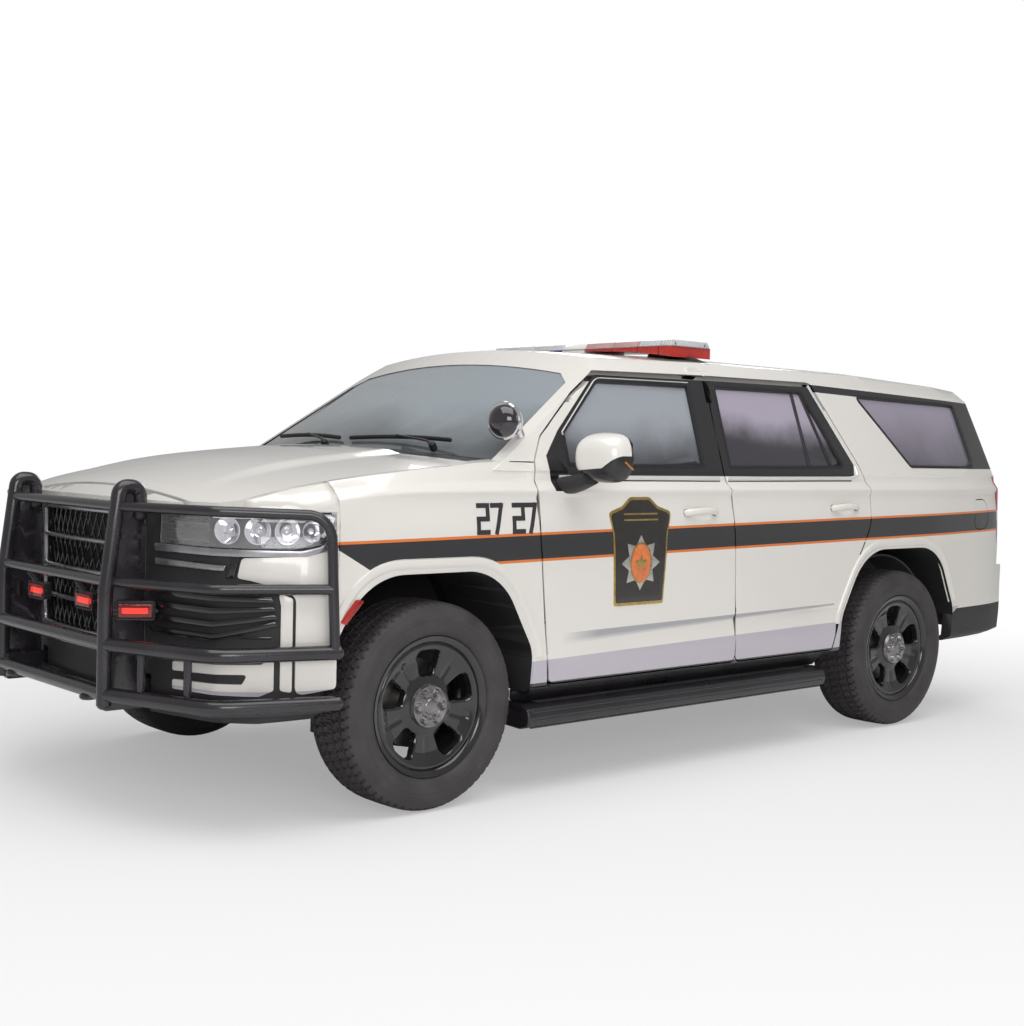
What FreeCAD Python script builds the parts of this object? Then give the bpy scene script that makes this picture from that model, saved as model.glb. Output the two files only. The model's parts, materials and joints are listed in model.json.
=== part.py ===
import FreeCAD, Part
import math
import os

# Full-size patrol utility vehicle.  Millimetres.  While it is modelled, x = 0 is the front axle, +x is
# forward, +y is the driver's side (left), z = 0 is the ground.  write() moves every piece to the stored
# origin, which is the bottom centre of the whole vehicle.

# ---------------------------------------------------------------- driving dimensions: chassis
WHEELBASE = 3071.0
TRACK = 1740.0
TYRE_RADIUS = 402.0
TYRE_WIDTH = 275.0
TYRE_STEPS = 52
RIM_RADIUS = 254.0
RIM_WIDTH = 236.0
FLANGE_HEIGHT = 17.0
BEAD_CLEARANCE = 0.3
BARREL_WALL = 9.0
WHEEL_DISC_OFFSET = 52.0
WHEEL_DISC_THICKNESS = 24.0
SPOKE_COUNT = 5
LUG_COUNT = 6
LUG_PITCH_RADIUS = 69.85
HUB_RADIUS = 88.0
BRAKE_DISC_RADIUS = 172.0
BRAKE_DISC_THICKNESS = 30.0
AXLE_RADIUS = 30.0
RUNNING_CLEARANCE = 0.05
STEER_AXIS_INSET = 70.0
BALL_PIN_RADIUS = 14.0
ARM_DROP = 160.0
ARM_THICKNESS = 30.0
FRAME_RAIL_Y = 430.0
FRAME_RAIL_WIDTH = 80.0
FRAME_RAIL_BOTTOM = 400.0
FRAME_RAIL_HEIGHT = 130.0
FRAME_FRONT_X = 820.0
FRAME_REAR_X = -4150.0

# ---------------------------------------------------------------- driving dimensions: body
HALF_WIDTH = 1003.0
SILL_BOTTOM = 400.0
FLOOR_TOP = 590.0
FLOOR_THICKNESS = 30.0
BELT_Z = 1300.0
DOOR_THICKNESS = 140.0
FRAME_DEPTH = 52.0
ROOF_THICKNESS = 36.0
HOOD_THICKNESS = 30.0
FENDER_THICKNESS = 28.0
GATE_THICKNESS = 80.0
SHUT_GAP = 8.0
JAMB_STEP = 16.0
SKIN_DEPTH = 14.0
GLASS_SET_BACK = 10.0
GLASS_THICKNESS = 5.0
FIREWALL_X = -560.0
CABIN_REAR_X = -4170.0
ROOF_SPLIT_Y = HALF_WIDTH - 241.0
ARCH_RADIUS = 520.0
LINER_THICKNESS = 8.0
WHEELHOUSE_INNER_Y = 640.0
WINDSCREEN_BASE = (-235.0, 1380.0)
WINDSCREEN_TOP = (-945.0, 1813.0)
WINDSCREEN_BOW_RADIUS = 4500.0
GATE_FOOT = (-4250.0, 1300.0)
GATE_HEAD = (-4040.0, 1790.0)
GATE_BOW_RADIUS = 3200.0
GATE_HALF_WIDTH = HALF_WIDTH - 213.0
GATE_BOTTOM_Z = 800.0
BUMPER_REAR_X = -4330.0
BUMPER_FACE_X = 940.0

# ---------------------------------------------------------------- driving dimensions: equipment
GUARD_TUBE_RADIUS = 27.0
GUARD_UPRIGHT_Y = 450.0
LIGHT_BAR_X = -1800.0
LIGHT_BAR_LENGTH = 1280.0
LIGHT_BAR_WIDTH = 300.0
LIGHT_BAR_HEIGHT = 46.0
STEP_HALF_HEIGHT = 52.0

FRONT_HINGE_X = -620.0
REAR_HINGE_X = -1800.0
HINGE_DEPTH = 18.0
HINGE_PIN_RADIUS = 4.5
HINGE_EYE_RADIUS = 7.0
HINGE_LEG = 90.0
HINGE_STRAP_HEIGHT = 24.0
HINGE_SIDE_CLEARANCE = 6.0
FLAP_THICKNESS = 3.5

NOSE_BOW = 118.0
NOSE_CORNER_Y = HALF_WIDTH - 213.0
NOSE_CORNER_BULGE = 118.0
NOSE_FLANK_X = 460.0
WINDSCREEN_FRAME_DEPTH = 40.0
PILLAR_WIDTH = 50.0
HEADER_DEPTH = 58.0
HOOD_REAR_X = -236.0
HOOD_REAR_BOW = 110.0
HOOD_REAR_HALF = HALF_WIDTH - 73.0
HOOD_FRONT_X = 862.0
HOOD_EDGE_INSET = 14.0
HOOD_HINGE_X = -240.0
HOOD_HINGE_Y = HALF_WIDTH - 223.0
HOOD_HINGE_Z = 1327.0
HOOD_FLAP = 7.0
HOOD_ARM_DROP = 52.0
HOOD_ARM_REACH = 48.0
HOOD_ARM_THICKNESS = 14.0
COWL_GAP = 16.0
COWL_HALF_WIDTH = HALF_WIDTH - 83.0
COWL_REAR_X = -556.0
FENDER_FRONT_X = 440.0
FENDER_REAR_TOP_X = -500.0
LINER_INNER_Y = 560.0
ARCH_LIP = 45.0
ROOF_OVERRUN = 120.0
ROCKER_TOP = 560.0
ROCKER_REAR_X = -2500.0
PILLAR_FRONT_X = -1640.0
PILLAR_REAR_X = -1814.0
PILLAR_TOP = 1180.0
UPPER_POST_FRONT_X = -1600.0
UPPER_POST_REAR_X = -1680.0
POST_OUTER_Y = HALF_WIDTH - 105.0
PILLAR_CLEARANCE = 12.0
FLAP_ROOM_Y = HALF_WIDTH - 18.0
HINGE_HEIGHTS = (700.0, 1080.0)
TAIL_LAMP_INNER_Y = HALF_WIDTH - 203.0
TAIL_LAMP_BOTTOM = 930.0
TAIL_LAMP_TOP = 1292.0
TAIL_LAMP_FRONT_X = -4085.0
BUMPER_SKIN = 60.0
BUMPER_STEP_THICKNESS = 30.0
PLATE_HOLE_SPACING_Y = 177.8
PLATE_HOLE_SPACING_Z = 120.65
PLATE_HOLE_RADIUS = 3.5
PLATE_Z = 985.0
FUEL_GAP = 5.5
FUEL_LID_THICKNESS = 12.0
FUEL_HINGE_X = -3832.0
FUEL_HINGE_Y = HALF_WIDTH - 45.5
FUEL_HINGE_Z = 1085.0
FUEL_EYE_RADIUS = 4.5
FUEL_PIN_RADIUS = 2.5
FUEL_FLAP = 3.0
FUEL_FLOOR_DEPTH = 40.0
GATE_TOP_X = -4000.0
GATE_GAP = 17.0
GATE_HINGE_X = -4004.0
GATE_HINGE_Y = 260.0
GATE_HINGE_Z = 1802.5
GATE_EYE_RADIUS = 6.0
GATE_PIN_RADIUS = 3.0
GATE_TOP_HALF_WIDTH = HALF_WIDTH - 313.0
FIREWALL_THICKNESS = 26.0
DOOR_SWING_LENGTH = 60.0
DOOR_SWING_ROOM = 26.0
WHEELHOUSE_RADIUS = 470.0
FASCIA_THICKNESS = 62.0
HEADLAMP_OUTLINE = [
    (500.0, 1005.0, 12.0), (506.0, 1138.0, 12.0), (800.0, 1142.0, 0.0), (1100.0, 1136.0, 0.0),
    (1100.0, 1060.0, 0.0), (960.0, 1020.0, 30.0),
]
GRILLE_HALF_WIDTH = 420.0
GRILLE_BOTTOM = 640.0
GRILLE_TOP = 1120.0
GRILLE_BORDER = 26.0
GRILLE_FIT = 0.3
GRILLE_BARS = 7
GRILLE_BAR = 20.0
GRILLE_OUTLINE = [
    (-GRILLE_HALF_WIDTH, GRILLE_BOTTOM, 30.0), (GRILLE_HALF_WIDTH, GRILLE_BOTTOM, 30.0),
    (GRILLE_HALF_WIDTH, GRILLE_TOP, 30.0), (-GRILLE_HALF_WIDTH, GRILLE_TOP, 30.0),
]
FRAME_CROSS_X = (720.0, 330.0, -330.0, -1000.0, -1900.0, -2700.0, -3500.0)
ARM_SPREAD = 150.0
ARM_TIP = 34.0
RECEIVER_INNER = 51.0
RECEIVER_Z = 435.0
RECEIVER_ROOM = 45.0
RECEIVER_WALL = 6.5
ARM_POST_DEPTH = 14.0
BODY_MOUNT_X = (-700.0, -1750.0, -2420.0, -3950.0)
ENGINE_REAR_X = -440.0
ENGINE_FRONT_X = 430.0
ENGINE_HALF_WIDTH = 330.0
ENGINE_TOP = 1120.0
SPINDLE_REACH = 70.0
AXLE_NOTCH = 120.0
AXLE_NOTCH_TOP = 470.0
DIFFERENTIAL_RADIUS = 150.0
GUARD_FACE_X = 1075.0
GUARD_TOP_Z = 1222.0
GUARD_KNEE_Z = 840.0
GUARD_SHOULDER_X = 1024.0
GUARD_HOOK_X = 946.0
GUARD_PLATE_REAR_X = 925.0
GUARD_PLATE_THICKNESS = 8.0
GUARD_BEND = 34.0
GUARD_WRAP_Z = (475.0, 655.0)
GUARD_END_X = 480.0
GUARD_END_Y = HALF_WIDTH + 55.0
GUARD_HOOP_TOP = 1150.0
GUARD_MID_Z = 880.0
GUARD_WING_RADIUS = 19.0
# Tubes straight across between the uprights: x, z, radius.
GUARD_CROSS = (
    (1075.0, 475.0, 27.0), (1075.0, 655.0, 27.0), (1069.0, 880.0, 19.0), (1033.0, 1150.0, 19.0),
)
STEP_OUTER_Y = HALF_WIDTH + 15.0
STEP_Z = 310.0
STEP_FRONT_X = -470.0
STEP_REAR_X = -2430.0
LIGHT_BAR_BOTTOM = 1873.0
LIGHT_BAR_BASE = 16.0
LIGHT_BAR_FOOT_Y = 470.0
SPOTLIGHT_CENTRE = (-385.0, HALF_WIDTH - 98.0, 1500.0)
SPOTLIGHT_RADIUS = 78.0
SPOTLIGHT_FOOT = (-600.0, HALF_WIDTH - 123.0, 1440.0)
MIRROR_X = -705.0
MIRROR_Z = 1355.0
MIRROR_INNER_Y = HALF_WIDTH + 32.0
MIRROR_OUTER_Y = HALF_WIDTH + 252.0
FRONT_SEAT_X = -1700.0
REAR_SEAT_X = -2620.0
SEAT_WIDTH = 530.0
SEAT_Y = 410.0
REAR_BENCH_WIDTH = 1180.0
DASH_REAR_X = -860.0
DASH_SIDE_GAP = 34.0
CONSOLE_REAR_X = -1560.0
CONSOLE_HALF_WIDTH = 120.0
STEERING_TILT = math.radians(25.0)
STEERING_WHEEL_X = -1000.0
STEERING_WHEEL_Z = 1190.0
STEERING_WHEEL_RADIUS = 180.0
STEERING_SHAFT_RADIUS = 10.0
STEERING_HUB_GAP = 26.0

REAR_AXLE_X = -WHEELBASE
WHEEL_Z = TYRE_RADIUS
WHEEL_Y = TRACK / 2.0
STEER_Y = WHEEL_Y - STEER_AXIS_INSET

# Body side below the belt: inset from the widest line, height.
SIDE_PROFILE = [
    (70.0, SILL_BOTTOM),
    (12.0, 430.0),
    (3.0, 560.0),
    (4.0, 690.0),
    (0.0, 960.0),
    (8.0, 1225.0),
    (38.0, 1262.0),
    (44.0, BELT_Z),
]
# Cabin and tail: station x, inset of the widest line.
CABIN_STATIONS = [(x, HALF_WIDTH - inset) for x, inset in (
    (FIREWALL_X + 90.0, 0.0),
    (-2780.0, 0.0),
    (-3300.0, -3.0),
    (-3700.0, 18.0),
    (-4000.0, 51.0),
    (-4200.0, 98.0),
    (BUMPER_REAR_X - 20.0, 153.0),
)]
# Nose: station x, side inset, shoulder z, bonnet edge inset, bonnet edge z, bonnet centre z.
NOSE_STATIONS = [
    (x, HALF_WIDTH - side_inset, shoulder_z, HALF_WIDTH - edge_inset, edge_z, centre_z)
    for x, side_inset, shoulder_z, edge_inset, edge_z, centre_z in (
        (FIREWALL_X - 60.0, 0.0, 1225.0, 54.0, 1340.0, 1400.0),
        (-400.0, 0.0, 1225.0, 54.0, 1340.0, 1392.0),
        (-100.0, -3.0, 1222.0, 58.0, 1318.0, 1370.0),
        (300.0, -1.0, 1205.0, 71.0, 1276.0, 1334.0),
        (600.0, 18.0, 1165.0, 98.0, 1228.0, 1292.0),
        (800.0, 43.0, 1110.0, 131.0, 1172.0, 1245.0),
        (BUMPER_FACE_X + 20.0, 68.0, 1030.0, 183.0, 1085.0, 1165.0),
    )
]
# Greenhouse: station x, belt inset, drip rail inset, drip rail z, roof edge inset, roof edge z, crown z.
ROOF_STATIONS = [
    (x, HALF_WIDTH - belt_inset, HALF_WIDTH - rail_inset, rail_z, HALF_WIDTH - edge_inset, edge_z, crown_z)
    for x, belt_inset, rail_inset, rail_z, edge_inset, edge_z, crown_z in (
        (-250.0, 41.0, 153.0, 1640.0, 233.0, 1700.0, 1765.0),
        (-1050.0, 43.0, 179.0, 1733.0, 258.0, 1795.0, 1846.0),
        (-1900.0, 44.0, 183.0, 1745.0, 265.0, 1812.0, 1868.0),
        (-3000.0, 46.0, 188.0, 1740.0, 271.0, 1808.0, 1860.0),
        (-3700.0, 63.0, 203.0, 1720.0, 285.0, 1784.0, 1836.0),
        (-4350.0, 153.0, 263.0, 1690.0, 338.0, 1745.0, 1795.0),
    )
]
# Side-view outlines, each corner as x, z, corner radius.
FRONT_DOOR = [
    (-600.0, 440.0, 30.0), (-545.0, 900.0, 0.0), (-515.0, 1225.0, 0.0), (-535.0, 1345.0, 60.0),
    (-590.0, 1440.0, 60.0), (-810.0, 1625.0, 0.0), (-965.0, 1725.0, 40.0), (-1682.0, 1738.0, 10.0),
    (-1682.0, 1300.0, 0.0), (-1706.0, 1205.0, 60.0), (-1722.0, 1080.0, 0.0), (-1762.0, 440.0, 30.0),
]
REAR_DOOR = [
    (-1770.0, 440.0, 30.0), (-1730.0, 1080.0, 0.0), (-1714.0, 1205.0, 60.0), (-1690.0, 1300.0, 0.0),
    (-1690.0, 1738.0, 10.0), (-2480.0, 1742.0, 30.0), (-2735.0, 1343.0, 60.0), (-2782.0, 1225.0, 80.0),
    (-2782.0, 1050.0, 160.0), (-2570.0, 700.0, 120.0), (-2500.0, 440.0, 20.0),
]
FRONT_WINDOW = [
    (-720.0, 1330.0, 12.0), (-720.0, 1461.0, 12.0), (-975.0, 1690.0, 40.0), (-1560.0, 1695.0, 14.0),
    (-1560.0, 1326.0, 12.0),
]
REAR_WINDOW = [
    (-1740.0, 1326.0, 12.0), (-1740.0, 1697.0, 14.0), (-2395.0, 1700.0, 30.0), (-2620.0, 1334.0, 20.0),
]
QUARTER_WINDOW = [
    (-2840.0, 1698.0, 20.0), (-3210.0, 1342.0, 40.0), (-3880.0, 1342.0, 40.0), (-3800.0, 1684.0, 30.0),
]
FUEL_DOOR = [
    (-3790.0, 1000.0, 45.0), (-3790.0, 1170.0, 45.0), (-3960.0, 1170.0, 70.0), (-3960.0, 1000.0, 70.0)
]


# ---------------------------------------------------------------- geometry helpers
def vec(x, y, z):
    return FreeCAD.Vector(x, y, z)


def box(low, high):
    size = [high[i] - low[i] for i in range(3)]
    return Part.makeBox(size[0], size[1], size[2], vec(*low))


def fuse(shapes):
    whole = shapes[0]
    if len(shapes) > 1:
        whole = whole.fuse(shapes[1:])
    return whole.removeSplitter()


def mirrored(shape):
    return shape.mirror(vec(0, 0, 0), vec(0, 1, 0))


def cylinder(start, end, radius):
    line = vec(*end) - vec(*start)
    return Part.makeCylinder(radius, line.Length, vec(*start), line)


def unit(ax, ay, bx, by):
    length = math.hypot(bx - ax, by - ay)
    return (bx - ax) / length, (by - ay) / length


def grown(outline, distance):
    """The outline with every edge moved outwards by distance."""
    count = len(outline)
    area = sum(
        outline[i][0] * outline[(i + 1) % count][1] - outline[(i + 1) % count][0] * outline[i][1]
        for i in range(count)
    )
    side = distance if area > 0 else -distance
    moved = []
    for i in range(count):
        before, here, after = outline[i - 1], outline[i], outline[(i + 1) % count]
        ux, uy = unit(before[0], before[1], here[0], here[1])
        wx, wy = unit(here[0], here[1], after[0], after[1])
        nx, ny = uy + wy, -(ux + wx)
        scale = side / (1.0 + ux * wx + uy * wy)
        turn = (ux * wy - uy * wx) * area
        radius = here[2] + distance if turn > 0 else here[2] - distance
        moved.append((here[0] + nx * scale, here[1] + ny * scale, max(radius, 0.0) if here[2] else 0.0))
    return moved


def outline_edges(outline, place):
    """Edges of a closed outline; place(a, b) gives the corner's point in space."""
    starts, ends, middles = [], [], []
    count = len(outline)
    for i in range(count):
        before, here, after = outline[i - 1], outline[i], outline[(i + 1) % count]
        ux, uy = unit(here[0], here[1], before[0], before[1])
        wx, wy = unit(here[0], here[1], after[0], after[1])
        cosine = max(-1.0, min(1.0, ux * wx + uy * wy))
        half = math.acos(cosine) / 2.0
        radius = here[2]
        if radius <= 0.0 or half > 1.55:
            starts.append(place(here[0], here[1]))
            ends.append(starts[-1])
            middles.append(None)
            continue
        reach = radius / math.tan(half)
        bx, by = unit(0.0, 0.0, ux + wx, uy + wy)
        middle = radius / math.sin(half) - radius
        starts.append(place(here[0] + ux * reach, here[1] + uy * reach))
        ends.append(place(here[0] + wx * reach, here[1] + wy * reach))
        middles.append(place(here[0] + bx * middle, here[1] + by * middle))
    edges = []
    for i in range(count):
        if middles[i] is not None:
            edges.append(Part.Arc(starts[i], middles[i], ends[i]).toShape())
        edges.append(Part.makeLine(ends[i], starts[(i + 1) % count]))
    return edges


def prism(outline, place, along):
    face = Part.Face(Part.Wire(outline_edges(outline, place)))
    return face.extrude(along)


def side_prism(outline, low_y, high_y):
    return prism(outline, lambda a, b: vec(a, low_y, b), vec(0, high_y - low_y, 0))


def front_prism(outline, low_x, high_x):
    return prism(outline, lambda a, b: vec(low_x, a, b), vec(high_x - low_x, 0, 0))


def plan_prism(outline, low_z, high_z):
    return prism(outline, lambda a, b: vec(a, b, low_z), vec(0, 0, high_z - low_z))


def section_wire(x, half, crown_z):
    """Closed body section at x: half is the left side from the bottom up, closed over the top by an arc."""
    edges = []
    for side in (1.0, -1.0):
        points = [vec(x, side * y, z) for y, z in half]
        for first, second in zip(points, points[1:]):
            edges.append(Part.makeLine(first, second))
    top_y, top_z = half[-1]
    low_y, low_z = half[0]
    if crown_z is None:
        edges.append(Part.makeLine(vec(x, top_y, top_z), vec(x, -top_y, top_z)))
    else:
        edges.append(Part.Arc(vec(x, top_y, top_z), vec(x, 0, crown_z), vec(x, -top_y, top_z)).toShape())
    edges.append(Part.makeLine(vec(x, low_y, low_z), vec(x, -low_y, low_z)))
    return Part.Wire(Part.__sortEdges__(edges))


def cabin_block(inset):
    wires = []
    for x, width in CABIN_STATIONS:
        half = [(width - dy - inset, z) for dy, z in SIDE_PROFILE]
        wires.append(section_wire(x, half, None))
    return Part.makeLoft(wires, True, True)


def nose_block(inset):
    wires = []
    for x, width, shoulder_z, edge_y, edge_z, crown_z in NOSE_STATIONS:
        half = [(width - dy - inset, z) for dy, z in SIDE_PROFILE[:5]]
        half.append((width - 8.0 - inset, shoulder_z - inset * 0.3))
        half.append((width - 38.0 - inset, shoulder_z + 37.0 - inset * 0.6))
        half.append((edge_y - inset, edge_z - inset))
        wires.append(section_wire(x, half, crown_z - inset))
    return Part.makeLoft(wires, True, True)


def greenhouse_block(inset, roof_inset):
    wires = []
    for x, belt_y, drip_y, drip_z, edge_y, edge_z, crown_z in ROOF_STATIONS:
        half = [
            (belt_y - inset, BELT_Z),
            (drip_y - inset, drip_z - roof_inset * 0.6),
            (edge_y - inset, edge_z - roof_inset),
        ]
        wires.append(section_wire(x, half, crown_z - roof_inset))
    return Part.makeLoft(wires, True, True)


def bowed_slab(foot, head, bow_radius, inset):
    """Everything behind a bowed face that leans from foot to head (x, z on the centre line)."""
    ux, uz = unit(foot[0], foot[1], head[0], head[1])
    forward = 1.0 if foot[0] > -WHEELBASE / 2.0 else -1.0
    nx, nz = forward * uz, -forward * ux
    centre_x = foot[0] - nx * bow_radius
    centre_z = foot[1] - nz * bow_radius
    reach = 6000.0
    start = vec(centre_x - ux * reach, 0, centre_z - uz * reach)
    return Part.makeCylinder(bow_radius - inset, 2.0 * reach, start, vec(ux, 0, uz))


def windscreen_slab(inset):
    return bowed_slab(WINDSCREEN_BASE, WINDSCREEN_TOP, WINDSCREEN_BOW_RADIUS, inset)


def gate_upper_slab(inset):
    return bowed_slab(GATE_FOOT, GATE_HEAD, GATE_BOW_RADIUS, inset)


def gate_lower_slab(inset):
    centre_x = GATE_FOOT[0] + GATE_BOW_RADIUS
    return Part.makeCylinder(GATE_BOW_RADIUS - inset, 3000.0, vec(centre_x, 0, 0), vec(0, 0, 1))


def tube_path(points, radius, bend):
    """A round tube along straight runs joined by tangent arcs of the given bend radius."""
    corners = [vec(*p) for p in points]
    edges = []
    last = corners[0]
    for before, here, after in zip(corners, corners[1:], corners[2:]):
        back = (before - here).normalize()
        ahead = (after - here).normalize()
        half = back.getAngle(ahead) / 2.0
        reach = bend / math.tan(half)
        middle = (back + ahead).normalize() * (bend / math.sin(half) - bend)
        edges.append(Part.makeLine(last, here + back * reach))
        edges.append(Part.Arc(here + back * reach, here + middle, here + ahead * reach).toShape())
        last = here + ahead * reach
    edges.append(Part.makeLine(last, corners[-1]))
    path = Part.Wire(edges)
    circle = Part.Wire(Part.makeCircle(radius, corners[0], corners[1] - corners[0]))
    return path.makePipeShell([circle], True, False, 1)


# ---------------------------------------------------------------- body volumes
def nose_plan(inset):
    """Plan-view keeper of the nose: a bowed face with rounded corners running into the flanks."""
    face_x = BUMPER_FACE_X - inset
    corner_x = face_x - NOSE_BOW
    corner_y = NOSE_CORNER_Y - inset
    flank_y = HALF_WIDTH + 7.0 - inset
    wide = HALF_WIDTH + 200.0
    back_x = FIREWALL_X - 100.0
    middle_x = corner_x - NOSE_CORNER_BULGE
    middle_y = corner_y + NOSE_CORNER_BULGE
    corners = [
        (NOSE_FLANK_X, flank_y), (NOSE_FLANK_X, wide), (back_x, wide),
        (back_x, -wide), (NOSE_FLANK_X, -wide), (NOSE_FLANK_X, -flank_y),
    ]
    edges = [Part.makeLine(vec(a[0], a[1], 0), vec(b[0], b[1], 0)) for a, b in zip(corners, corners[1:])]
    arcs = [
        ((NOSE_FLANK_X, -flank_y), (middle_x, -middle_y), (corner_x, -corner_y)),
        ((corner_x, -corner_y), (face_x, 0.0), (corner_x, corner_y)),
        ((corner_x, corner_y), (middle_x, middle_y), (NOSE_FLANK_X, flank_y)),
    ]
    for a, b, c in arcs:
        edges.append(Part.Arc(vec(a[0], a[1], 0), vec(b[0], b[1], 0), vec(c[0], c[1], 0)).toShape())
    return Part.Face(Part.Wire(edges)).extrude(vec(0, 0, 2000.0))


def rear_slab(foot_x):
    """Everything ahead of an upright bowed face whose rearmost line is at foot_x."""
    return Part.makeCylinder(
        GATE_BOW_RADIUS, 3000.0, vec(foot_x + GATE_BOW_RADIUS, 0, -100.0), vec(0, 0, 1)
    )


def wheel_arch(axle_x, radius, inner_y):
    """Wheel opening with a slightly squared crown, on the left side."""
    half = radius - 12.0
    outline = [
        (axle_x + half, 0.0, 0.0), (axle_x + half, WHEEL_Z + radius * 0.36, radius * 0.30),
        (axle_x + radius * 0.62, WHEEL_Z + radius, radius * 0.55),
        (axle_x - radius * 0.62, WHEEL_Z + radius, radius * 0.55),
        (axle_x - half, WHEEL_Z + radius * 0.36, radius * 0.30), (axle_x - half, 0.0, 0.0),
    ]
    return side_prism(outline, inner_y, HALF_WIDTH + 100.0)


LOWER_INNER_Y = HALF_WIDTH - DOOR_THICKNESS
FAR = 1300.0
BEHIND = -5000.0
cabin_hollow = box((CABIN_REAR_X, -LOWER_INNER_Y, 0.0), (FIREWALL_X, LOWER_INNER_Y, BELT_Z + 1.0))
lower_body = cabin_block(0.0).common(rear_slab(GATE_FOOT[0]))
lower_wall = lower_body.cut(cabin_hollow)
upper_body = greenhouse_block(0.0, 0.0).common(windscreen_slab(0.0)).common(gate_upper_slab(0.0))
upper_hollow = greenhouse_block(FRAME_DEPTH, ROOF_THICKNESS).common(windscreen_slab(WINDSCREEN_FRAME_DEPTH))
upper_hollow = upper_hollow.common(gate_upper_slab(GATE_THICKNESS))
upper_wall = upper_body.cut(upper_hollow)
windscreen_hole = greenhouse_block(PILLAR_WIDTH, HEADER_DEPTH).common(
    box((WINDSCREEN_TOP[0] + 25.0, -FAR, BELT_Z), (0.0, FAR, 2000.0)))
upper_side_layer = upper_body.cut(greenhouse_block(FRAME_DEPTH, -ROOF_OVERRUN))
nose_skin = nose_block(0.0).common(nose_plan(0.0))
nose_shell = nose_skin.cut(nose_block(HOOD_THICKNESS))
glass_layer = greenhouse_block(GLASS_SET_BACK, GLASS_SET_BACK).cut(
    greenhouse_block(GLASS_SET_BACK + GLASS_THICKNESS, GLASS_SET_BACK + GLASS_THICKNESS))


def side_wall(outline):
    """The left body wall, below and above the belt, within a side-view outline."""
    cutter = side_prism(outline, LOWER_INNER_Y, FAR)
    low = lower_wall.common(cutter)
    high = upper_side_layer.common(side_prism(outline, 600.0, FAR))
    return low.fuse(high).removeSplitter()


# ---------------------------------------------------------------- doors
HINGE_Y = HALF_WIDTH - HINGE_DEPTH


def hinge_straps(axis_x, reach):
    """Straps from the pillar to the hinge axis with their eyes: a leg inboard, then a run of length reach."""
    half = HINGE_STRAP_HEIGHT / 2.0
    straps = []
    for z in HINGE_HEIGHTS:
        eye = cylinder((axis_x, HINGE_Y, z - half), (axis_x, HINGE_Y, z + half), HINGE_EYE_RADIUS)
        leg = box(
            (axis_x - HINGE_EYE_RADIUS, HINGE_Y - HINGE_LEG, z - half),
            (axis_x + HINGE_EYE_RADIUS, HINGE_Y, z + half),
        )
        strap = eye.fuse(leg)
        if reach > 0.0:
            strap = strap.fuse(box((axis_x - HINGE_EYE_RADIUS, HINGE_Y - HINGE_LEG - 6.0, z - half),
                                   (axis_x + reach, HINGE_Y - HINGE_LEG + 6.0, z + half)))
        bore = cylinder((axis_x, HINGE_Y, z - half - 1.0), (axis_x, HINGE_Y, z + half + 1.0),
                        HINGE_PIN_RADIUS + RUNNING_CLEARANCE)
        straps.append(strap.cut(bore))
    return straps


def hinge_pockets(axis_x, front_x):
    """Room in the door for each strap, from the inner face out to the skin flap."""
    half = HINGE_STRAP_HEIGHT / 2.0 + HINGE_SIDE_CLEARANCE
    return [
        box(
            (axis_x - 22.0, LOWER_INNER_Y - 20.0, z - half),
            (front_x, HALF_WIDTH - 4.0 - FLAP_THICKNESS, z + half),
        )
        for z in HINGE_HEIGHTS
    ]


def hinge_pins(axis_x):
    half = HINGE_STRAP_HEIGHT / 2.0 + HINGE_SIDE_CLEARANCE + 4.0
    return [
        cylinder((axis_x, HINGE_Y, z - half), (axis_x, HINGE_Y, z + half), HINGE_PIN_RADIUS)
        for z in HINGE_HEIGHTS
    ]


def rocker_beam(grow):
    return box((ROCKER_REAR_X - grow, LOWER_INNER_Y - grow, SILL_BOTTOM - grow),
               (FIREWALL_X + grow, POST_OUTER_Y + grow, ROCKER_TOP + grow))


def centre_pillar(grow, outer_y):
    """Lower centre pillar inboard of the doors, on the left, grown by a clearance."""
    wide = box(
        (PILLAR_REAR_X - grow, LOWER_INNER_Y - grow, SILL_BOTTOM),
        (PILLAR_FRONT_X + grow, outer_y + grow, PILLAR_TOP + grow),
    )
    neck = box((UPPER_POST_REAR_X - grow, LOWER_INNER_Y - grow, PILLAR_TOP - 80.0),
               (UPPER_POST_FRONT_X + grow, POST_OUTER_Y + grow, BELT_Z + 1.0))
    return wide.fuse(neck)


def upper_post():
    """Upper centre pillar: inboard of the window frames, reaching out to the roof rail above the doors."""
    belt_y = ROOF_STATIONS[2][1] - FRAME_DEPTH - PILLAR_CLEARANCE
    drip_y = ROOF_STATIONS[2][2] - FRAME_DEPTH - PILLAR_CLEARANCE
    return front_prism(
        [
            (belt_y, BELT_Z - 60.0, 0.0), (belt_y, BELT_Z, 0.0), (drip_y, 1722.0, 0.0),
            (drip_y + 40.0, 1752.0, 0.0), (drip_y + 40.0, 1778.0, 0.0), (drip_y - 42.0, 1778.0, 0.0),
            (drip_y - 42.0, 1722.0, 0.0), (LOWER_INNER_Y, BELT_Z - 20.0, 0.0),
            (LOWER_INNER_Y, BELT_Z - 60.0, 0.0),
        ],
        UPPER_POST_REAR_X, UPPER_POST_FRONT_X,
    )


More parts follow.
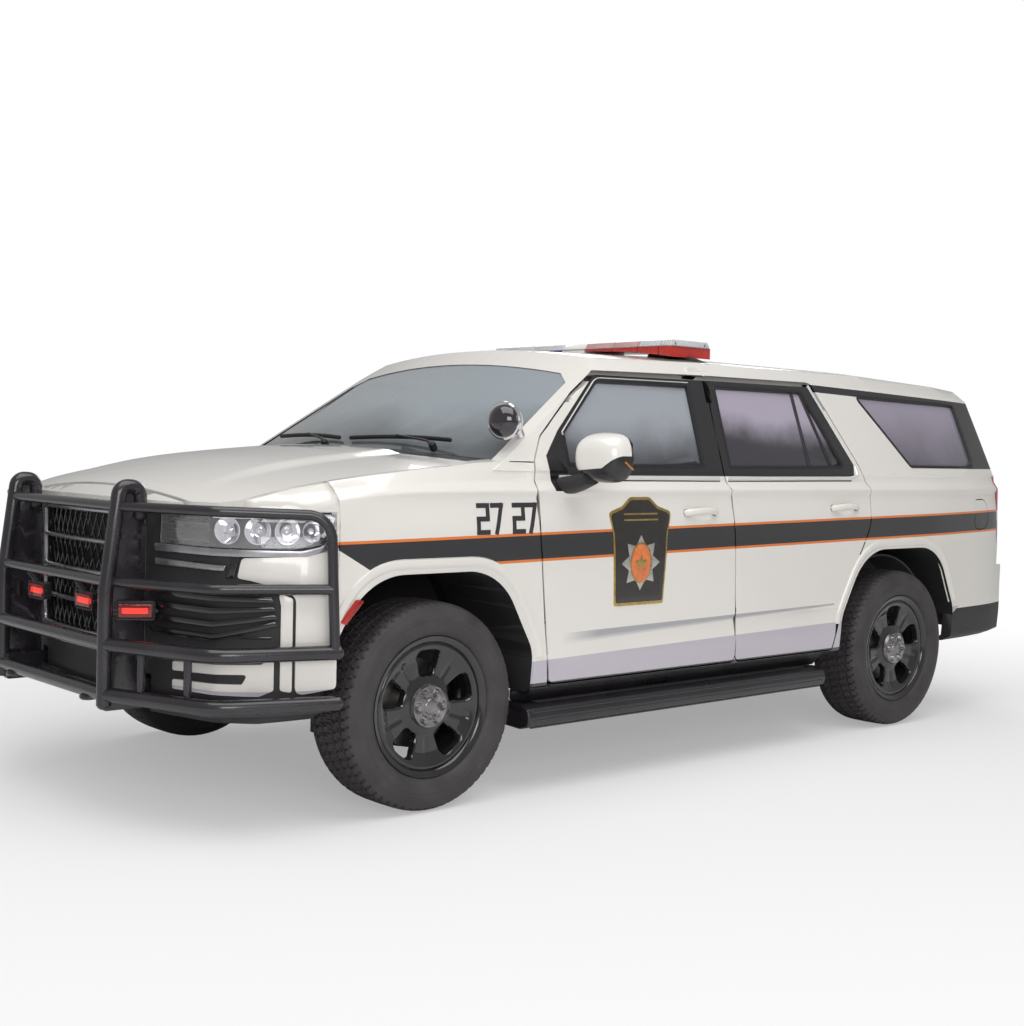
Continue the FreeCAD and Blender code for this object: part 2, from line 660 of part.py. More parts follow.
def door(outline, window, axis_x, front_x):
    """Whole door: the skin fills the outline, the body of the door steps in from it all round."""
    whole = side_wall(outline)
    rim = side_prism(outline, 500.0, FAR).cut(side_prism(grown(outline, -JAMB_STEP), 490.0, FAR + 10.0))
    inside = cabin_block(SKIN_DEPTH).fuse(greenhouse_block(SKIN_DEPTH, -ROOF_OVERRUN))
    whole = whole.cut(rim.common(inside))
    whole = whole.cut(side_prism(window, 500.0, FAR))
    whole = whole.cut(wheel_arch(REAR_AXLE_X, ARCH_RADIUS + ARCH_LIP, 500.0))
    for room in [rocker_beam(PILLAR_CLEARANCE)] + hinge_pockets(axis_x, front_x):
        whole = whole.cut(room)
    return whole


def biggest(shape):
    return max(shape.Solids, key=lambda solid: solid.Volume)


def side_glass(window):
    return biggest(glass_layer.common(side_prism(window, 500.0, FAR)))


pillar_room = centre_pillar(PILLAR_CLEARANCE, POST_OUTER_Y)
flap_room = box((PILLAR_REAR_X - PILLAR_CLEARANCE, LOWER_INNER_Y - 10.0, SILL_BOTTOM),
                (PILLAR_FRONT_X, FLAP_ROOM_Y, PILLAR_TOP + PILLAR_CLEARANCE))
front_door = door(FRONT_DOOR, FRONT_WINDOW, FRONT_HINGE_X, FRONT_DOOR[2][0] + 20.0).cut(pillar_room)
front_door = biggest(front_door.fuse(hinge_pins(FRONT_HINGE_X)))
rear_door = door(REAR_DOOR, REAR_WINDOW, REAR_HINGE_X, UPPER_POST_REAR_X).cut(pillar_room).cut(flap_room)
rear_door = biggest(rear_door.fuse(hinge_pins(REAR_HINGE_X)))
front_glass = side_glass(FRONT_WINDOW)
rear_glass = side_glass(REAR_WINDOW)
quarter_glass = side_glass(QUARTER_WINDOW)

# ---------------------------------------------------------------- fenders, bonnet and cowl
hood_edges = [(x, edge_y) for x, _, _, edge_y, _, _ in NOSE_STATIONS]


def edge_y_at(x):
    for (x0, y0), (x1, y1) in zip(hood_edges, hood_edges[1:]):
        if x0 <= x <= x1:
            return y0 + (y1 - y0) * (x - x0) / (x1 - x0)
    return hood_edges[-1][1]


def hood_outline(inset):
    stations = [HOOD_REAR_X, -100.0, 300.0, 600.0, HOOD_FRONT_X]
    left = [(x, edge_y_at(x) - HOOD_EDGE_INSET - inset, 0.0) for x in stations]
    right = [(x, -y, r) for x, y, r in reversed(left)]
    return left + right


def behind_hood(gap):
    """Everything behind the bowed rear edge of the bonnet, or a gap further back."""
    radius = (HOOD_REAR_HALF ** 2 + HOOD_REAR_BOW ** 2) / (2.0 * HOOD_REAR_BOW)
    return Part.makeCylinder(
        radius - gap, 2000.0, vec(HOOD_REAR_X + HOOD_REAR_BOW - radius, 0, 0), vec(0, 0, 1)
    )


hood_zone = plan_prism(grown(hood_outline(0.0), SHUT_GAP / 2.0), 900.0, 1500.0)
hood = nose_shell.common(plan_prism(grown(hood_outline(0.0), -SHUT_GAP / 2.0), 900.0, 1500.0)).cut(
    behind_hood(0.0)
)
fender_outline = [
    (FRONT_DOOR[0][0] + SHUT_GAP, SILL_BOTTOM + 10.0, 0.0), (FRONT_DOOR[1][0] + SHUT_GAP, 900.0, 0.0),
    (FRONT_DOOR[2][0] + SHUT_GAP, 1225.0, 0.0), (FRONT_DOOR[3][0] + SHUT_GAP, 1345.0, 0.0),
    (FENDER_REAR_TOP_X, 1420.0, 0.0), (FENDER_FRONT_X + 20.0, 1420.0, 0.0), (FENDER_FRONT_X, 1100.0, 0.0),
    (FENDER_FRONT_X + 30.0, SILL_BOTTOM + 10.0, 0.0),
]
fender_skin = nose_block(0.0).cut(nose_block(FENDER_THICKNESS))
fender = fender_skin.common(side_prism(fender_outline, 600.0, FAR))
fender = fender.cut(hood_zone).cut(upper_body).cut(wheel_arch(0.0, ARCH_RADIUS, 500.0))
fender = fender.cut(box((-900.0, -FAR, 1180.0), (FAR, edge_y_at(0.0) - 60.0, 1600.0)))
liner = wheel_arch(0.0, ARCH_RADIUS, LINER_INNER_Y).cut(
    wheel_arch(0.0, ARCH_RADIUS - LINER_THICKNESS, LINER_INNER_Y - 10.0)
)
liner = liner.common(box((-FAR, LINER_INNER_Y, SILL_BOTTOM + 10.0), (FENDER_FRONT_X, FAR, 1500.0))).common(
    nose_block(3.0)
)
fender = fender.fuse(liner).removeSplitter()
fender = biggest(fender)
cowl = nose_shell.common(box((COWL_REAR_X, -COWL_HALF_WIDTH, 1200.0), (FAR, COWL_HALF_WIDTH, 1500.0)))
cowl = cowl.common(behind_hood(COWL_GAP))
cowl = cowl.cut(upper_body).cut(fender).cut(mirrored(fender))


def hood_arm(y):
    """Gooseneck of the bonnet: down from its pin, forward below the cowl's edge, up to the bonnet."""
    half = HINGE_STRAP_HEIGHT / 2.0
    low_z = HOOD_HINGE_Z - HOOD_ARM_DROP
    front_x = HOOD_HINGE_X + HOOD_ARM_REACH
    eye = cylinder(
        (HOOD_HINGE_X, y - half, HOOD_HINGE_Z), (HOOD_HINGE_X, y + half, HOOD_HINGE_Z), HINGE_EYE_RADIUS
    )
    leg = box(
        (HOOD_HINGE_X - HINGE_EYE_RADIUS, y - half, low_z),
        (HOOD_HINGE_X + HINGE_EYE_RADIUS, y + half, HOOD_HINGE_Z),
    )
    run = box((HOOD_HINGE_X, y - half, low_z), (front_x, y + half, low_z + HOOD_ARM_THICKNESS))
    rise = box((front_x - HOOD_ARM_THICKNESS, y - half, low_z), (front_x, y + half, 1500.0)).common(
        nose_block(HOOD_FLAP)
    )
    foot = box((front_x - HOOD_ARM_THICKNESS, y - half, low_z + 25.0), (front_x + 40.0, y + half, 1500.0))
    bore = cylinder(
        (HOOD_HINGE_X, y - half - 1.0, HOOD_HINGE_Z), (HOOD_HINGE_X, y + half + 1.0, HOOD_HINGE_Z),
        HINGE_PIN_RADIUS + RUNNING_CLEARANCE,
    )
    return eye.fuse([leg, run, rise, foot.common(nose_block(HOOD_FLAP))]).cut(bore)


for side_sign in (-1.0, 1.0):
    y = side_sign * HOOD_HINGE_Y
    room = HINGE_STRAP_HEIGHT / 2.0 + HINGE_SIDE_CLEARANCE
    hood = hood.fuse(hood_arm(y))
    pocket = box((HOOD_HINGE_X - 14.0, y - room, 1100.0), (HOOD_REAR_X + HOOD_REAR_BOW, y + room, 1500.0))
    cheeks = box((HOOD_HINGE_X - 20.0, y - room - 12.0, HOOD_HINGE_Z - 12.0),
                 (HOOD_HINGE_X + 9.0, y + room + 12.0, HOOD_HINGE_Z + 8.0)).cut(pocket)
    pin = cylinder(
        (HOOD_HINGE_X, y - room - 6.0, HOOD_HINGE_Z), (HOOD_HINGE_X, y + room + 6.0, HOOD_HINGE_Z),
        HINGE_PIN_RADIUS,
    )
    cowl = cowl.cut(pocket.common(nose_block(HOOD_FLAP))).fuse([cheeks, pin])
hood = biggest(hood.removeSplitter())
cowl = biggest(cowl.removeSplitter())

# ---------------------------------------------------------------- sides, roof, tub
roof_wall = upper_wall.common(box((BEHIND, -ROOF_SPLIT_Y, 0.0), (FAR, ROOF_SPLIT_Y, 2500.0)))
side_zone = box((BEHIND, ROOF_SPLIT_Y, 0.0), (FAR, FAR, 2500.0))
side_lower = lower_wall.common(box((BEHIND, LOWER_INNER_Y, 0.0), (FAR, FAR, 2500.0)))
side_upper = upper_wall.common(side_zone)
side = side_lower.fuse(side_upper)
side = side.cut(side_prism(grown(FRONT_DOOR, SHUT_GAP), 500.0, FAR))
side = side.cut(side_prism(grown(REAR_DOOR, SHUT_GAP), 500.0, FAR))
side = side.cut(side_prism(QUARTER_WINDOW, 500.0, FAR))
side = side.cut(windscreen_hole)
side = side.cut(fender_skin.common(box((FIREWALL_X - 50.0, 0.0, 0.0), (FAR, FAR, 2000.0))))
side = side.cut(wheel_arch(REAR_AXLE_X, ARCH_RADIUS, 500.0)).cut(wheel_arch(0.0, ARCH_RADIUS, 500.0))
lamp_zone = box((BEHIND, TAIL_LAMP_INNER_Y, TAIL_LAMP_BOTTOM), (TAIL_LAMP_FRONT_X, FAR, TAIL_LAMP_TOP))
tail_lamp = biggest(lower_wall.common(lamp_zone))
side = side.cut(lamp_zone)
bumper_outline = [
    (REAR_AXLE_X - ARCH_RADIUS + 40.0, SILL_BOTTOM - 20.0, 0.0),
    (REAR_AXLE_X - ARCH_RADIUS + 10.0, 560.0, 0.0), (-3760.0, 650.0, 0.0),
    (-4100.0, GATE_BOTTOM_Z - SHUT_GAP, 0.0), (-4500.0, GATE_BOTTOM_Z - SHUT_GAP, 0.0),
    (-4500.0, SILL_BOTTOM - 20.0, 0.0),
]
bumper_zone = side_prism(bumper_outline, -FAR, FAR)
side = side.cut(bumper_zone)
tail = cabin_block(0.0).common(rear_slab(BUMPER_REAR_X)).common(bumper_zone)
rear_bumper = tail.cut(cabin_block(BUMPER_SKIN).common(rear_slab(BUMPER_REAR_X + BUMPER_SKIN)).common(
    box((BEHIND, -FAR, 0.0), (FAR, FAR, GATE_BOTTOM_Z - SHUT_GAP - BUMPER_STEP_THICKNESS))))
rear_bumper = rear_bumper.cut(wheel_arch(REAR_AXLE_X, ARCH_RADIUS, 500.0))
rear_bumper = rear_bumper.cut(mirrored(wheel_arch(REAR_AXLE_X, ARCH_RADIUS, 500.0)))
rear_bumper = rear_bumper.cut(box((CABIN_REAR_X, -LOWER_INNER_Y, 0.0), (0.0, LOWER_INNER_Y, 900.0)))
rear_bumper = biggest(
    rear_bumper.cut(box((BEHIND, -RECEIVER_ROOM, 0.0), (0.0, RECEIVER_ROOM, RECEIVER_Z + RECEIVER_ROOM)))
)
plate_holes = []
for hole_y in (-PLATE_HOLE_SPACING_Y / 2.0, PLATE_HOLE_SPACING_Y / 2.0):
    for hole_z in (-PLATE_HOLE_SPACING_Z / 2.0, PLATE_HOLE_SPACING_Z / 2.0):
        plate_holes.append((hole_y, PLATE_Z + hole_z))
side = biggest(side)
posts = [rocker_beam(0.0), centre_pillar(0.0, POST_OUTER_Y), upper_post()]
posts = [post.cut(roof_wall) for post in posts]
straps = hinge_straps(FRONT_HINGE_X, FIREWALL_X + 80.0 - FRONT_HINGE_X) + hinge_straps(REAR_HINGE_X, 0.0)
side = side.fuse(posts + straps).removeSplitter()
fuel_hole = side_prism(FUEL_DOOR, LOWER_INNER_Y + FUEL_FLOOR_DEPTH, FAR)
half = HINGE_STRAP_HEIGHT / 2.0
fuel_strap = box(
    (FUEL_HINGE_X - FUEL_EYE_RADIUS, LOWER_INNER_Y + FUEL_FLOOR_DEPTH - 2.0, FUEL_HINGE_Z - half),
    (FUEL_HINGE_X + FUEL_EYE_RADIUS, FUEL_HINGE_Y, FUEL_HINGE_Z + half),
)
fuel_strap = fuel_strap.fuse(cylinder((FUEL_HINGE_X, FUEL_HINGE_Y, FUEL_HINGE_Z - half),
                                      (FUEL_HINGE_X, FUEL_HINGE_Y, FUEL_HINGE_Z + half), FUEL_EYE_RADIUS))
fuel_strap = fuel_strap.cut(cylinder((FUEL_HINGE_X, FUEL_HINGE_Y, FUEL_HINGE_Z - half - 1.0),
                                     (FUEL_HINGE_X, FUEL_HINGE_Y, FUEL_HINGE_Z + half + 1.0),
                                     FUEL_PIN_RADIUS + RUNNING_CLEARANCE))
side_left = side.cut(fuel_hole).fuse(fuel_strap).removeSplitter()
fuel_lid_zone = side_prism(grown(FUEL_DOOR, -FUEL_GAP), 600.0, FAR)
fuel_lid = lower_body.cut(cabin_block(FUEL_LID_THICKNESS)).common(fuel_lid_zone)
room = half + HINGE_SIDE_CLEARANCE
fuel_boss = box((FUEL_HINGE_X - 9.0, FUEL_HINGE_Y - 9.0, FUEL_HINGE_Z - room - 12.0),
                (FUEL_HINGE_X + 9.0, FUEL_HINGE_Y + 4.0, FUEL_HINGE_Z + room + 12.0))
fuel_room = box(
    (FUEL_HINGE_X - 10.0, 900.0, FUEL_HINGE_Z - room), (FUEL_DOOR[0][0], 990.0, FUEL_HINGE_Z + room)
)
fuel_pin = cylinder(
    (FUEL_HINGE_X, FUEL_HINGE_Y, FUEL_HINGE_Z - room - 6.0),
    (FUEL_HINGE_X, FUEL_HINGE_Y, FUEL_HINGE_Z + room + 6.0), FUEL_PIN_RADIUS,
)
fuel_lid = fuel_lid.fuse(fuel_boss).cut(fuel_room.common(cabin_block(FUEL_FLAP))).fuse(fuel_pin)
fuel_lid = biggest(fuel_lid.removeSplitter())
side_right = mirrored(side)

roof_zone = box((BEHIND, -ROOF_SPLIT_Y, 1600.0), (FAR, ROOF_SPLIT_Y, 2500.0))
gate_split = box((BEHIND, -FAR, 0.0), (GATE_TOP_X, FAR, 2500.0))
roof = upper_wall.common(roof_zone).cut(windscreen_hole).cut(
    box((BEHIND, -FAR, 0.0), (GATE_TOP_X + GATE_GAP, FAR, 2500.0))
)
windscreen = windscreen_slab(4.0).cut(windscreen_slab(10.0)).common(windscreen_hole).cut(nose_skin)

GATE_OUTLINE = [
    (-GATE_HALF_WIDTH, GATE_BOTTOM_Z, 40.0), (GATE_HALF_WIDTH, GATE_BOTTOM_Z, 40.0),
    (GATE_HALF_WIDTH, BELT_Z, 0.0), (GATE_TOP_HALF_WIDTH, 1735.0, 40.0),
    (GATE_TOP_HALF_WIDTH - 90.0, 1900.0, 0.0), (-GATE_TOP_HALF_WIDTH + 90.0, 1900.0, 0.0),
    (-GATE_TOP_HALF_WIDTH, 1735.0, 40.0), (-GATE_HALF_WIDTH, BELT_Z, 0.0),
]
GATE_WINDOW = [
    (-690.0, 1340.0, 40.0), (690.0, 1340.0, 40.0), (620.0, 1690.0, 50.0), (-620.0, 1690.0, 50.0),
]
lower_gate = lower_body.cut(gate_lower_slab(GATE_THICKNESS)).common(
    box((BEHIND, -FAR, 0.0), (CABIN_REAR_X + 60.0, FAR, BELT_Z))
)
upper_gate = upper_body.cut(gate_upper_slab(GATE_THICKNESS)).common(gate_split)
gate_body = fuse([lower_gate, upper_gate])
tailgate = gate_body.common(front_prism(GATE_OUTLINE, BEHIND, -3900.0))
tailgate = tailgate.cut(front_prism(GATE_WINDOW, BEHIND, -3900.0))
for hole_y, hole_z in plate_holes:
    tailgate = tailgate.cut(
        cylinder((-4400.0, hole_y, hole_z), (CABIN_REAR_X - 30.0, hole_y, hole_z), PLATE_HOLE_RADIUS)
    )
for side_sign in (-1.0, 1.0):
    y = side_sign * GATE_HINGE_Y
    half = HINGE_STRAP_HEIGHT / 2.0
    room = half + HINGE_SIDE_CLEARANCE
    strap = cylinder(
        (GATE_HINGE_X, y - half, GATE_HINGE_Z), (GATE_HINGE_X, y + half, GATE_HINGE_Z), GATE_EYE_RADIUS
    )
    strap = strap.fuse(box((GATE_HINGE_X, y - half, GATE_HINGE_Z - GATE_EYE_RADIUS),
                           (GATE_TOP_X + GATE_GAP + 6.0, y + half, GATE_HINGE_Z + GATE_EYE_RADIUS)))
    bore = cylinder(
        (GATE_HINGE_X, y - half - 1.0, GATE_HINGE_Z), (GATE_HINGE_X, y + half + 1.0, GATE_HINGE_Z),
        GATE_PIN_RADIUS + RUNNING_CLEARANCE,
    )
    roof = roof.fuse(strap).cut(bore)
    tailgate = tailgate.cut(
        box((GATE_HINGE_X - 11.0, y - room, GATE_HINGE_Z - 14.0), (FAR, y + room, 2000.0))
    )
    tailgate = tailgate.fuse(
        cylinder(
            (GATE_HINGE_X, y - room - 6.0, GATE_HINGE_Z), (GATE_HINGE_X, y + room + 6.0, GATE_HINGE_Z),
            GATE_PIN_RADIUS,
        )
    )
tailgate = biggest(tailgate)
roof = roof.removeSplitter()
gate_glass = gate_upper_slab(6.0).cut(gate_upper_slab(11.0)).common(upper_body)
gate_glass = biggest(gate_glass.common(front_prism(GATE_WINDOW, BEHIND, -3900.0)))
gate_gap_zone = front_prism(grown(GATE_OUTLINE, SHUT_GAP), BEHIND, -3900.0).common(
    box((BEHIND, -FAR, 0.0), (GATE_TOP_X + GATE_GAP, FAR, 2500.0)))
side_left = side_left.cut(gate_gap_zone)
side_right = side_right.cut(gate_gap_zone)
side_left = biggest(side_left)
side_right = biggest(side_right)
roof = biggest(roof)
windscreen = biggest(windscreen)

floor_plate = box(
    (CABIN_REAR_X, -LOWER_INNER_Y, FLOOR_TOP - FLOOR_THICKNESS), (FIREWALL_X, LOWER_INNER_Y, FLOOR_TOP)
)
firewall = box((FIREWALL_X, -LOWER_INNER_Y + 10.0, FLOOR_TOP - FLOOR_THICKNESS),
               (FIREWALL_X + FIREWALL_THICKNESS, LOWER_INNER_Y - 10.0, 1290.0))
house_outer = cylinder(
    (REAR_AXLE_X, WHEELHOUSE_INNER_Y, WHEEL_Z), (REAR_AXLE_X, LOWER_INNER_Y, WHEEL_Z),
    WHEELHOUSE_RADIUS + 10.0,
)
house_inner = cylinder(
    (REAR_AXLE_X, WHEELHOUSE_INNER_Y + 10.0, WHEEL_Z), (REAR_AXLE_X, FAR, WHEEL_Z), WHEELHOUSE_RADIUS
)
above_frame = box((BEHIND, -FAR, FLOOR_TOP - FLOOR_THICKNESS), (FAR, FAR, 2000.0))
tub = floor_plate.fuse(
    [firewall, house_outer.common(above_frame), mirrored(house_outer).common(above_frame)]
)
tub = tub.cut(house_inner).cut(mirrored(house_inner))
door_swing = box(
    (FRONT_HINGE_X - DOOR_SWING_LENGTH, LOWER_INNER_Y - DOOR_SWING_ROOM, 0.0), (0.0, FAR, BELT_Z)
)
tub = tub.cut(door_swing).cut(mirrored(door_swing))
floor_tub = biggest(tub.removeSplitter())

# ---------------------------------------------------------------- front end
front_shell = nose_skin.cut(nose_block(FASCIA_THICKNESS).common(nose_plan(FASCIA_THICKNESS)))
front_shell = front_shell.common(box((FENDER_FRONT_X + 2.0, -FAR, 0.0), (FAR, FAR, 2000.0)))
# The bonnet's room is cut from the top only, so the fascia's wall runs on below the bonnet's front corners.
hood_room = hood_zone.cut(nose_block(HOOD_THICKNESS + SHUT_GAP)).fuse(
    hood_zone.common(nose_plan(FASCIA_THICKNESS))
)
front_shell = front_shell.cut(hood_room).cut(fender).cut(mirrored(fender))
front_shell = front_shell.cut(wheel_arch(0.0, ARCH_RADIUS, 500.0)).cut(
    mirrored(wheel_arch(0.0, ARCH_RADIUS, 500.0))
)
front_shell = biggest(front_shell)
headlamp_zone = front_prism(HEADLAMP_OUTLINE, FENDER_FRONT_X + 10.0, FAR)
headlamp = biggest(front_shell.common(headlamp_zone))
headlamps = Part.makeCompound([headlamp, mirrored(headlamp)])
grille_hole = front_prism(GRILLE_OUTLINE, 600.0, FAR)
front_bumper = front_shell.cut(headlamp_zone).cut(mirrored(headlamp_zone)).cut(grille_hole)
for side_sign in (-1.0, 1.0):
    front_bumper = front_bumper.cut(
        box(
            (600.0, side_sign * FRAME_RAIL_Y - 35.0, 0.0),
            (FAR, side_sign * FRAME_RAIL_Y + 35.0, FRAME_RAIL_BOTTOM + FRAME_RAIL_HEIGHT + 5.0),
        )
    )
front_bumper = biggest(front_bumper)
grille_body = front_shell.common(front_prism(grown(GRILLE_OUTLINE, -GRILLE_FIT), 600.0, FAR))
slot_pitch = (GRILLE_TOP - GRILLE_BOTTOM - 2.0 * GRILLE_BORDER) / GRILLE_BARS
for index in range(GRILLE_BARS):
    low_z = GRILLE_BOTTOM + GRILLE_BORDER + index * slot_pitch
    grille_body = grille_body.cut(
        box(
            (600.0, -GRILLE_HALF_WIDTH + GRILLE_BORDER, low_z),
            (FAR, GRILLE_HALF_WIDTH - GRILLE_BORDER, low_z + slot_pitch - GRILLE_BAR),
        )
    )
grille = biggest(grille_body)

# ---------------------------------------------------------------- chassis
rail_low = FRAME_RAIL_BOTTOM
rail_high = FRAME_RAIL_BOTTOM + FRAME_RAIL_HEIGHT
inner_y = FRAME_RAIL_Y - FRAME_RAIL_WIDTH / 2.0
outer_y = FRAME_RAIL_Y + FRAME_RAIL_WIDTH / 2.0
post_outer_y = outer_y + ARM_POST_DEPTH
frame_parts = []
for side_sign in (-1.0, 1.0):
    near, far_y = sorted((side_sign * inner_y, side_sign * outer_y))
    spans = [
        (FRAME_REAR_X, REAR_AXLE_X - AXLE_NOTCH, rail_low),
        (REAR_AXLE_X - AXLE_NOTCH, REAR_AXLE_X + AXLE_NOTCH, AXLE_NOTCH_TOP),
        (REAR_AXLE_X + AXLE_NOTCH, -ARM_SPREAD, rail_low), (ARM_SPREAD, FRAME_FRONT_X, rail_low),
    ]
    for start_x, end_x, low_z in spans:
        frame_parts.append(box((start_x, near, low_z), (end_x, far_y, rail_high)))
    near, far_y = sorted((side_sign * inner_y, side_sign * post_outer_y))
    frame_parts.append(box((-ARM_SPREAD, near, WHEEL_Z - ARM_DROP - ARM_THICKNESS / 2.0),
                           (ARM_SPREAD, far_y, WHEEL_Z + ARM_DROP + ARM_THICKNESS / 2.0)))
    for arm_z in (WHEEL_Z - ARM_DROP, WHEEL_Z + ARM_DROP):
        low_z, high_z = arm_z - ARM_THICKNESS / 2.0, arm_z + ARM_THICKNESS / 2.0
        arm = plan_prism(
            [
                (-ARM_SPREAD, post_outer_y * side_sign, 0.0), (ARM_SPREAD, post_outer_y * side_sign, 0.0),
                (ARM_TIP, STEER_Y * side_sign, 0.0), (-ARM_TIP, STEER_Y * side_sign, 0.0),
            ],
            low_z, high_z,
        )
        eye = cylinder((0.0, STEER_Y * side_sign, low_z), (0.0, STEER_Y * side_sign, high_z), ARM_TIP)
        bore = cylinder((0.0, STEER_Y * side_sign, low_z - 1.0), (0.0, STEER_Y * side_sign, high_z + 1.0),
                        BALL_PIN_RADIUS + RUNNING_CLEARANCE)
        frame_parts.append(arm.fuse(eye).cut(bore).removeSplitter())
    for mount_x in BODY_MOUNT_X:
        frame_parts.append(
            box(
                (mount_x - 45.0, side_sign * FRAME_RAIL_Y - 40.0, rail_high),
                (mount_x + 45.0, side_sign * FRAME_RAIL_Y + 40.0, FLOOR_TOP - FLOOR_THICKNESS),
            )
        )
for cross_x in FRAME_CROSS_X:
    frame_parts.append(
        box((cross_x - 45.0, -inner_y, rail_low + 10.0), (cross_x + 45.0, inner_y, rail_high - 10.0))
    )
receiver_x = BUMPER_REAR_X + 40.0
receiver_outer = RECEIVER_INNER / 2.0 + RECEIVER_WALL
receiver_tube = box(
    (FRAME_REAR_X + 20.0, -inner_y, rail_low), (FRAME_REAR_X + 90.0, inner_y, rail_low + 70.0)
)
receiver = box((receiver_x, -receiver_outer, RECEIVER_Z - receiver_outer),
               (FRAME_REAR_X + 20.0, receiver_outer, RECEIVER_Z + receiver_outer))
receiver = receiver.cut(box((receiver_x - 1.0, -RECEIVER_INNER / 2.0, RECEIVER_Z - RECEIVER_INNER / 2.0),
                            (FRAME_REAR_X + 21.0, RECEIVER_INNER / 2.0, RECEIVER_Z + RECEIVER_INNER / 2.0)))
frame = Part.makeCompound(frame_parts + [receiver_tube, receiver])
engine = box(
    (ENGINE_REAR_X, -ENGINE_HALF_WIDTH, rail_high - 10.0), (ENGINE_FRONT_X, ENGINE_HALF_WIDTH, ENGINE_TOP)
)
engine = engine.cut(box((-ARM_SPREAD - 5.0, inner_y - 5.0, 0.0), (ARM_SPREAD + 5.0, FAR, 2000.0)))

knuckle_low = WHEEL_Z - ARM_DROP
knuckle_high = WHEEL_Z + ARM_DROP
post = box((-32.0, STEER_Y - 22.0, knuckle_low + ARM_THICKNESS / 2.0 + 6.0),
           (32.0, STEER_Y + 22.0, knuckle_high - ARM_THICKNESS / 2.0 - 6.0))
pin = cylinder(
    (0.0, STEER_Y, knuckle_low - ARM_THICKNESS / 2.0), (0.0, STEER_Y, knuckle_high + ARM_THICKNESS / 2.0),
    BALL_PIN_RADIUS,
)
spindle = cylinder((0.0, STEER_Y, WHEEL_Z), (0.0, WHEEL_Y + SPINDLE_REACH, WHEEL_Z), AXLE_RADIUS)
knuckle = fuse([post, pin, spindle])
axle_tube = cylinder((REAR_AXLE_X, -STEER_Y - 20.0, WHEEL_Z), (REAR_AXLE_X, STEER_Y + 20.0, WHEEL_Z), 42.0)
axle_pin = cylinder(
    (REAR_AXLE_X, -WHEEL_Y - SPINDLE_REACH, WHEEL_Z), (REAR_AXLE_X, WHEEL_Y + SPINDLE_REACH, WHEEL_Z),
    AXLE_RADIUS,
)
pumpkin = Part.makeSphere(DIFFERENTIAL_RADIUS, vec(REAR_AXLE_X, 0, WHEEL_Z))
rear_axle = fuse([axle_tube, axle_pin, pumpkin])
for side_sign in (-1.0, 1.0):
    seat = box((REAR_AXLE_X - 40.0, side_sign * FRAME_RAIL_Y - 35.0, WHEEL_Z),
               (REAR_AXLE_X + 40.0, side_sign * FRAME_RAIL_Y + 35.0, AXLE_NOTCH_TOP))
    rear_axle = rear_axle.fuse(seat)
rear_axle = rear_axle.removeSplitter()


def ring_profile(points):
    """A solid turned about the wheel's axis from (radius, outward offset) corners, centred at y = 0."""
    corners = [vec(radius, offset, 0) for radius, offset in points]
    face = Part.Face(Part.makePolygon(corners + [corners[0]]))
    return face.revolve(vec(0, 0, 0), vec(0, 1, 0), 360.0)


def faceted_ring(points, count):
    """The same as ring_profile, but turned in count flat steps; every corner lies on its stated radius."""
    faces = []
    for index in range(count):
        near, far = [math.radians(360.0 * step / count) for step in (index, index + 1)]
        for (r1, y1), (r2, y2) in zip(points, points[1:] + points[:1]):
            quad = [vec(r * math.sin(a), y, -r * math.cos(a)) for r, y, a in
                    ((r1, y1, near), (r2, y2, near), (r2, y2, far), (r1, y1, far))]
            faces.append(Part.Face(Part.makePolygon(quad + [quad[0]])))
    shell = Part.makeShell(faces)
    shell.sewShape()
    solid = Part.makeSolid(Part.Shell(shell.Faces))
    if solid.Volume < 0.0:
        solid.reverse()
    return solid


def tyre_shape():
    half = TYRE_WIDTH / 2.0
    flat = math.cos(math.pi / TYRE_STEPS)
    bead = (RIM_RADIUS + BEAD_CLEARANCE) / flat
    seat = RIM_WIDTH / 2.0 - 13.0
    lip = (RIM_RADIUS + FLANGE_HEIGHT + BEAD_CLEARANCE) / flat
    side_radius = (RIM_RADIUS + TYRE_RADIUS) / 2.0
    right = [
        (bead, -seat), (lip, -seat), (lip + 3.0, -half + 14.0), (side_radius, -half),
        (TYRE_RADIUS - 26.0, -half + 6.0), (TYRE_RADIUS - 7.0, -half + 24.0), (TYRE_RADIUS, -half + 52.0),
    ]
    left = [(radius, -offset) for radius, offset in reversed(right)]
    return faceted_ring(right + left, TYRE_STEPS)


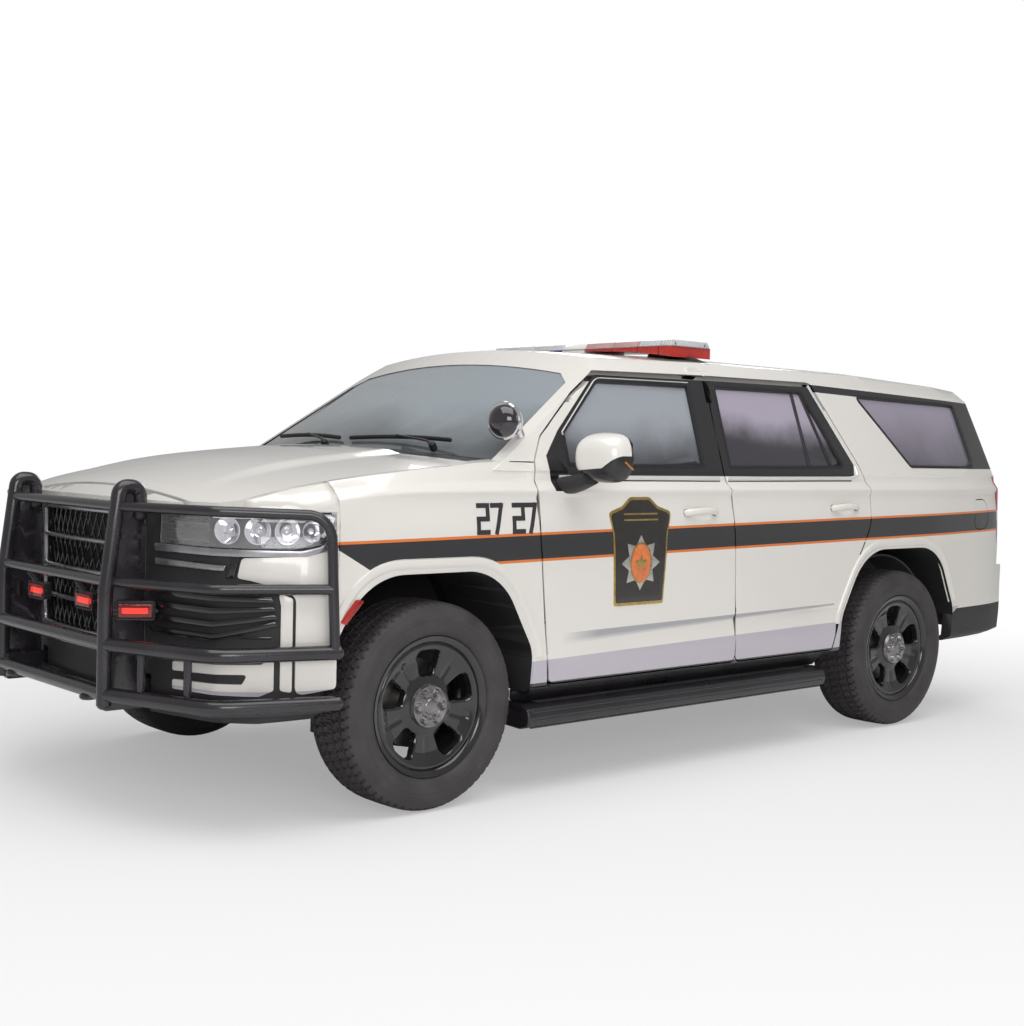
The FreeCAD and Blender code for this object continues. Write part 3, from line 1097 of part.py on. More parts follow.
def wheel_shape():
    """Steel wheel with its hub and brake disc; the outward side is +y, the rim's middle is y = 0."""
    half = RIM_WIDTH / 2.0
    inner = RIM_RADIUS - BARREL_WALL
    barrel = ring_profile(
        [
            (inner, -half), (RIM_RADIUS + FLANGE_HEIGHT, -half), (RIM_RADIUS + FLANGE_HEIGHT, -half + 6.0),
            (RIM_RADIUS, -half + 12.0), (RIM_RADIUS, half - 12.0), (RIM_RADIUS + FLANGE_HEIGHT, half - 6.0),
            (RIM_RADIUS + FLANGE_HEIGHT, half), (inner, half),
        ]
    )
    back = WHEEL_DISC_OFFSET
    front = WHEEL_DISC_OFFSET + WHEEL_DISC_THICKNESS
    disc = ring_profile(
        [
            (HUB_RADIUS - 30.0, back), (inner + 1.0, back - 4.0), (inner + 1.0, half - 16.0),
            (inner - 34.0, front + 14.0), (HUB_RADIUS + 20.0, front), (HUB_RADIUS - 30.0, front),
        ]
    )
    for index in range(SPOKE_COUNT):
        turn = 360.0 * index / SPOKE_COUNT
        opening = prism(
            [(-62.0, 214.0, 26.0), (62.0, 214.0, 26.0), (24.0, 112.0, 12.0), (-24.0, 112.0, 12.0)],
            lambda a, b: vec(a, -10.0, b), vec(0, 200.0, 0),
        )
        opening.rotate(vec(0, 0, 0), vec(0, 1, 0), turn)
        disc = disc.cut(opening)
    hub = ring_profile(
        [
            (AXLE_RADIUS + RUNNING_CLEARANCE, -34.0), (HUB_RADIUS - 24.0, -34.0),
            (HUB_RADIUS - 24.0, -30.0), (BRAKE_DISC_RADIUS, -30.0),
            (BRAKE_DISC_RADIUS, -30.0 + BRAKE_DISC_THICKNESS), (HUB_RADIUS, 0.0),
            (HUB_RADIUS, front + 12.0), (HUB_RADIUS - 12.0, front + 20.0),
            (AXLE_RADIUS + RUNNING_CLEARANCE, front + 20.0),
        ]
    )
    lugs = []
    for index in range(LUG_COUNT):
        angle = 2.0 * math.pi * (index + 0.5) / LUG_COUNT
        x, z = LUG_PITCH_RADIUS * math.sin(angle), LUG_PITCH_RADIUS * math.cos(angle)
        lugs.append(cylinder((x, front, z), (x, front + 34.0, z), 12.5))
    cap = ring_profile(
        [
            (0.0, front + 20.0), (HUB_RADIUS - 34.0, front + 20.0), (HUB_RADIUS - 40.0, front + 30.0),
            (0.0, front + 34.0),
        ]
    )
    return fuse([barrel, disc, hub, cap] + lugs)


base_tyre = tyre_shape()
base_wheel = wheel_shape()
WHEELS = {
    "front_left": (0.0, 1.0), "front_right": (0.0, -1.0),
    "rear_left": (REAR_AXLE_X, 1.0), "rear_right": (REAR_AXLE_X, -1.0),
}


def placed_wheel(shape, corner):
    axle_x, side_sign = WHEELS[corner]
    copy = shape.copy() if side_sign > 0 else mirrored(shape)
    copy.translate(vec(axle_x, side_sign * WHEEL_Y, WHEEL_Z))
    return copy


# ---------------------------------------------------------------- push bumper
def guard_half():
    y = GUARD_UPRIGHT_Y
    plate = [
        (GUARD_FACE_X, GUARD_WRAP_Z[0] - 30.0, 0.0), (GUARD_FACE_X, GUARD_KNEE_Z, 0.0),
        (GUARD_SHOULDER_X, GUARD_TOP_Z - 20.0, 0.0), (GUARD_HOOK_X, GUARD_TOP_Z - 20.0, 0.0),
        (GUARD_HOOK_X, GUARD_HOOP_TOP - 20.0, 0.0), (GUARD_PLATE_REAR_X, GUARD_HOOP_TOP - 60.0, 0.0),
        (GUARD_PLATE_REAR_X, GUARD_WRAP_Z[0] - 30.0, 20.0),
    ]
    pieces = [tube_path(GUARD_UPRIGHT, GUARD_TUBE_RADIUS, GUARD_BEND),
              side_prism(plate, y - GUARD_PLATE_THICKNESS / 2.0, y + GUARD_PLATE_THICKNESS / 2.0)]
    for z in GUARD_WRAP_Z:
        pieces.append(tube_path([(GUARD_FACE_X, y - 5.0, z), (GUARD_FACE_X - 175.0, y + 470.0, z),
                                 (GUARD_END_X, GUARD_END_Y, z)], GUARD_TUBE_RADIUS, 160.0))
    hoop = [
        (GUARD_FACE_X - 45.0, y, GUARD_HOOP_TOP), (GUARD_FACE_X - 200.0, y + 410.0, GUARD_HOOP_TOP),
        (GUARD_END_X + 40.0, GUARD_END_Y - 6.0, GUARD_HOOP_TOP - 10.0),
        (GUARD_END_X + 20.0, GUARD_END_Y, GUARD_WRAP_Z[1]),
    ]
    pieces.append(tube_path(hoop, GUARD_WING_RADIUS, 70.0))
    pieces.append(
        tube_path(
            [
                (GUARD_FACE_X - 22.0, y, GUARD_MID_Z), (GUARD_FACE_X - 195.0, y + 420.0, GUARD_MID_Z),
                (GUARD_END_X + 30.0, GUARD_END_Y - 3.0, GUARD_MID_Z),
            ],
            GUARD_WING_RADIUS, 120.0,
        )
    )
    for strut_y, strut_x in ((y + 150.0, GUARD_FACE_X - 66.0), (y + 330.0, GUARD_FACE_X - 150.0)):
        pieces.append(
            cylinder((strut_x, strut_y, GUARD_WRAP_Z[0]), (strut_x, strut_y, GUARD_WRAP_Z[1]), 15.0)
        )
    return pieces


# The upright's front tube leans back above the knee, hooks over and comes down to the plate behind it.
GUARD_UPRIGHT = [
    (GUARD_FACE_X + 2.0, GUARD_UPRIGHT_Y, GUARD_WRAP_Z[0] - 40.0),
    (GUARD_FACE_X, GUARD_UPRIGHT_Y, GUARD_KNEE_Z), (GUARD_SHOULDER_X, GUARD_UPRIGHT_Y, GUARD_TOP_Z),
    (GUARD_HOOK_X, GUARD_UPRIGHT_Y, GUARD_TOP_Z - 3.0),
    (GUARD_HOOK_X, GUARD_UPRIGHT_Y, GUARD_HOOP_TOP - 40.0),
]
half_guard = guard_half()
cross_tubes = [
    cylinder((x, -GUARD_UPRIGHT_Y, z), (x, GUARD_UPRIGHT_Y, z), radius) for x, z, radius in GUARD_CROSS
]
brackets = [
    box(
        (FRAME_FRONT_X, side_sign * FRAME_RAIL_Y - 20.0, rail_low + 10.0),
        (GUARD_FACE_X, side_sign * FRAME_RAIL_Y + 20.0, rail_high - 10.0),
    )
    for side_sign in (-1.0, 1.0)
]
push_bumper = fuse(half_guard + [mirrored(piece) for piece in half_guard] + cross_tubes + brackets)

# ---------------------------------------------------------------- running boards, roof equipment, mirrors
board_half = STEP_HALF_HEIGHT
board_profile = [
    (STEP_OUTER_Y, STEP_Z - board_half * 0.5, 20.0), (STEP_OUTER_Y, STEP_Z + board_half * 0.5, 20.0),
    (STEP_OUTER_Y - 60.0, STEP_Z + board_half, 30.0), (STEP_OUTER_Y - 170.0, STEP_Z + board_half, 10.0),
    (STEP_OUTER_Y - 170.0, STEP_Z - board_half, 20.0), (STEP_OUTER_Y - 60.0, STEP_Z - board_half, 30.0),
]
board = front_prism(board_profile, STEP_REAR_X, STEP_FRONT_X)
for bracket_x in (-650.0, -1420.0, -2200.0):
    board = board.fuse(
        box(
            (bracket_x - 30.0, STEP_OUTER_Y - 160.0, STEP_Z),
            (bracket_x + 30.0, STEP_OUTER_Y - 110.0, SILL_BOTTOM),
        )
    )
board = board.removeSplitter()
running_boards = Part.makeCompound([board, mirrored(board)])

bar_low = LIGHT_BAR_BOTTOM
bar_outline = [
    (LIGHT_BAR_X - LIGHT_BAR_WIDTH / 2.0, -LIGHT_BAR_LENGTH / 2.0, 60.0),
    (LIGHT_BAR_X + LIGHT_BAR_WIDTH / 2.0, -LIGHT_BAR_LENGTH / 2.0, 60.0),
    (LIGHT_BAR_X + LIGHT_BAR_WIDTH / 2.0, LIGHT_BAR_LENGTH / 2.0, 60.0),
    (LIGHT_BAR_X - LIGHT_BAR_WIDTH / 2.0, LIGHT_BAR_LENGTH / 2.0, 60.0),
]
base = plan_prism(bar_outline, bar_low, bar_low + LIGHT_BAR_BASE)
feet = [
    box(
        (LIGHT_BAR_X - 60.0, side_sign * LIGHT_BAR_FOOT_Y - 35.0, 1790.0),
        (LIGHT_BAR_X + 60.0, side_sign * LIGHT_BAR_FOOT_Y + 35.0, bar_low),
    )
    for side_sign in (-1.0, 1.0)
]
light_bar = Part.makeCompound([base] + [biggest(foot.cut(upper_body)) for foot in feet])
light_bar_lenses = plan_prism(
    grown(bar_outline, -6.0), bar_low + LIGHT_BAR_BASE, bar_low + LIGHT_BAR_HEIGHT
)

head_x, head_y, head_z = SPOTLIGHT_CENTRE
spot_shell = Part.makeSphere(SPOTLIGHT_RADIUS, vec(0, 0, 0)).common(
    box((-200.0, -200.0, -200.0), (25.0, 200.0, 200.0))
)
spot_shell.translate(vec(head_x, head_y, head_z))
stem = cylinder((head_x - 40.0, head_y - 10.0, head_z - 20.0), SPOTLIGHT_FOOT, 13.0)
spotlight = spot_shell.fuse(stem).cut(upper_body)
spotlight = biggest(spotlight)

mirror_outline = [
    (MIRROR_X + 72.0, MIRROR_Z - 84.0, 30.0), (MIRROR_X + 72.0, MIRROR_Z + 84.0, 60.0),
    (MIRROR_X - 92.0, MIRROR_Z + 108.0, 50.0), (MIRROR_X - 92.0, MIRROR_Z - 96.0, 40.0),
]
mirror_head = side_prism(mirror_outline, MIRROR_INNER_Y, MIRROR_OUTER_Y)
mirror_keeper = plan_prism([
    (MIRROR_X + 75.0, MIRROR_INNER_Y - 10.0, 0.0), (MIRROR_X + 75.0, MIRROR_INNER_Y + 90.0, 60.0),
    (MIRROR_X - 20.0, MIRROR_OUTER_Y + 4.0, 60.0), (MIRROR_X - 95.0, MIRROR_OUTER_Y - 4.0, 20.0),
    (MIRROR_X - 95.0, MIRROR_INNER_Y - 10.0, 0.0)], MIRROR_Z - 200.0, MIRROR_Z + 200.0)
mirror_arm = side_prism([
    (MIRROR_X + 62.0, MIRROR_Z - 148.0, 20.0), (MIRROR_X + 62.0, MIRROR_Z - 60.0, 20.0),
    (MIRROR_X - 60.0, MIRROR_Z - 60.0, 20.0), (MIRROR_X - 60.0, MIRROR_Z - 148.0, 20.0)],
    HALF_WIDTH - 103.0, MIRROR_INNER_Y + 60.0)
mirror = mirror_head.common(mirror_keeper).fuse(mirror_arm).cut(lower_body).cut(upper_body)
mirror = biggest(mirror)

# ---------------------------------------------------------------- cabin fittings
def seat_parts(rear_x, width, middle_y, rests):
    """Cushion, back, base and headrests of one seat, meeting face to face."""
    low_y, high_y = middle_y - width / 2.0, middle_y + width / 2.0
    back = side_prism([
        (rear_x + 90.0, FLOOR_TOP + 200.0, 20.0), (rear_x + 180.0, FLOOR_TOP + 300.0, 20.0),
        (rear_x + 30.0, FLOOR_TOP + 850.0, 40.0), (rear_x - 90.0, FLOOR_TOP + 850.0, 40.0)], low_y, high_y)
    cushion = side_prism(
        [
            (rear_x + 60.0, FLOOR_TOP + 150.0, 20.0), (rear_x + 560.0, FLOOR_TOP + 170.0, 60.0),
            (rear_x + 560.0, FLOOR_TOP + 300.0, 60.0), (rear_x + 60.0, FLOOR_TOP + 280.0, 20.0),
        ],
        low_y, high_y,
    ).cut(back)
    base = box(
        (rear_x + 120.0, low_y + 60.0, FLOOR_TOP), (rear_x + 500.0, high_y - 60.0, FLOOR_TOP + 200.0)
    )
    parts = [back, biggest(cushion), base.cut(cushion).cut(back)]
    for rest_y in rests:
        rest = box(
            (rear_x - 95.0, rest_y - 130.0, FLOOR_TOP + 800.0),
            (rear_x + 5.0, rest_y + 130.0, FLOOR_TOP + 1000.0),
        )
        parts.append(biggest(rest.cut(back)))
    return parts


seat_row = seat_parts(FRONT_SEAT_X, SEAT_WIDTH, SEAT_Y, [SEAT_Y])
seats = Part.makeCompound(seat_row + [mirrored(part) for part in seat_row]
                          + seat_parts(REAR_SEAT_X, REAR_BENCH_WIDTH, 0.0, [-SEAT_Y, SEAT_Y]))

dash_outline = [
    (FIREWALL_X, 900.0, 0.0), (FIREWALL_X, 1285.0, 0.0), (FIREWALL_X - 60.0, 1300.0, 0.0),
    (DASH_REAR_X + 40.0, 1280.0, 60.0), (DASH_REAR_X, 1150.0, 60.0), (DASH_REAR_X + 90.0, 930.0, 60.0),
]
dash = side_prism(dash_outline, -LOWER_INNER_Y + DASH_SIDE_GAP, LOWER_INNER_Y - DASH_SIDE_GAP)
console = side_prism(
    [
        (FIREWALL_X, FLOOR_TOP, 0.0), (FIREWALL_X, 920.0, 0.0), (DASH_REAR_X + 60.0, 920.0, 0.0),
        (DASH_REAR_X - 100.0, 900.0, 60.0), (CONSOLE_REAR_X, 880.0, 60.0), (CONSOLE_REAR_X, FLOOR_TOP, 0.0),
    ],
    -CONSOLE_HALF_WIDTH, CONSOLE_HALF_WIDTH,
)
column_dir = vec(-math.cos(STEERING_TILT), 0, math.sin(STEERING_TILT))
wheel_centre = vec(STEERING_WHEEL_X, SEAT_Y, STEERING_WHEEL_Z)
column_start = wheel_centre - column_dir * 330.0
column = Part.makeCylinder(34.0, 330.0 - STEERING_HUB_GAP, column_start, column_dir)
shaft = Part.makeCylinder(STEERING_SHAFT_RADIUS, 330.0 + 14.0, column_start, column_dir)
steering_column = column.fuse(shaft).cut(dash)
dashboard = Part.makeCompound([dash, console.cut(dash), biggest(steering_column.removeSplitter())])
steering_ring = Part.makeTorus(STEERING_WHEEL_RADIUS, 15.0, wheel_centre, column_dir)
steering_hub = Part.makeCylinder(70.0, 40.0, wheel_centre - column_dir * 20.0, column_dir)
across = vec(0, 1, 0)
down = column_dir.cross(across)
spokes = []
for direction in (across, across * -1.0, down if down.z < 0 else down * -1.0):
    spokes.append(Part.makeCylinder(13.0, STEERING_WHEEL_RADIUS - 5.0, wheel_centre, direction))
steering_bore = Part.makeCylinder(
    STEERING_SHAFT_RADIUS + RUNNING_CLEARANCE, 60.0, wheel_centre - column_dir * 40.0, column_dir
)
steering_wheel = steering_ring.fuse([steering_hub] + spokes).cut(steering_bore)
steering_wheel = biggest(steering_wheel)

exhaust_parts = [
    tube_path([(-600.0, -250.0, 330.0), (-1500.0, -250.0, 330.0), (-2300.0, -300.0, 320.0)], 34.0, 300.0),
    cylinder((-2150.0, -285.0, 310.0), (-2650.0, -285.0, 310.0), 75.0),
    tube_path(
        [
            (-2640.0, -300.0, 310.0), (-2860.0, -580.0, 310.0), (-3700.0, -580.0, 310.0),
            (-4230.0, -700.0, 310.0),
        ],
        32.0, 150.0,
    ),
]
HANGER_LOW = 330.0
exhaust_parts.append(box((-1012.0, -262.0, HANGER_LOW), (-988.0, -238.0, FRAME_RAIL_BOTTOM + 10.0)))
exhaust_parts.append(box((-3512.0, -592.0, HANGER_LOW), (-3488.0, -568.0, FRAME_RAIL_BOTTOM)))
exhaust_parts.append(
    box((-3512.0, -592.0, FRAME_RAIL_BOTTOM - 16.0), (-3488.0, -FRAME_RAIL_Y, FRAME_RAIL_BOTTOM))
)
exhaust = fuse(exhaust_parts)

# ---------------------------------------------------------------- write the pieces
REAR_END_X = BUMPER_REAR_X
FRONT_END_X = GUARD_FACE_X + GUARD_TUBE_RADIUS
ORIGIN_SHIFT = vec(-(FRONT_END_X + REAR_END_X) / 2.0, 0, 0)
os.makedirs("parts", exist_ok=True)


def write(node, shape):
    moved = shape.copy()
    moved.translate(ORIGIN_SHIFT)
    moved.exportStep("parts/" + node + ".step")


PIECES = {
    "frame": frame, "engine": engine, "floor": floor_tub, "cowl": cowl, "roof": roof,
    "side_left": side_left, "side_right": side_right,
    "fenders": Part.makeCompound([fender, mirrored(fender)]),
    "front_bumper": front_bumper, "grille": grille, "headlamps": headlamps,
    "rear_bumper": rear_bumper, "tail_lamps": Part.makeCompound([tail_lamp, mirrored(tail_lamp)]),
    "windscreen": windscreen, "quarter_glass": Part.makeCompound([quarter_glass, mirrored(quarter_glass)]),
    "push_bumper": push_bumper, "running_boards": running_boards, "light_bar": light_bar,
    "light_bar_lenses": light_bar_lenses, "spotlight": spotlight, "rear_axle": rear_axle,
    "seats": seats, "dashboard": dashboard, "exhaust": exhaust, "hood": hood,
    "door_front_left": front_door, "door_front_right": mirrored(front_door),
    "door_rear_left": rear_door, "door_rear_right": mirrored(rear_door),
    "glass_front_left": front_glass, "glass_front_right": mirrored(front_glass),
    "glass_rear_left": rear_glass, "glass_rear_right": mirrored(rear_glass),
    "mirror_left": mirror, "mirror_right": mirrored(mirror),
    "tailgate": tailgate, "tailgate_glass": gate_glass, "fuel_lid": fuel_lid,
    "knuckle_left": knuckle, "knuckle_right": mirrored(knuckle), "steering_wheel": steering_wheel,
}
for corner in WHEELS:
    PIECES["wheel_" + corner] = placed_wheel(base_wheel, corner)
    PIECES["tyre_" + corner] = placed_wheel(base_tyre, corner)
for node, shape in PIECES.items():
    write(node, shape)
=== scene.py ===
# A full-size patrol utility vehicle, dressed around its packed construction model.
# Lengths are metres.  at() takes x from the front axle (+x forward), y to the left and z up.
import functools
import json
import math

import bmesh
import bpy
import numpy as np
from mathutils import Matrix, Vector
from mathutils.bvhtree import BVHTree


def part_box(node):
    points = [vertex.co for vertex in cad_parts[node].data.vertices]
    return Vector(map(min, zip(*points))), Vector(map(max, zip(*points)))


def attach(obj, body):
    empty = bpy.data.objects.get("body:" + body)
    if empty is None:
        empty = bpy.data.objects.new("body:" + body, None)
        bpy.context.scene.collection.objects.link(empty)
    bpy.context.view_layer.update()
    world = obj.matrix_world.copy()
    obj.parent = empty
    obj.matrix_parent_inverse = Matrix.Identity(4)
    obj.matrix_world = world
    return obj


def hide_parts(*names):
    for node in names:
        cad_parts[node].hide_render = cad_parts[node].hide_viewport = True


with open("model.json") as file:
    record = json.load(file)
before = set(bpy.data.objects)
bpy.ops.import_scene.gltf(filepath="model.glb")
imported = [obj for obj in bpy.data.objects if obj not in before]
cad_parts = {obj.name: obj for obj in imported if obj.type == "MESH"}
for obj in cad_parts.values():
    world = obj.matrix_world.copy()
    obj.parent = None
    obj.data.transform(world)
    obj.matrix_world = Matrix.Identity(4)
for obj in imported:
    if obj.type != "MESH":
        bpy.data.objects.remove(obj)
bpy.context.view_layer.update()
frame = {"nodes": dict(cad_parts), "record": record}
body_holding = {part: body for body, parts in frame["record"]["behaviour"]["bodies"].items() for part in parts}
front_axle_x = sum(corner.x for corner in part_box("wheel_front_left")) / 2
rear_axle_x = sum(corner.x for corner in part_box("wheel_rear_left")) / 2 - front_axle_x


def at(x, y, z):
    return Vector((front_axle_x + x, y, z))


# ---------------------------------------------------------------- camera
# A long portrait lens a little below roof height, ahead of the driver's front corner.
camera = bpy.data.objects.new("camera", bpy.data.cameras.new("camera"))
bpy.context.scene.collection.objects.link(camera)
camera.data.sensor_fit = "VERTICAL"
camera.data.sensor_height = 36.0
camera.data.lens = 51.5
pan, tilt, roll = math.radians(138.47), math.radians(87.35), math.radians(1.42)
turn = Matrix.Rotation(pan, 4, "Z") @ Matrix.Rotation(tilt, 4, "X") @ Matrix.Rotation(roll, 4, "Z")
camera.matrix_world = Matrix.Translation(at(3.458, 5.322, 1.404)) @ turn
bpy.context.scene.camera = camera
bpy.context.scene.view_settings.view_transform = "Standard"


# ---------------------------------------------------------------- studio floor and soft light
# A pale cyclorama floor that keeps the car's shadow and runs out to plain white, one large overhead
# softbox, two weaker side boxes and an even white room.
def new_material(name):
    made = bpy.data.materials.new(name)
    made.use_nodes = True
    made.node_tree.nodes.clear()
    return made, made.node_tree


def put(tree, kind, **values):
    """Adds a shader node; each value is set on the input of that name (_ for a space), or linked to it."""
    made = tree.nodes.new("ShaderNode" + kind)
    for name, value in values.items():
        socket = made.inputs[name.replace("_", " ")]
        if isinstance(value, bpy.types.NodeSocket):
            tree.links.new(value, socket)
        else:
            socket.default_value = value
    return made


def calc(tree, kind, *values):
    """One step of arithmetic in a material; each value is a number or another node's output."""
    step = tree.nodes.new("ShaderNodeMath")
    step.operation = kind
    for socket, value in zip(step.inputs, values):
        if isinstance(value, (int, float)):
            socket.default_value = value
        else:
            tree.links.new(value, socket)
    return step.outputs[0]


def seen_or_through(tree):
    """1 for rays that come from the eye, straight or through glass, and 0 for the rest."""
    rays = put(tree, "LightPath").outputs
    return calc(tree, "MAXIMUM", rays["Is Camera Ray"], rays["Is Transmission Ray"])


def studio_floor():
    made, tree = new_material("studio_floor")
    reach = tree.nodes.new("ShaderNodeVectorMath")
    reach.operation = "LENGTH"
    tree.links.new(put(tree, "TexCoord").outputs["Object"], reach.inputs[0])
    fade = put(tree, "MapRange", Value=reach.outputs["Value"], From_Min=1.5, From_Max=6.5, To_Min=0.35)
    fade.interpolation_type = "SMOOTHSTEP"
    share = calc(tree, "MULTIPLY", fade.outputs["Result"], seen_or_through(tree))
    mix = put(tree, "MixShader", Fac=share)
    tree.links.new(put(tree, "BsdfDiffuse", Color=(0.86, 0.86, 0.86, 1)).outputs[0], mix.inputs[1])
    tree.links.new(put(tree, "Emission").outputs[0], mix.inputs[2])
    put(tree, "OutputMaterial", Surface=mix.outputs[0])
    return made


floor_mesh = bpy.data.meshes.new("studio_floor")
floor_mesh.from_pydata([(-40, -40, 0), (40, -40, 0), (40, 40, 0), (-40, 40, 0)], [], [(0, 1, 2, 3)])
floor_mesh.materials.append(studio_floor())
studio = bpy.data.objects.new("studio_floor", floor_mesh)
bpy.context.scene.collection.objects.link(studio)

room = bpy.data.worlds.new("room")
bpy.context.scene.world = room
room.use_nodes = True
room.node_tree.nodes.clear()
room_level = put(room.node_tree, "MapRange", Value=seen_or_through(room.node_tree), To_Min=0.36, To_Max=1.0)
room_white = put(room.node_tree, "Background", Color=(1, 1, 1, 1), Strength=room_level.outputs["Result"])
put(room.node_tree, "OutputWorld", Surface=room_white.outputs[0])

# name, place, aimed at, width, height, watts
softboxes = [
    ("overhead_box", at(0.2, 2.2, 7.0), at(-1.6, 0.0, 1.0), 8.0, 6.0, 335.0),
    ("side_box", at(4.0, 8.0, 3.4), at(-1.2, 0.0, 1.0), 5.0, 3.0, 215.0),
    ("back_box", at(-7.5, -5.0, 4.5), at(-2.0, 0.0, 1.0), 5.0, 3.0, 150.0),
]
for name, place, target, width, height, watts in softboxes:
    lamp = bpy.data.lights.new(name, "AREA")
    lamp.shape = "RECTANGLE"
    lamp.size = width
    lamp.size_y = height
    lamp.energy = watts
    box_lamp = bpy.data.objects.new(name, lamp)
    bpy.context.scene.collection.objects.link(box_lamp)
    aim = (target - place).to_track_quat("-Z", "Y").to_matrix().to_4x4()
    box_lamp.matrix_world = Matrix.Translation(place) @ aim


# ---------------------------------------------------------------- ladder frame, axle and running gear
# Rolled steel rails under black chassis wax, cast iron and aluminium lumps, an aluminised exhaust with
# a brown heat tint.  All stay as the construction model has them.
def finish(name, colour, rough, metallic=0.0, coat=0.0, mottle=0.1, mottle_size=0.25, grain=0.0,
           grain_size=0.002, rough_spread=0.1, specular=0.5):
    """An opaque finish: a base colour with broad mottling, uneven gloss and a fine surface grain."""
    made, tree = new_material(name)
    place = put(tree, "TexCoord").outputs["Object"]
    broad = put(tree, "TexNoise", Scale=1.0 / mottle_size, Detail=5.0, Vector=place).outputs["Fac"]
    tone = put(tree, "ValToRGB", Fac=broad)
    tone.name = "tone"
    for stop, where, level in zip(tone.color_ramp.elements, (0.3, 0.7), (1.0 - mottle, 1.0 + mottle)):
        stop.position = where
        stop.color = (*[min(1.0, c * level) for c in colour], 1)
    gloss = put(tree, "MapRange", Value=broad, To_Min=max(0.02, rough - rough_spread),
                To_Max=min(1.0, rough + rough_spread))
    skin = put(tree, "BsdfPrincipled", Base_Color=tone.outputs["Color"], Roughness=gloss.outputs["Result"],
               Metallic=metallic, Coat_Weight=coat, Coat_Roughness=0.05, Specular_IOR_Level=specular)
    skin.name = "skin"
    put(tree, "OutputMaterial", Surface=skin.outputs[0])
    if grain:
        fine = put(tree, "TexNoise", Scale=1.0 / grain_size, Detail=3.0, Vector=place)
        bumpy(tree, fine.outputs["Fac"], grain, grain_size)
    return made


def bumpy(tree, height, strength, distance):
    """Raises a material's surface by a texture."""
    bump = put(tree, "Bump", Strength=strength, Distance=distance, Height=height)
    tree.links.new(bump.outputs["Normal"], tree.nodes["skin"].inputs["Normal"])


def keep(node, material):
    """A construction node that stays as it is and takes this material."""
    mesh = frame["nodes"][node].data
    mesh.materials.clear()
    mesh.materials.append(material)


chassis_wax = finish("chassis_wax", (0.035, 0.034, 0.033), 0.6, mottle=0.35, grain=0.5, grain_size=0.004)
bare_casting = finish("bare_casting", (0.30, 0.30, 0.29), 0.55, metallic=0.8, mottle=0.25, grain=0.7,
                      grain_size=0.003)
iron_casting = finish("iron_casting", (0.10, 0.095, 0.09), 0.62, metallic=0.6, mottle=0.3, grain=0.7,
                      grain_size=0.003)
tinted_steel = finish("tinted_steel", (0.38, 0.35, 0.31), 0.38, metallic=1.0, mottle=0.2, grain=0.2,
                      grain_size=0.006)
floor_coat = finish("floor_coat", (0.06, 0.06, 0.062), 0.85, mottle=0.2, grain=0.8, grain_size=0.003)
keep("frame", chassis_wax)
keep("exhaust", tinted_steel)
keep("floor", floor_coat)
for casting in ("rear_axle", "knuckle_left", "knuckle_right"):
    keep(casting, iron_casting)




# ---------------------------------------------------------------- body side panels
# Pressed steel outer sides with the roof pillars, white two-coat paint with a black band between orange
# lines, and a black sill.  Spot-welded to the floor and roof.
def eased(stations, column):
    """A smooth curve through one column of a table, read along its first column."""
    xs = np.array([row[0] for row in stations])
    ys = np.array([row[column] for row in stations])
    order = np.argsort(xs)
    xs, ys = xs[order], ys[order]
    step = np.diff(xs)
    slope = np.diff(ys) / step
    rate = np.zeros(len(xs))
    rate[0], rate[-1] = slope[0], slope[-1]
    for k in range(1, len(xs) - 1):
        if slope[k - 1] * slope[k] > 0:
            early = 2 * step[k] + step[k - 1]
            late = step[k] + 2 * step[k - 1]
            rate[k] = (early + late) / (early / slope[k - 1] + late / slope[k])

    def read(x):
        x = min(max(x, xs[0]), xs[-1])
        k = min(int(np.searchsorted(xs, x, side="right")) - 1, len(xs) - 2)
        t = (x - xs[k]) / step[k]
        s = 1 - t
        value = ys[k] * s * s * (1 + 2 * t) + ys[k + 1] * t * t * (3 - 2 * t)
        return value + step[k] * t * s * (rate[k] * s - rate[k + 1] * t)

    return read


# inset from the widest line, height
side_section = [(0.070, 0.400), (0.012, 0.430), (0.003, 0.560), (0.004, 0.690), (0.0, 0.960), (0.008, 1.225),
                (0.038, 1.262), (0.044, 1.300)]
# x, half width
cabin_widths = [(-0.47, 1.003), (-2.78, 1.003), (-3.30, 1.006), (-3.70, 0.985), (-4.00, 0.952), (-4.20, 0.905),
                (-4.35, 0.850)]
# x, half width, shoulder z, bonnet edge y, bonnet edge z, bonnet crown z
nose_sections = [(-0.62, 1.003, 1.225, 0.949, 1.340, 1.400), (-0.40, 1.003, 1.225, 0.949, 1.340, 1.392),
                 (-0.10, 1.006, 1.222, 0.945, 1.318, 1.370), (0.30, 1.004, 1.205, 0.932, 1.276, 1.334),
                 (0.60, 0.985, 1.165, 0.905, 1.228, 1.292), (0.80, 0.960, 1.110, 0.872, 1.172, 1.245),
                 (0.96, 0.935, 1.030, 0.820, 1.085, 1.165)]
# x, belt half width, drip rail half width, drip rail z, roof edge y, roof edge z, crown z
roof_sections = [(-0.25, 0.962, 0.850, 1.640, 0.770, 1.700, 1.765),
                 (-1.05, 0.960, 0.824, 1.733, 0.745, 1.795, 1.846),
                 (-1.90, 0.959, 0.820, 1.745, 0.738, 1.812, 1.868),
                 (-3.00, 0.957, 0.815, 1.740, 0.732, 1.808, 1.860),
                 (-3.70, 0.940, 0.800, 1.720, 0.718, 1.784, 1.836),
                 (-4.35, 0.850, 0.740, 1.690, 0.665, 1.745, 1.795)]
nose_curves = [eased(nose_sections, column) for column in range(1, 6)]
roof_curves = [eased(roof_sections, column) for column in range(1, 7)]
cabin_curve = eased(cabin_widths, 1)
nose_start_x = -0.50
belt_z = 1.300


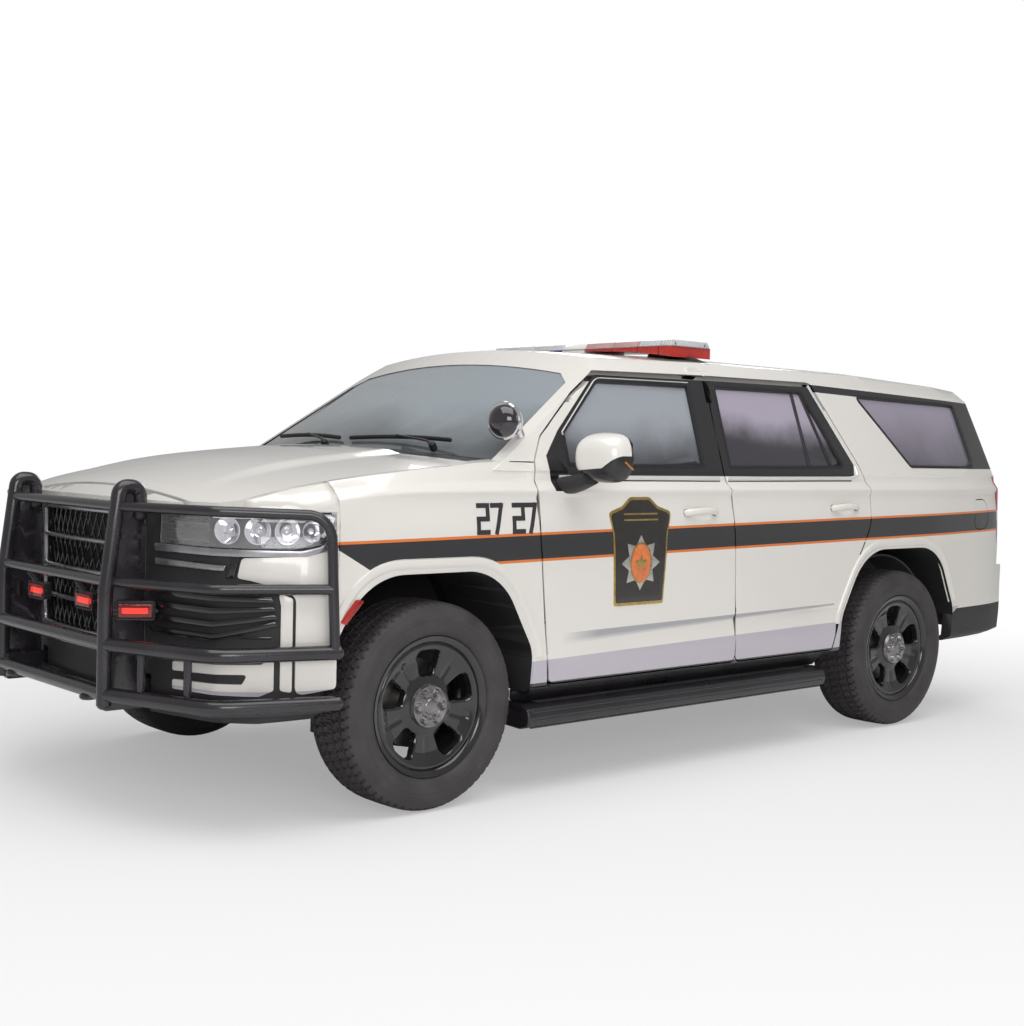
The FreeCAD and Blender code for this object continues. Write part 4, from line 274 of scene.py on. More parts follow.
def straight(table, column, x):
    rows = sorted(table)
    return float(np.interp(x, [row[0] for row in rows], [row[column] for row in rows]))


def side_points(x, smooth):
    """The body side's section at x as (z, y) points, from the sill up to the roof or bonnet edge."""
    if x > nose_start_x:
        row = [curve(x) for curve in nose_curves] if smooth else [straight(nose_sections, c, x)
                                                                  for c in range(1, 6)]
        width, shoulder, edge_y, edge_z = row[:4]
        points = [(z, width - inset) for inset, z in side_section[:5]]
        return points + [(shoulder, width - 0.008), (shoulder + 0.037, width - 0.038), (edge_z, edge_y)]
    width = cabin_curve(x) if smooth else straight(cabin_widths, 1, x)
    points = [(z, width - inset) for inset, z in side_section]
    row = [curve(x) for curve in roof_curves] if smooth else [straight(roof_sections, c, x) for c in range(1, 7)]
    return points + [(belt_z + 0.0005, row[0]), (row[2], row[1]), (row[4], row[3])]


@functools.lru_cache(None)
def side_column(x, smooth):
    points = side_points(x, smooth)
    heights, widths = zip(*points)
    return heights, widths, eased(points[1:6], 1)


def side_y(x, z, smooth):
    """Half width of the body's outside at x, z, either as the construction model has it or smoothed."""
    heights, widths, low_curve = side_column(round(x, 4), smooth)
    if smooth and 0.43 < z < heights[4]:
        return float(low_curve(z))
    return float(np.interp(z, heights, widths))


def rounded(outline, radius, steps=5):
    """Rounds the corners of a flat outline; radius is one size or one for each corner."""
    radii = [radius] * len(outline) if isinstance(radius, (int, float)) else radius
    made = []
    for k, here in enumerate(outline):
        before, after = Vector(outline[k - 1]), Vector(outline[(k + 1) % len(outline)])
        here = Vector(here)
        if radii[k] <= 0:
            made.append(tuple(here))
            continue
        back, ahead = (before - here).normalized(), (after - here).normalized()
        half = back.angle(ahead) / 2
        reach = min(radii[k] / math.tan(half), 0.48 * (before - here).length, 0.48 * (after - here).length)
        start, end = here + back * reach, here + ahead * reach
        for j in range(steps + 1):
            t = j / steps
            made.append(tuple(start * (1 - t) ** 2 + here * 2 * t * (1 - t) + end * t * t))
    return made


def ramp_between(value, low, high):
    t = min(max((value - low) / (high - low), 0.0), 1.0)
    return t * t * (3 - 2 * t)


crease_z, crease_rise = 0.642, 0.014
finger_cups = [(-1.494, 1.116), (-2.563, 1.126)]


def side_relief(x, z):
    """What the pressing adds to the plain section: the crease low on the doors and the shoulder line."""
    if z > 1.27:
        return 0.0
    along = ramp_between(x, -2.50, -2.30) * (1.0 - ramp_between(x, -0.95, -0.62))
    below = crease_z - crease_rise * (x + 0.6) - z
    tuck = ramp_between(below, 0.0, 0.024) * (1.0 - ramp_between(below, 0.024, 0.15))
    under = 1.222 - z
    shoulder = ramp_between(under, 0.0, 0.028) * (1.0 - ramp_between(under, 0.028, 0.15))
    cups = 0.0
    for cup_x, cup_z in finger_cups:
        reach = math.hypot((x - cup_x) / 0.098, (z - cup_z) / 0.036)
        cups += 1.0 - ramp_between(reach, 0.35, 1.0)
    return -0.011 * along * tuck - 0.009 * shoulder * (1.0 - ramp_between(x, 0.1, 0.4)) - 0.014 * cups


def top_z(x, y, smooth):
    """Height of the bonnet or roof skin at x, y: an arc over the body from edge to edge."""
    nose = x > -0.42
    table, curves, first = (nose_sections, nose_curves, 2) if nose else (roof_sections, roof_curves, 3)
    if smooth:
        edge_y, edge_z, crown = (float(curve(x)) for curve in curves[first:first + 3])
    else:
        edge_y, edge_z, crown = (straight(table, first + 1 + k, x) for k in range(3))
    rise = crown - edge_z
    radius = (edge_y ** 2 + rise ** 2) / (2 * rise)
    height = crown - radius + math.sqrt(max(radius ** 2 - y ** 2, 0.0))
    return height + (top_relief(x, abs(y)) if smooth else 0.0)


def top_relief(x, y):
    """The bonnet's raised middle between its two creases."""
    if x < -0.42:
        return 0.0
    crease = 0.52 + 0.10 * x
    return 0.014 * (1 - ramp_between(y, crease - 0.06, crease + 0.05)) * ramp_between(0.95 - x, 0.10, 0.6)


def on_side(point, slack=0.004):
    x, y, z = point.x - front_axle_x, abs(point.y), point.z
    if x <= nose_start_x and z > belt_z + 0.45:
        return False
    return abs(side_y(x, z, False) - y) < slack


def on_top(point):
    x, y, z = point.x - front_axle_x, point.y, point.z
    return z > 1.05 and abs(top_z(x, y, False) - z) < 0.010


def side_normal(x, z, side):
    """Outward direction of the finished side skin."""
    step = 0.004
    smooth = z < 1.31 or x < -1.05

    def out(a, b):
        return side_y(a, b, smooth) + side_relief(a, b)

    lean_x = (out(x + step, z) - out(x - step, z)) / (2 * step)
    lean_z = (out(x, z + step) - out(x, z - step)) / (2 * step)
    return Vector((-lean_x, side, -lean_z)).normalized()


def top_normal(x, y):
    step = 0.004
    lean_x = (top_z(x + step, y, True) - top_z(x - step, y, True)) / (2 * step)
    lean_y = (top_z(x, y + step, True) - top_z(x, y - step, True)) / (2 * step)
    return Vector((-lean_x, -lean_y, 1)).normalized()


def press(vert):
    """Moves a point of a construction panel by what smoothing and relief do to the outer skin there."""
    x, y, z = vert.co.x - front_axle_x, abs(vert.co.y), vert.co.z
    side = 1.0 if vert.co.y > 0 else -1.0
    plain = side_y(x, z, False)
    held = 1.0 - ramp_between(plain - y, 0.07, 0.14)
    skin = 1.0 - ramp_between(plain - y, 0.02, 0.05)
    held *= 1.0 - ramp_between(z, 1.262, 1.30)
    push = held * (side_y(x, z, True) - plain) + skin * side_relief(x, z)
    lift = 0.0
    if z > 1.0 and x > -0.42:
        flat = top_z(x, y, False)
        lift = (1.0 - ramp_between(flat - z, 0.07, 0.14)) * (top_z(x, y, True) - flat)
    vert.co.y += side * push
    vert.co.z += lift


def cut_at(work, place, normal, dist=0.00005):
    """Cuts a whole mesh along a plane and keeps both halves."""
    geom = work.faces[:] + work.edges[:] + work.verts[:]
    bmesh.ops.bisect_plane(work, geom=geom, plane_co=place, plane_no=normal, dist=dist)


def shaped(mesh, name, step=0.03, top=False, parting=()):
    """A finer copy of a panel, gridded over its outer skin and pressed to the smooth body surface.

    parting holds planes (point, direction) that cut the whole panel, so that each face has one colour.
    """
    work = bmesh.new()
    work.from_mesh(mesh)
    bmesh.ops.remove_doubles(work, verts=work.verts, dist=0.00004)
    bmesh.ops.dissolve_limit(work, angle_limit=0.0005, verts=work.verts, edges=work.edges)
    bmesh.ops.triangulate(work, faces=[f for f in work.faces if len(f.verts) > 4])
    skin = work.faces.layers.int.new("skin")
    for face in work.faces:
        middle = face.calc_center_median()
        x, z, side = middle.x - front_axle_x, middle.z, 1.0 if middle.y > 0 else -1.0
        if top and face.normal.z > 0.5 and all(on_top(v.co) for v in face.verts):
            face[skin] = 2 if face.normal.dot(top_normal(x, middle.y)) > 0.93 else 0
        elif all(on_side(v.co) for v in face.verts) and on_side(middle, 0.006):
            face[skin] = 1 if face.normal.dot(side_normal(x, z, side)) > 0.90 else 0
    low = [min(v.co[i] for v in work.verts) for i in range(3)]
    high = [max(v.co[i] for v in work.verts) for i in range(3)]
    cuts = [(Vector((x, 0, 0)), Vector((1, 0, 0))) for x in np.arange(low[0] + step / 2, high[0], step)]
    cuts += [(Vector((0, 0, z)), Vector((0, 0, 1))) for z in np.arange(low[2] + step / 2, high[2], step)]
    cuts += [(Vector((0, 0, 1.222 - drop)), Vector((0, 0, 1))) for drop in (0.0, 0.007, 0.014, 0.021, 0.028)]
    cuts += [(at(-0.6, 0, crease_z - drop), Vector((crease_rise, 0, 1)))
             for drop in (0.0, 0.006, 0.012, 0.018, 0.024, 0.030, 0.06, 0.10)]
    for cup_x, cup_z in finger_cups:
        if low[0] < cup_x + front_axle_x < high[0]:
            cuts += [(at(cup_x + k * 0.0125, 0, 0), Vector((1, 0, 0))) for k in range(-8, 9)]
            cuts += [(Vector((0, 0, cup_z + k * 0.006)), Vector((0, 0, 1))) for k in range(-6, 7)]
    if top:
        cuts += [(Vector((0, y, 0)), Vector((0, 1, 0))) for y in np.arange(low[1] + step / 2, high[1], step)]
    for place, normal in cuts:
        faces = [f for f in work.faces if f[skin]]
        geom = set(faces)
        for face in faces:
            geom.update(face.edges)
            geom.update(face.verts)
        bmesh.ops.bisect_plane(work, geom=list(geom), plane_co=place, plane_no=normal, dist=0.00002)
    for place, normal in parting:
        cut_at(work, place, normal, 0.00002)
    for vert in work.verts:
        press(vert)
    made = bpy.data.meshes.new(name)
    work.to_mesh(made)
    work.free()
    return made


def finished(work, name):
    made = bpy.data.meshes.new(name)
    bmesh.ops.recalc_face_normals(work, faces=work.faces)
    work.to_mesh(made)
    work.free()
    return made


def show(shape, name, part, slot, *materials, crisp=28.0, stands_for=None):
    """Puts a mesh in the scene with its materials, on the body that holds a construction part; slot is not used.
    """
    mesh = finished(shape, name) if isinstance(shape, bmesh.types.BMesh) else shape
    for material in materials:
        mesh.materials.append(material)
    for polygon in mesh.polygons:
        polygon.use_smooth = True
    mesh.set_sharp_from_angle(angle=math.radians(crisp))
    skin = mesh.attributes.get("skin")
    if skin:
        normals = [Vector(corner.vector) for corner in mesh.corner_normals]
        known = {}
        for polygon in mesh.polygons:
            kind = skin.data[polygon.index].value
            if not kind:
                continue
            for loop in polygon.loop_indices:
                index = mesh.loops[loop].vertex_index
                if (index, kind) not in known:
                    co = mesh.vertices[index].co
                    x = co.x - front_axle_x
                    side = 1.0 if co.y > 0 else -1.0
                    known[index, kind] = side_normal(x, co.z, side) if kind == 1 else top_normal(x, co.y)
                normals[loop] = known[index, kind]
        mesh.normals_split_custom_set(normals)
    piece = bpy.data.objects.new(name, mesh)
    bpy.context.scene.collection.objects.link(piece)
    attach(piece, body_holding.get(part, part))
    if stands_for:
        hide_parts(stands_for)
    return piece


def over(tree, share, below, above):
    """Lays one colour over another by a share from 0 to 1."""
    mix = tree.nodes.new("ShaderNodeMix")
    mix.data_type = "RGBA"
    tree.links.new(share, mix.inputs[0])
    for socket, value in ((mix.inputs[6], below), (mix.inputs[7], above)):
        if isinstance(value, tuple):
            socket.default_value = (*value, 1)
        else:
            tree.links.new(value, socket)
    return mix.outputs[2]


paint_white = (0.82, 0.79, 0.745)
paint_black = (0.022, 0.021, 0.024)
line_orange = (0.78, 0.20, 0.035)
# Painted shade under the door crease, in place of the tucked skin's own shade:
crease_shade_grey = (0.30, 0.30, 0.35)
# Painted reflection of the floor, low on the flank above the sill:
painted_reflection_lilac = (0.44, 0.40, 0.49)
sill_black = (0.028, 0.027, 0.029)
band_height, band_line, band_rise, band_middle_z = 0.117, 0.011, -0.0145, 0.99079
sill_top = 0.446


def car_paint(name, banded=True):
    """White paint under clear lacquer; banded panels carry the black band, its orange lines and the sill, with
    painted shade under the door crease and a painted floor reflection low on the flank.
    """
    made = finish(name, paint_white, 0.24, coat=1.0, mottle=0.02, mottle_size=0.9, grain=0.02, grain_size=0.004,
                  rough_spread=0.04)
    if not banded:
        return made
    tree = made.node_tree
    less, more, size_of, times, minus, line, least, most = (functools.partial(calc, tree, kind) for kind in (
        "LESS_THAN", "GREATER_THAN", "ABSOLUTE", "MULTIPLY", "SUBTRACT", "MULTIPLY_ADD", "MINIMUM", "MAXIMUM"))
    place = put(tree, "SeparateXYZ", Vector=put(tree, "TexCoord").outputs["Object"]).outputs
    z = place["Z"]
    x = minus(place["X"], front_axle_x)
    y = size_of(place["Y"])
    rise = minus(z, line(x, band_rise, band_middle_z))
    away = size_of(rise)
    behind_front = less(x, line(rise, 1.7, 0.40))
    near_arch = less(size_of(x), 0.26)
    under_lip = times(near_arch, less(z, 0.955))
    on_flank = times(more(y, 0.74), behind_front)
    flank = times(on_flank, minus(1.0, under_lip))
    lines = times(less(away, band_height / 2), flank)
    dark = times(less(away, band_height / 2 - band_line), flank)
    # Painted reflection: a lilac band low on the flank, up to a line that rises towards the front, stands in for
    # the floor mirrored in the paint.
    reflection_top_edge = line(x, -0.018, 0.528)
    painted_reflection_band = times(less(z, reflection_top_edge), 0.75)
    # Painted shade: a grey band under the door crease, darkest at the crease and fading downwards and towards the
    # rear.
    crease = line(x, -crease_rise, crease_z - 0.6 * crease_rise)
    below_crease = minus(crease, z)
    reach = times(more(x, -2.50), less(x, -0.62))
    tuck = times(more(below_crease, 0.002), reach)
    depth = line(x, 0.022, 0.068)
    spent = calc(tree, "DIVIDE", times(below_crease, 2.2), depth)
    shade = most(minus(2.2, spent), 0.0)
    fade_in = least(most(line(x, -3.5, -2.3), 0.0), 0.75)
    painted_crease_shade = times(times(tuck, least(shade, 1.0)), fade_in)
    colour = tree.nodes["tone"].outputs["Color"]
    for share, above in ((painted_crease_shade, crease_shade_grey), (painted_reflection_band, painted_reflection_lilac), (lines, line_orange), (dark, paint_black),
                         (less(z, sill_top), sill_black)):
        colour = over(tree, share, colour, above)
    tree.links.new(colour, tree.nodes["skin"].inputs["Base Color"])
    return made


body_paint = car_paint("body_paint")
plain_paint = car_paint("plain_paint", banded=False)
gloss_black = finish("gloss_black", (0.012, 0.012, 0.014), 0.12, coat=0.6, mottle=0.2, grain=0.03,
                     grain_size=0.003, rough_spread=0.04)
grained_black = finish("grained_black", (0.028, 0.027, 0.028), 0.55, mottle=0.15, grain=0.45, grain_size=0.0015)


def zoned(mesh, zone):
    """Gives each face of a mesh the material number that zone says for its middle and direction."""
    for polygon in mesh.polygons:
        middle = polygon.center
        outward = Vector(polygon.normal)
        outward.y *= math.copysign(1.0, middle.y)
        polygon.material_index = zone(middle.x - front_axle_x, abs(middle.y), middle.z, outward)


def level(z):
    return Vector((0, 0, z)), Vector((0, 0, 1))


def upright(x):
    return at(x, 0, 0), Vector((1, 0, 0))


def raked(x0, z0, x1, z1):
    """A parting plane seen from the side as a line through two points."""
    return at(x0, 0, z0), Vector((z0 - z1, 0, x1 - x0))


def strip_low(x):
    """Lower edge of the black strip under the roof rail, behind the rear door."""
    return 1.704 + 0.026 * (x + 2.48)


def side_zone(x, y, z, n):
    """0 paint, 1 gloss black, 2 arch liner, 3 inner trim."""
    by_wheel = z < 0.98 and abs(x - rear_axle_x) < 0.60
    if n.y < -0.5:
        return 2 if by_wheel else 3
    if y < 0.70:
        return 2 if by_wheel else 0
    if by_wheel and (y < 0.93 or n.z < -0.3 or abs(n.x) > 0.5):
        return 2
    if -1.76 < x < -1.60 and 1.29 < z < 1.742:
        return 1
    if x < -2.44 and strip_low(x) < z < strip_low(x) + 0.036:
        return 1
    return 1 if x < -3.79 and 1.334 < z < strip_low(x) + 0.001 else 0


arch_liner = finish("arch_liner", (0.012, 0.012, 0.013), 0.9, mottle=0.2, grain=0.6, grain_size=0.004)
side_parting = [level(1.29), level(1.334), level(1.742), upright(-1.76), upright(-1.60), upright(-2.44),
                upright(-3.79), raked(-2.48, 1.704, -4.20, 1.704 - 0.026 * 1.72),
                raked(-2.48, 1.740, -4.20, 1.740 - 0.026 * 1.72)]
for side in ("left", "right"):
    pressing = shaped(frame["nodes"]["side_" + side].data, "side_" + side, step=0.028, parting=side_parting)
    zoned(pressing, side_zone)
    show(pressing, "body_side_" + side, "side_" + side, "body_paint", body_paint, gloss_black, arch_liner,
         grained_black, crisp=16, stands_for="side_" + side)


# ---------------------------------------------------------------- front fenders
# Pressed steel wings bolted along the bonnet shut, with a rolled flare at the wheel opening and a black
# felt-lined liner inside it.
def liner_zone(x, y, z, n):
    inside = y < 0.945 or (y < 0.990 and (n.z < -0.3 or abs(n.x) > 0.5))
    return 1 if n.y < -0.5 or inside and z < 0.98 and abs(x) < 0.55 else 0


wings = shaped(frame["nodes"]["fenders"].data, "fenders", step=0.022)
zoned(wings, liner_zone)
show(wings, "front_wings", "fenders", "body_paint", body_paint, arch_liner, stands_for="fenders")


# ---------------------------------------------------------------- roof, bonnet and tailgate
# One-piece pressings: the roof with two shallow lengthwise ribs, the bonnet with a raised centre and two
# creases running back from the lamps, and the flat-backed tailgate with a black window frame.
roof_mesh = shaped(frame["nodes"]["roof"].data, "roof", step=0.035, top=True)
show(roof_mesh, "roof_panel", "roof", "body_paint", plain_paint, crisp=12, stands_for="roof")

bonnet_mesh = shaped(frame["nodes"]["hood"].data, "hood", step=0.025, top=True)
show(bonnet_mesh, "bonnet", "hood", "body_paint", plain_paint, crisp=12, stands_for="hood")

gate_mesh = shaped(frame["nodes"]["tailgate"].data, "tailgate", parting=[level(1.315)])
zoned(gate_mesh, lambda x, y, z, n: 2 if n.x > 0.5 else 1 if z > 1.315 and n.x < -0.3 else 0)
show(gate_mesh, "tailgate_panel", "tailgate", "body_paint", plain_paint, gloss_black, grained_black, crisp=12,
     stands_for="tailgate")

keep("cowl", grained_black)


# ---------------------------------------------------------------- doors and fuel lid
# Double-skinned steel doors on two hinges each: painted outside, with black film round the windows and
# over the posts, and grained trim inside.  The fuel flap is a small painted pressing on a hinge of its own.
front_film = [(-0.688, 1.222), (-0.610, 1.222), (-0.600, 1.365), (-0.690, 1.468), (-0.962, 1.712), (-0.98, 1.80),
              (-1.80, 1.80), (-1.80, 1.286), (-0.745, 1.286)]
rear_film = [(-1.60, 1.286), (-1.60, 1.80), (-2.415, 1.80), (-2.455, 1.735), (-2.700, 1.350), (-2.680, 1.286)]


def film_partings(outline):
    return [raked(*first, *second) for first, second in zip(outline, outline[1:] + outline[:1])]


def within(outline, x, z):
    """Whether a flat point lies inside an outline."""
    found = False
    for (ax, az), (bx, bz) in zip(outline, outline[1:] + outline[:1]):
        if (az > z) != (bz > z) and x < (bx - ax) * (z - az) / (bz - az) + ax:
            found = not found
    return found


def film_zone(outline):
    return lambda x, y, z, n: 1 if y > 0.72 and within(outline, x, z) else 2 if n.y < -0.5 else 0


for side in ("left", "right"):
    for end, film in (("front", front_film), ("rear", rear_film)):
        part = f"door_{end}_{side}"
        leaf = shaped(frame["nodes"][part].data, part, step=0.028, parting=film_partings(film))
        zoned(leaf, film_zone(film))
        show(leaf, f"{end}_door_{side}", part, "body_paint", body_paint, gloss_black, grained_black,
             stands_for=part)

lid = shaped(frame["nodes"]["fuel_lid"].data, "fuel_lid")
show(lid, "fuel_flap", "fuel_lid", "body_paint", body_paint, stands_for="fuel_lid")


# ---------------------------------------------------------------- rear bumper cover
# Moulded plastic cover with a step, clipped over the steel beam: painted above, bare grained black
# below.
rear_cover = shaped(frame["nodes"]["rear_bumper"].data, "rear_bumper", parting=[level(0.58)])
zoned(rear_cover, lambda x, y, z, n: 1 if z < 0.58 else 0)
show(rear_cover, "rear_cover", "rear_bumper", "body_paint", plain_paint, grained_black,
     stands_for="rear_bumper")


# ---------------------------------------------------------------- push bumper
# Welded steel tube guard under gloss black powder coat: two plated uprights that hook over at the top,
# cross tubes, thick wraps with domed ends, and thinner wing loops that guard the lamps.
def bent(points, radii, steps=7):
    """The middle line of a tube: straight runs joined by round bends, each corner with its own radius."""
    line = [Vector(points[0])]
    for index in range(1, len(points) - 1):
        before, here, after = (Vector(points[index + k]) for k in (-1, 0, 1))
        back, ahead = (before - here).normalized(), (after - here).normalized()
        half = back.angle(ahead) / 2
        reach = min(radii[index - 1] / math.tan(half), 0.47 * (before - here).length,
                    0.47 * (after - here).length)
        radius = reach * math.tan(half)
        centre = here + (back + ahead).normalized() * (radius / math.sin(half))
        start, end = here + back * reach - centre, here + ahead * reach - centre
        sweep = start.angle(end)
        for k in range(steps + 1):
            share = k / steps
            spoke = (start * math.sin((1 - share) * sweep) + end * math.sin(share * sweep)) / math.sin(sweep)
            line.append(centre + spoke)
    line.append(Vector(points[-1]))
    return line


def join_rings(work, rings, flip=False):
    """Fills the bands between neighbouring rings of points."""
    for first, second in zip(rings, rings[1:]):
        for k, here in enumerate(first):
            after = (k + 1) % len(first)
            corners = (here, first[after], second[after], second[k])
            work.faces.new((here, second[k], second[after], first[after]) if flip else corners)


def sweep_tube(work, line, radius, sides=20, domed=(True, True), squash=(1.0, 1.0)):
    """Runs a round section along a line into an open mesh, closing each end with a shallow dome."""
    rings = []
    direction = (line[1] - line[0]).normalized()
    across = direction.orthogonal().normalized()
    if abs(direction.z) < 0.9:
        across = direction.cross(Vector((0, 0, 1))).normalized()
    stations = []
    for index, point in enumerate(line):
        nearby = [line[max(index - 1, 0)], line[min(index + 1, len(line) - 1)]]
        direction = (nearby[1] - nearby[0]).normalized()
        across = (across - direction * across.dot(direction)).normalized()
        stations.append((point, direction, across.copy(), 1.0))
    dome = [(0.35, 0.94), (0.62, 0.80), (0.82, 0.58)]
    if domed[0]:
        point, direction, side, _ = stations[0]
        stations = [(point - direction * radius * (d - 0.35), direction, side, s)
                    for d, s in reversed(dome)] + stations
    if domed[1]:
        point, direction, side, _ = stations[-1]
        stations += [(point + direction * radius * (d - 0.35), direction, side, s) for d, s in dome]
    for point, direction, side, scale in stations:
        up = direction.cross(side)
        ring = []
        for k in range(sides):
            angle = 2 * math.pi * k / sides
            offset = side * math.cos(angle) * squash[0] + up * math.sin(angle) * squash[1]
            ring.append(work.verts.new(point + offset * radius * scale))
        rings.append(ring)
    join_rings(work, rings)
    work.faces.new(list(reversed(rings[0])))
    work.faces.new(rings[-1])


flat_tube = functools.partial(sweep_tube, domed=(False, False))


def facing_x(start, side=1):
    """Places a plate drawn in (y, z) with its thickness along x."""
    return lambda a, b, d: at(start + d, side * a, b)


def facing_y(start, side=1):
    """Places a plate drawn in (x, z) with its thickness along y."""
    return lambda a, b, d: at(a, side * (start + d), b)


def oblong(a0, b0, a1, b1, radius):
    """A rectangle with rounded corners, between its low and its high corner."""
    return rounded([(a0, b0), (a1, b0), (a1, b1), (a0, b1)], radius)


def slab(work, outline, place, thickness, bevel=0.0, segments=2):
    """A flat plate with eased edges from corner points (a, b); place turns (a, b, depth) into a point."""
    bottom = [work.verts.new(place(a, b, 0.0)) for a, b in outline]
    top = [work.verts.new(place(a, b, thickness)) for a, b in outline]
    faces = [work.faces.new(bottom), work.faces.new(list(reversed(top)))]
    count = len(outline)
    for k in range(count):
        faces.append(work.faces.new((bottom[k], top[k], top[(k + 1) % count], bottom[(k + 1) % count])))
    bmesh.ops.recalc_face_normals(work, faces=faces)
    if bevel:
        edges = {edge for face in faces for edge in face.edges}
        sharp = [edge for edge in edges if len(edge.link_faces) == 2 and edge.calc_face_angle(0) > 0.5]
        bmesh.ops.bevel(work, geom=sharp, offset=bevel, segments=segments, affect="EDGES", profile=0.6)


def bolt(work, place, turn, foot, head, depth, sides=6):
    """A bolt head: a short cone that turn points along its axis."""
    bmesh.ops.create_cone(work, cap_ends=True, segments=sides, radius1=foot, radius2=head, depth=depth,
                          matrix=Matrix.Translation(place) @ turn)


guard_black = finish("guard_black", (0.020, 0.017, 0.021), 0.26, coat=0.5, mottle=0.3, mottle_size=0.12,
                     grain=0.08, grain_size=0.003, rough_spread=0.08)
guard_face_x, guard_y, guard_tube, wing_tube = 1.075, 0.450, 0.027, 0.019
wrap_heights = (0.475, 0.655)
wing_top_z, wing_middle_z = 1.150, 0.880
guard_end_x, guard_end_y = 0.480, 1.058
plate_rear_x, knee_z, shoulder_x, hook_x, hook_z = 0.925, 0.840, 1.024, 0.946, 1.222
work = bmesh.new()
for s in (1, -1):
    post_line = [at(guard_face_x + 0.002, s * guard_y, 0.435), at(guard_face_x, s * guard_y, knee_z),
                 at(shoulder_x, s * guard_y, hook_z), at(hook_x, s * guard_y, hook_z - 0.003),
                 at(hook_x, s * guard_y, 1.110)]
    sweep_tube(work, bent(post_line, (0.25, 0.034, 0.034)), guard_tube)
    plate = [(guard_face_x, 0.445), (guard_face_x, knee_z), (shoulder_x, 1.202), (hook_x, 1.202), (hook_x, 1.130),
             (plate_rear_x, 1.090), (plate_rear_x, 0.445)]
    slab(work, rounded(plate, (0, 0, 0.02, 0.02, 0, 0.02, 0.03)), facing_y(guard_y - 0.004, s), 0.008, 0.0025)
    slab(work, [(plate_rear_x - 0.004, 0.47), (plate_rear_x + 0.004, 0.47), (plate_rear_x + 0.004, 1.08),
                (plate_rear_x - 0.004, 1.08)], facing_y(guard_y - 0.016, s), 0.032, 0.002)
    for z in wrap_heights:
        wrap = [at(guard_face_x, s * (guard_y - 0.005), z), at(guard_face_x - 0.175, s * (guard_y + 0.470), z),
                at(guard_end_x, s * guard_end_y, z)]
        sweep_tube(work, bent(wrap, (0.160,), 10), guard_tube, domed=(False, True))
    hoop = [at(guard_face_x - 0.045, s * guard_y, wing_top_z), at(guard_face_x - 0.200, s * (guard_y + 0.410),
                                                                  wing_top_z),
            at(guard_end_x + 0.040, s * (guard_end_y - 0.006), wing_top_z - 0.010),
            at(guard_end_x + 0.020, s * guard_end_y, wrap_heights[1])]
    flat_tube(work, bent(hoop, (0.09, 0.09), 10), wing_tube)
    middle = [at(guard_face_x - 0.022, s * guard_y, wing_middle_z),
              at(guard_face_x - 0.195, s * (guard_y + 0.420), wing_middle_z),
              at(guard_end_x + 0.030, s * (guard_end_y - 0.003), wing_middle_z)]
    flat_tube(work, bent(middle, (0.12,), 8), wing_tube)
    for strut_y, strut_x in ((guard_y + 0.150, guard_face_x - 0.066), (guard_y + 0.330, guard_face_x - 0.150)):
        flat_tube(work, [at(strut_x, s * strut_y, z) for z in wrap_heights], 0.015)
    slab(work, oblong(0.82, 0.412, guard_face_x, 0.518, 0.012), facing_y(0.410, s), 0.040, 0.004)
for x, z, radius in ((guard_face_x, wrap_heights[0], guard_tube), (guard_face_x, wrap_heights[1], guard_tube),
                     (1.069, wing_middle_z, wing_tube), (1.033, wing_top_z, wing_tube)):
    flat_tube(work, [at(x, -guard_y, z), at(x, guard_y, z)], radius)
# Bolts through the plates, and a pair of tow loops under the lower cross tube.
for s in (1, -1):
    for bolt_z in (0.60, 0.74, 0.93, 1.04):
        for bolt_x in (0.952, 1.030):
            bolt_x -= 0.02 if bolt_z > 1 and bolt_x > 1 else 0
            bolt(work, at(bolt_x, s * guard_y, bolt_z), Matrix.Rotation(math.pi / 2, 4, "X"), 0.011, 0.009, 0.026)
    loop = [at(1.03, s * 0.30, 0.455), at(1.10, s * 0.30, 0.450), at(1.10, s * 0.36, 0.450),
            at(1.03, s * 0.36, 0.455)]
    sweep_tube(work, bent(loop, (0.028, 0.028)), 0.010, sides=12)
show(work, "guard_tubes", "push_bumper", "black_steel", guard_black, stands_for="push_bumper")


# ---------------------------------------------------------------- push bumper warning lamps
# Four small red warning lamps in bolted black housings, on the outer faces of the guard's uprights and
# between them; the lens is clear red plastic over a bright strip of diodes.
def lamp_glass(name, colour, rough=0.06, clear=0.75, ribs=0.0, rib_pitch=0.006):
    """Coloured moulded lamp plastic, part see-through, with fine moulded flutes."""
    made, tree = new_material(name)
    skin = put(tree, "BsdfPrincipled", Base_Color=(*colour, 1), Roughness=rough, IOR=1.49,
               Transmission_Weight=clear, Coat_Weight=0.6, Coat_Roughness=0.03)
    skin.name = "skin"
    put(tree, "OutputMaterial", Surface=skin.outputs[0])
    if ribs:
        flute = put(tree, "TexWave", Scale=1.0 / (rib_pitch * 6.28), Distortion=0.3,
                    Vector=put(tree, "TexCoord").outputs["Object"])
        flute.bands_direction = "Y"
        bumpy(tree, flute.outputs["Fac"], ribs, rib_pitch)
    return made


def glowing(name, colour, strength):
    made = finish(name, colour, 0.3, mottle=0.1, mottle_size=0.01)
    skin = made.node_tree.nodes["skin"]
    skin.inputs["Emission Color"].default_value = (*colour, 1)
    skin.inputs["Emission Strength"].default_value = strength
    return made


red_lens = lamp_glass("red_lens", (0.75, 0.03, 0.02), ribs=0.3)
red_glow = glowing("red_glow", (1.0, 0.16, 0.10), 1.6)
lamp_case = finish("lamp_case", (0.02, 0.018, 0.02), 0.4, mottle=0.2, grain=0.3, grain_size=0.0015)
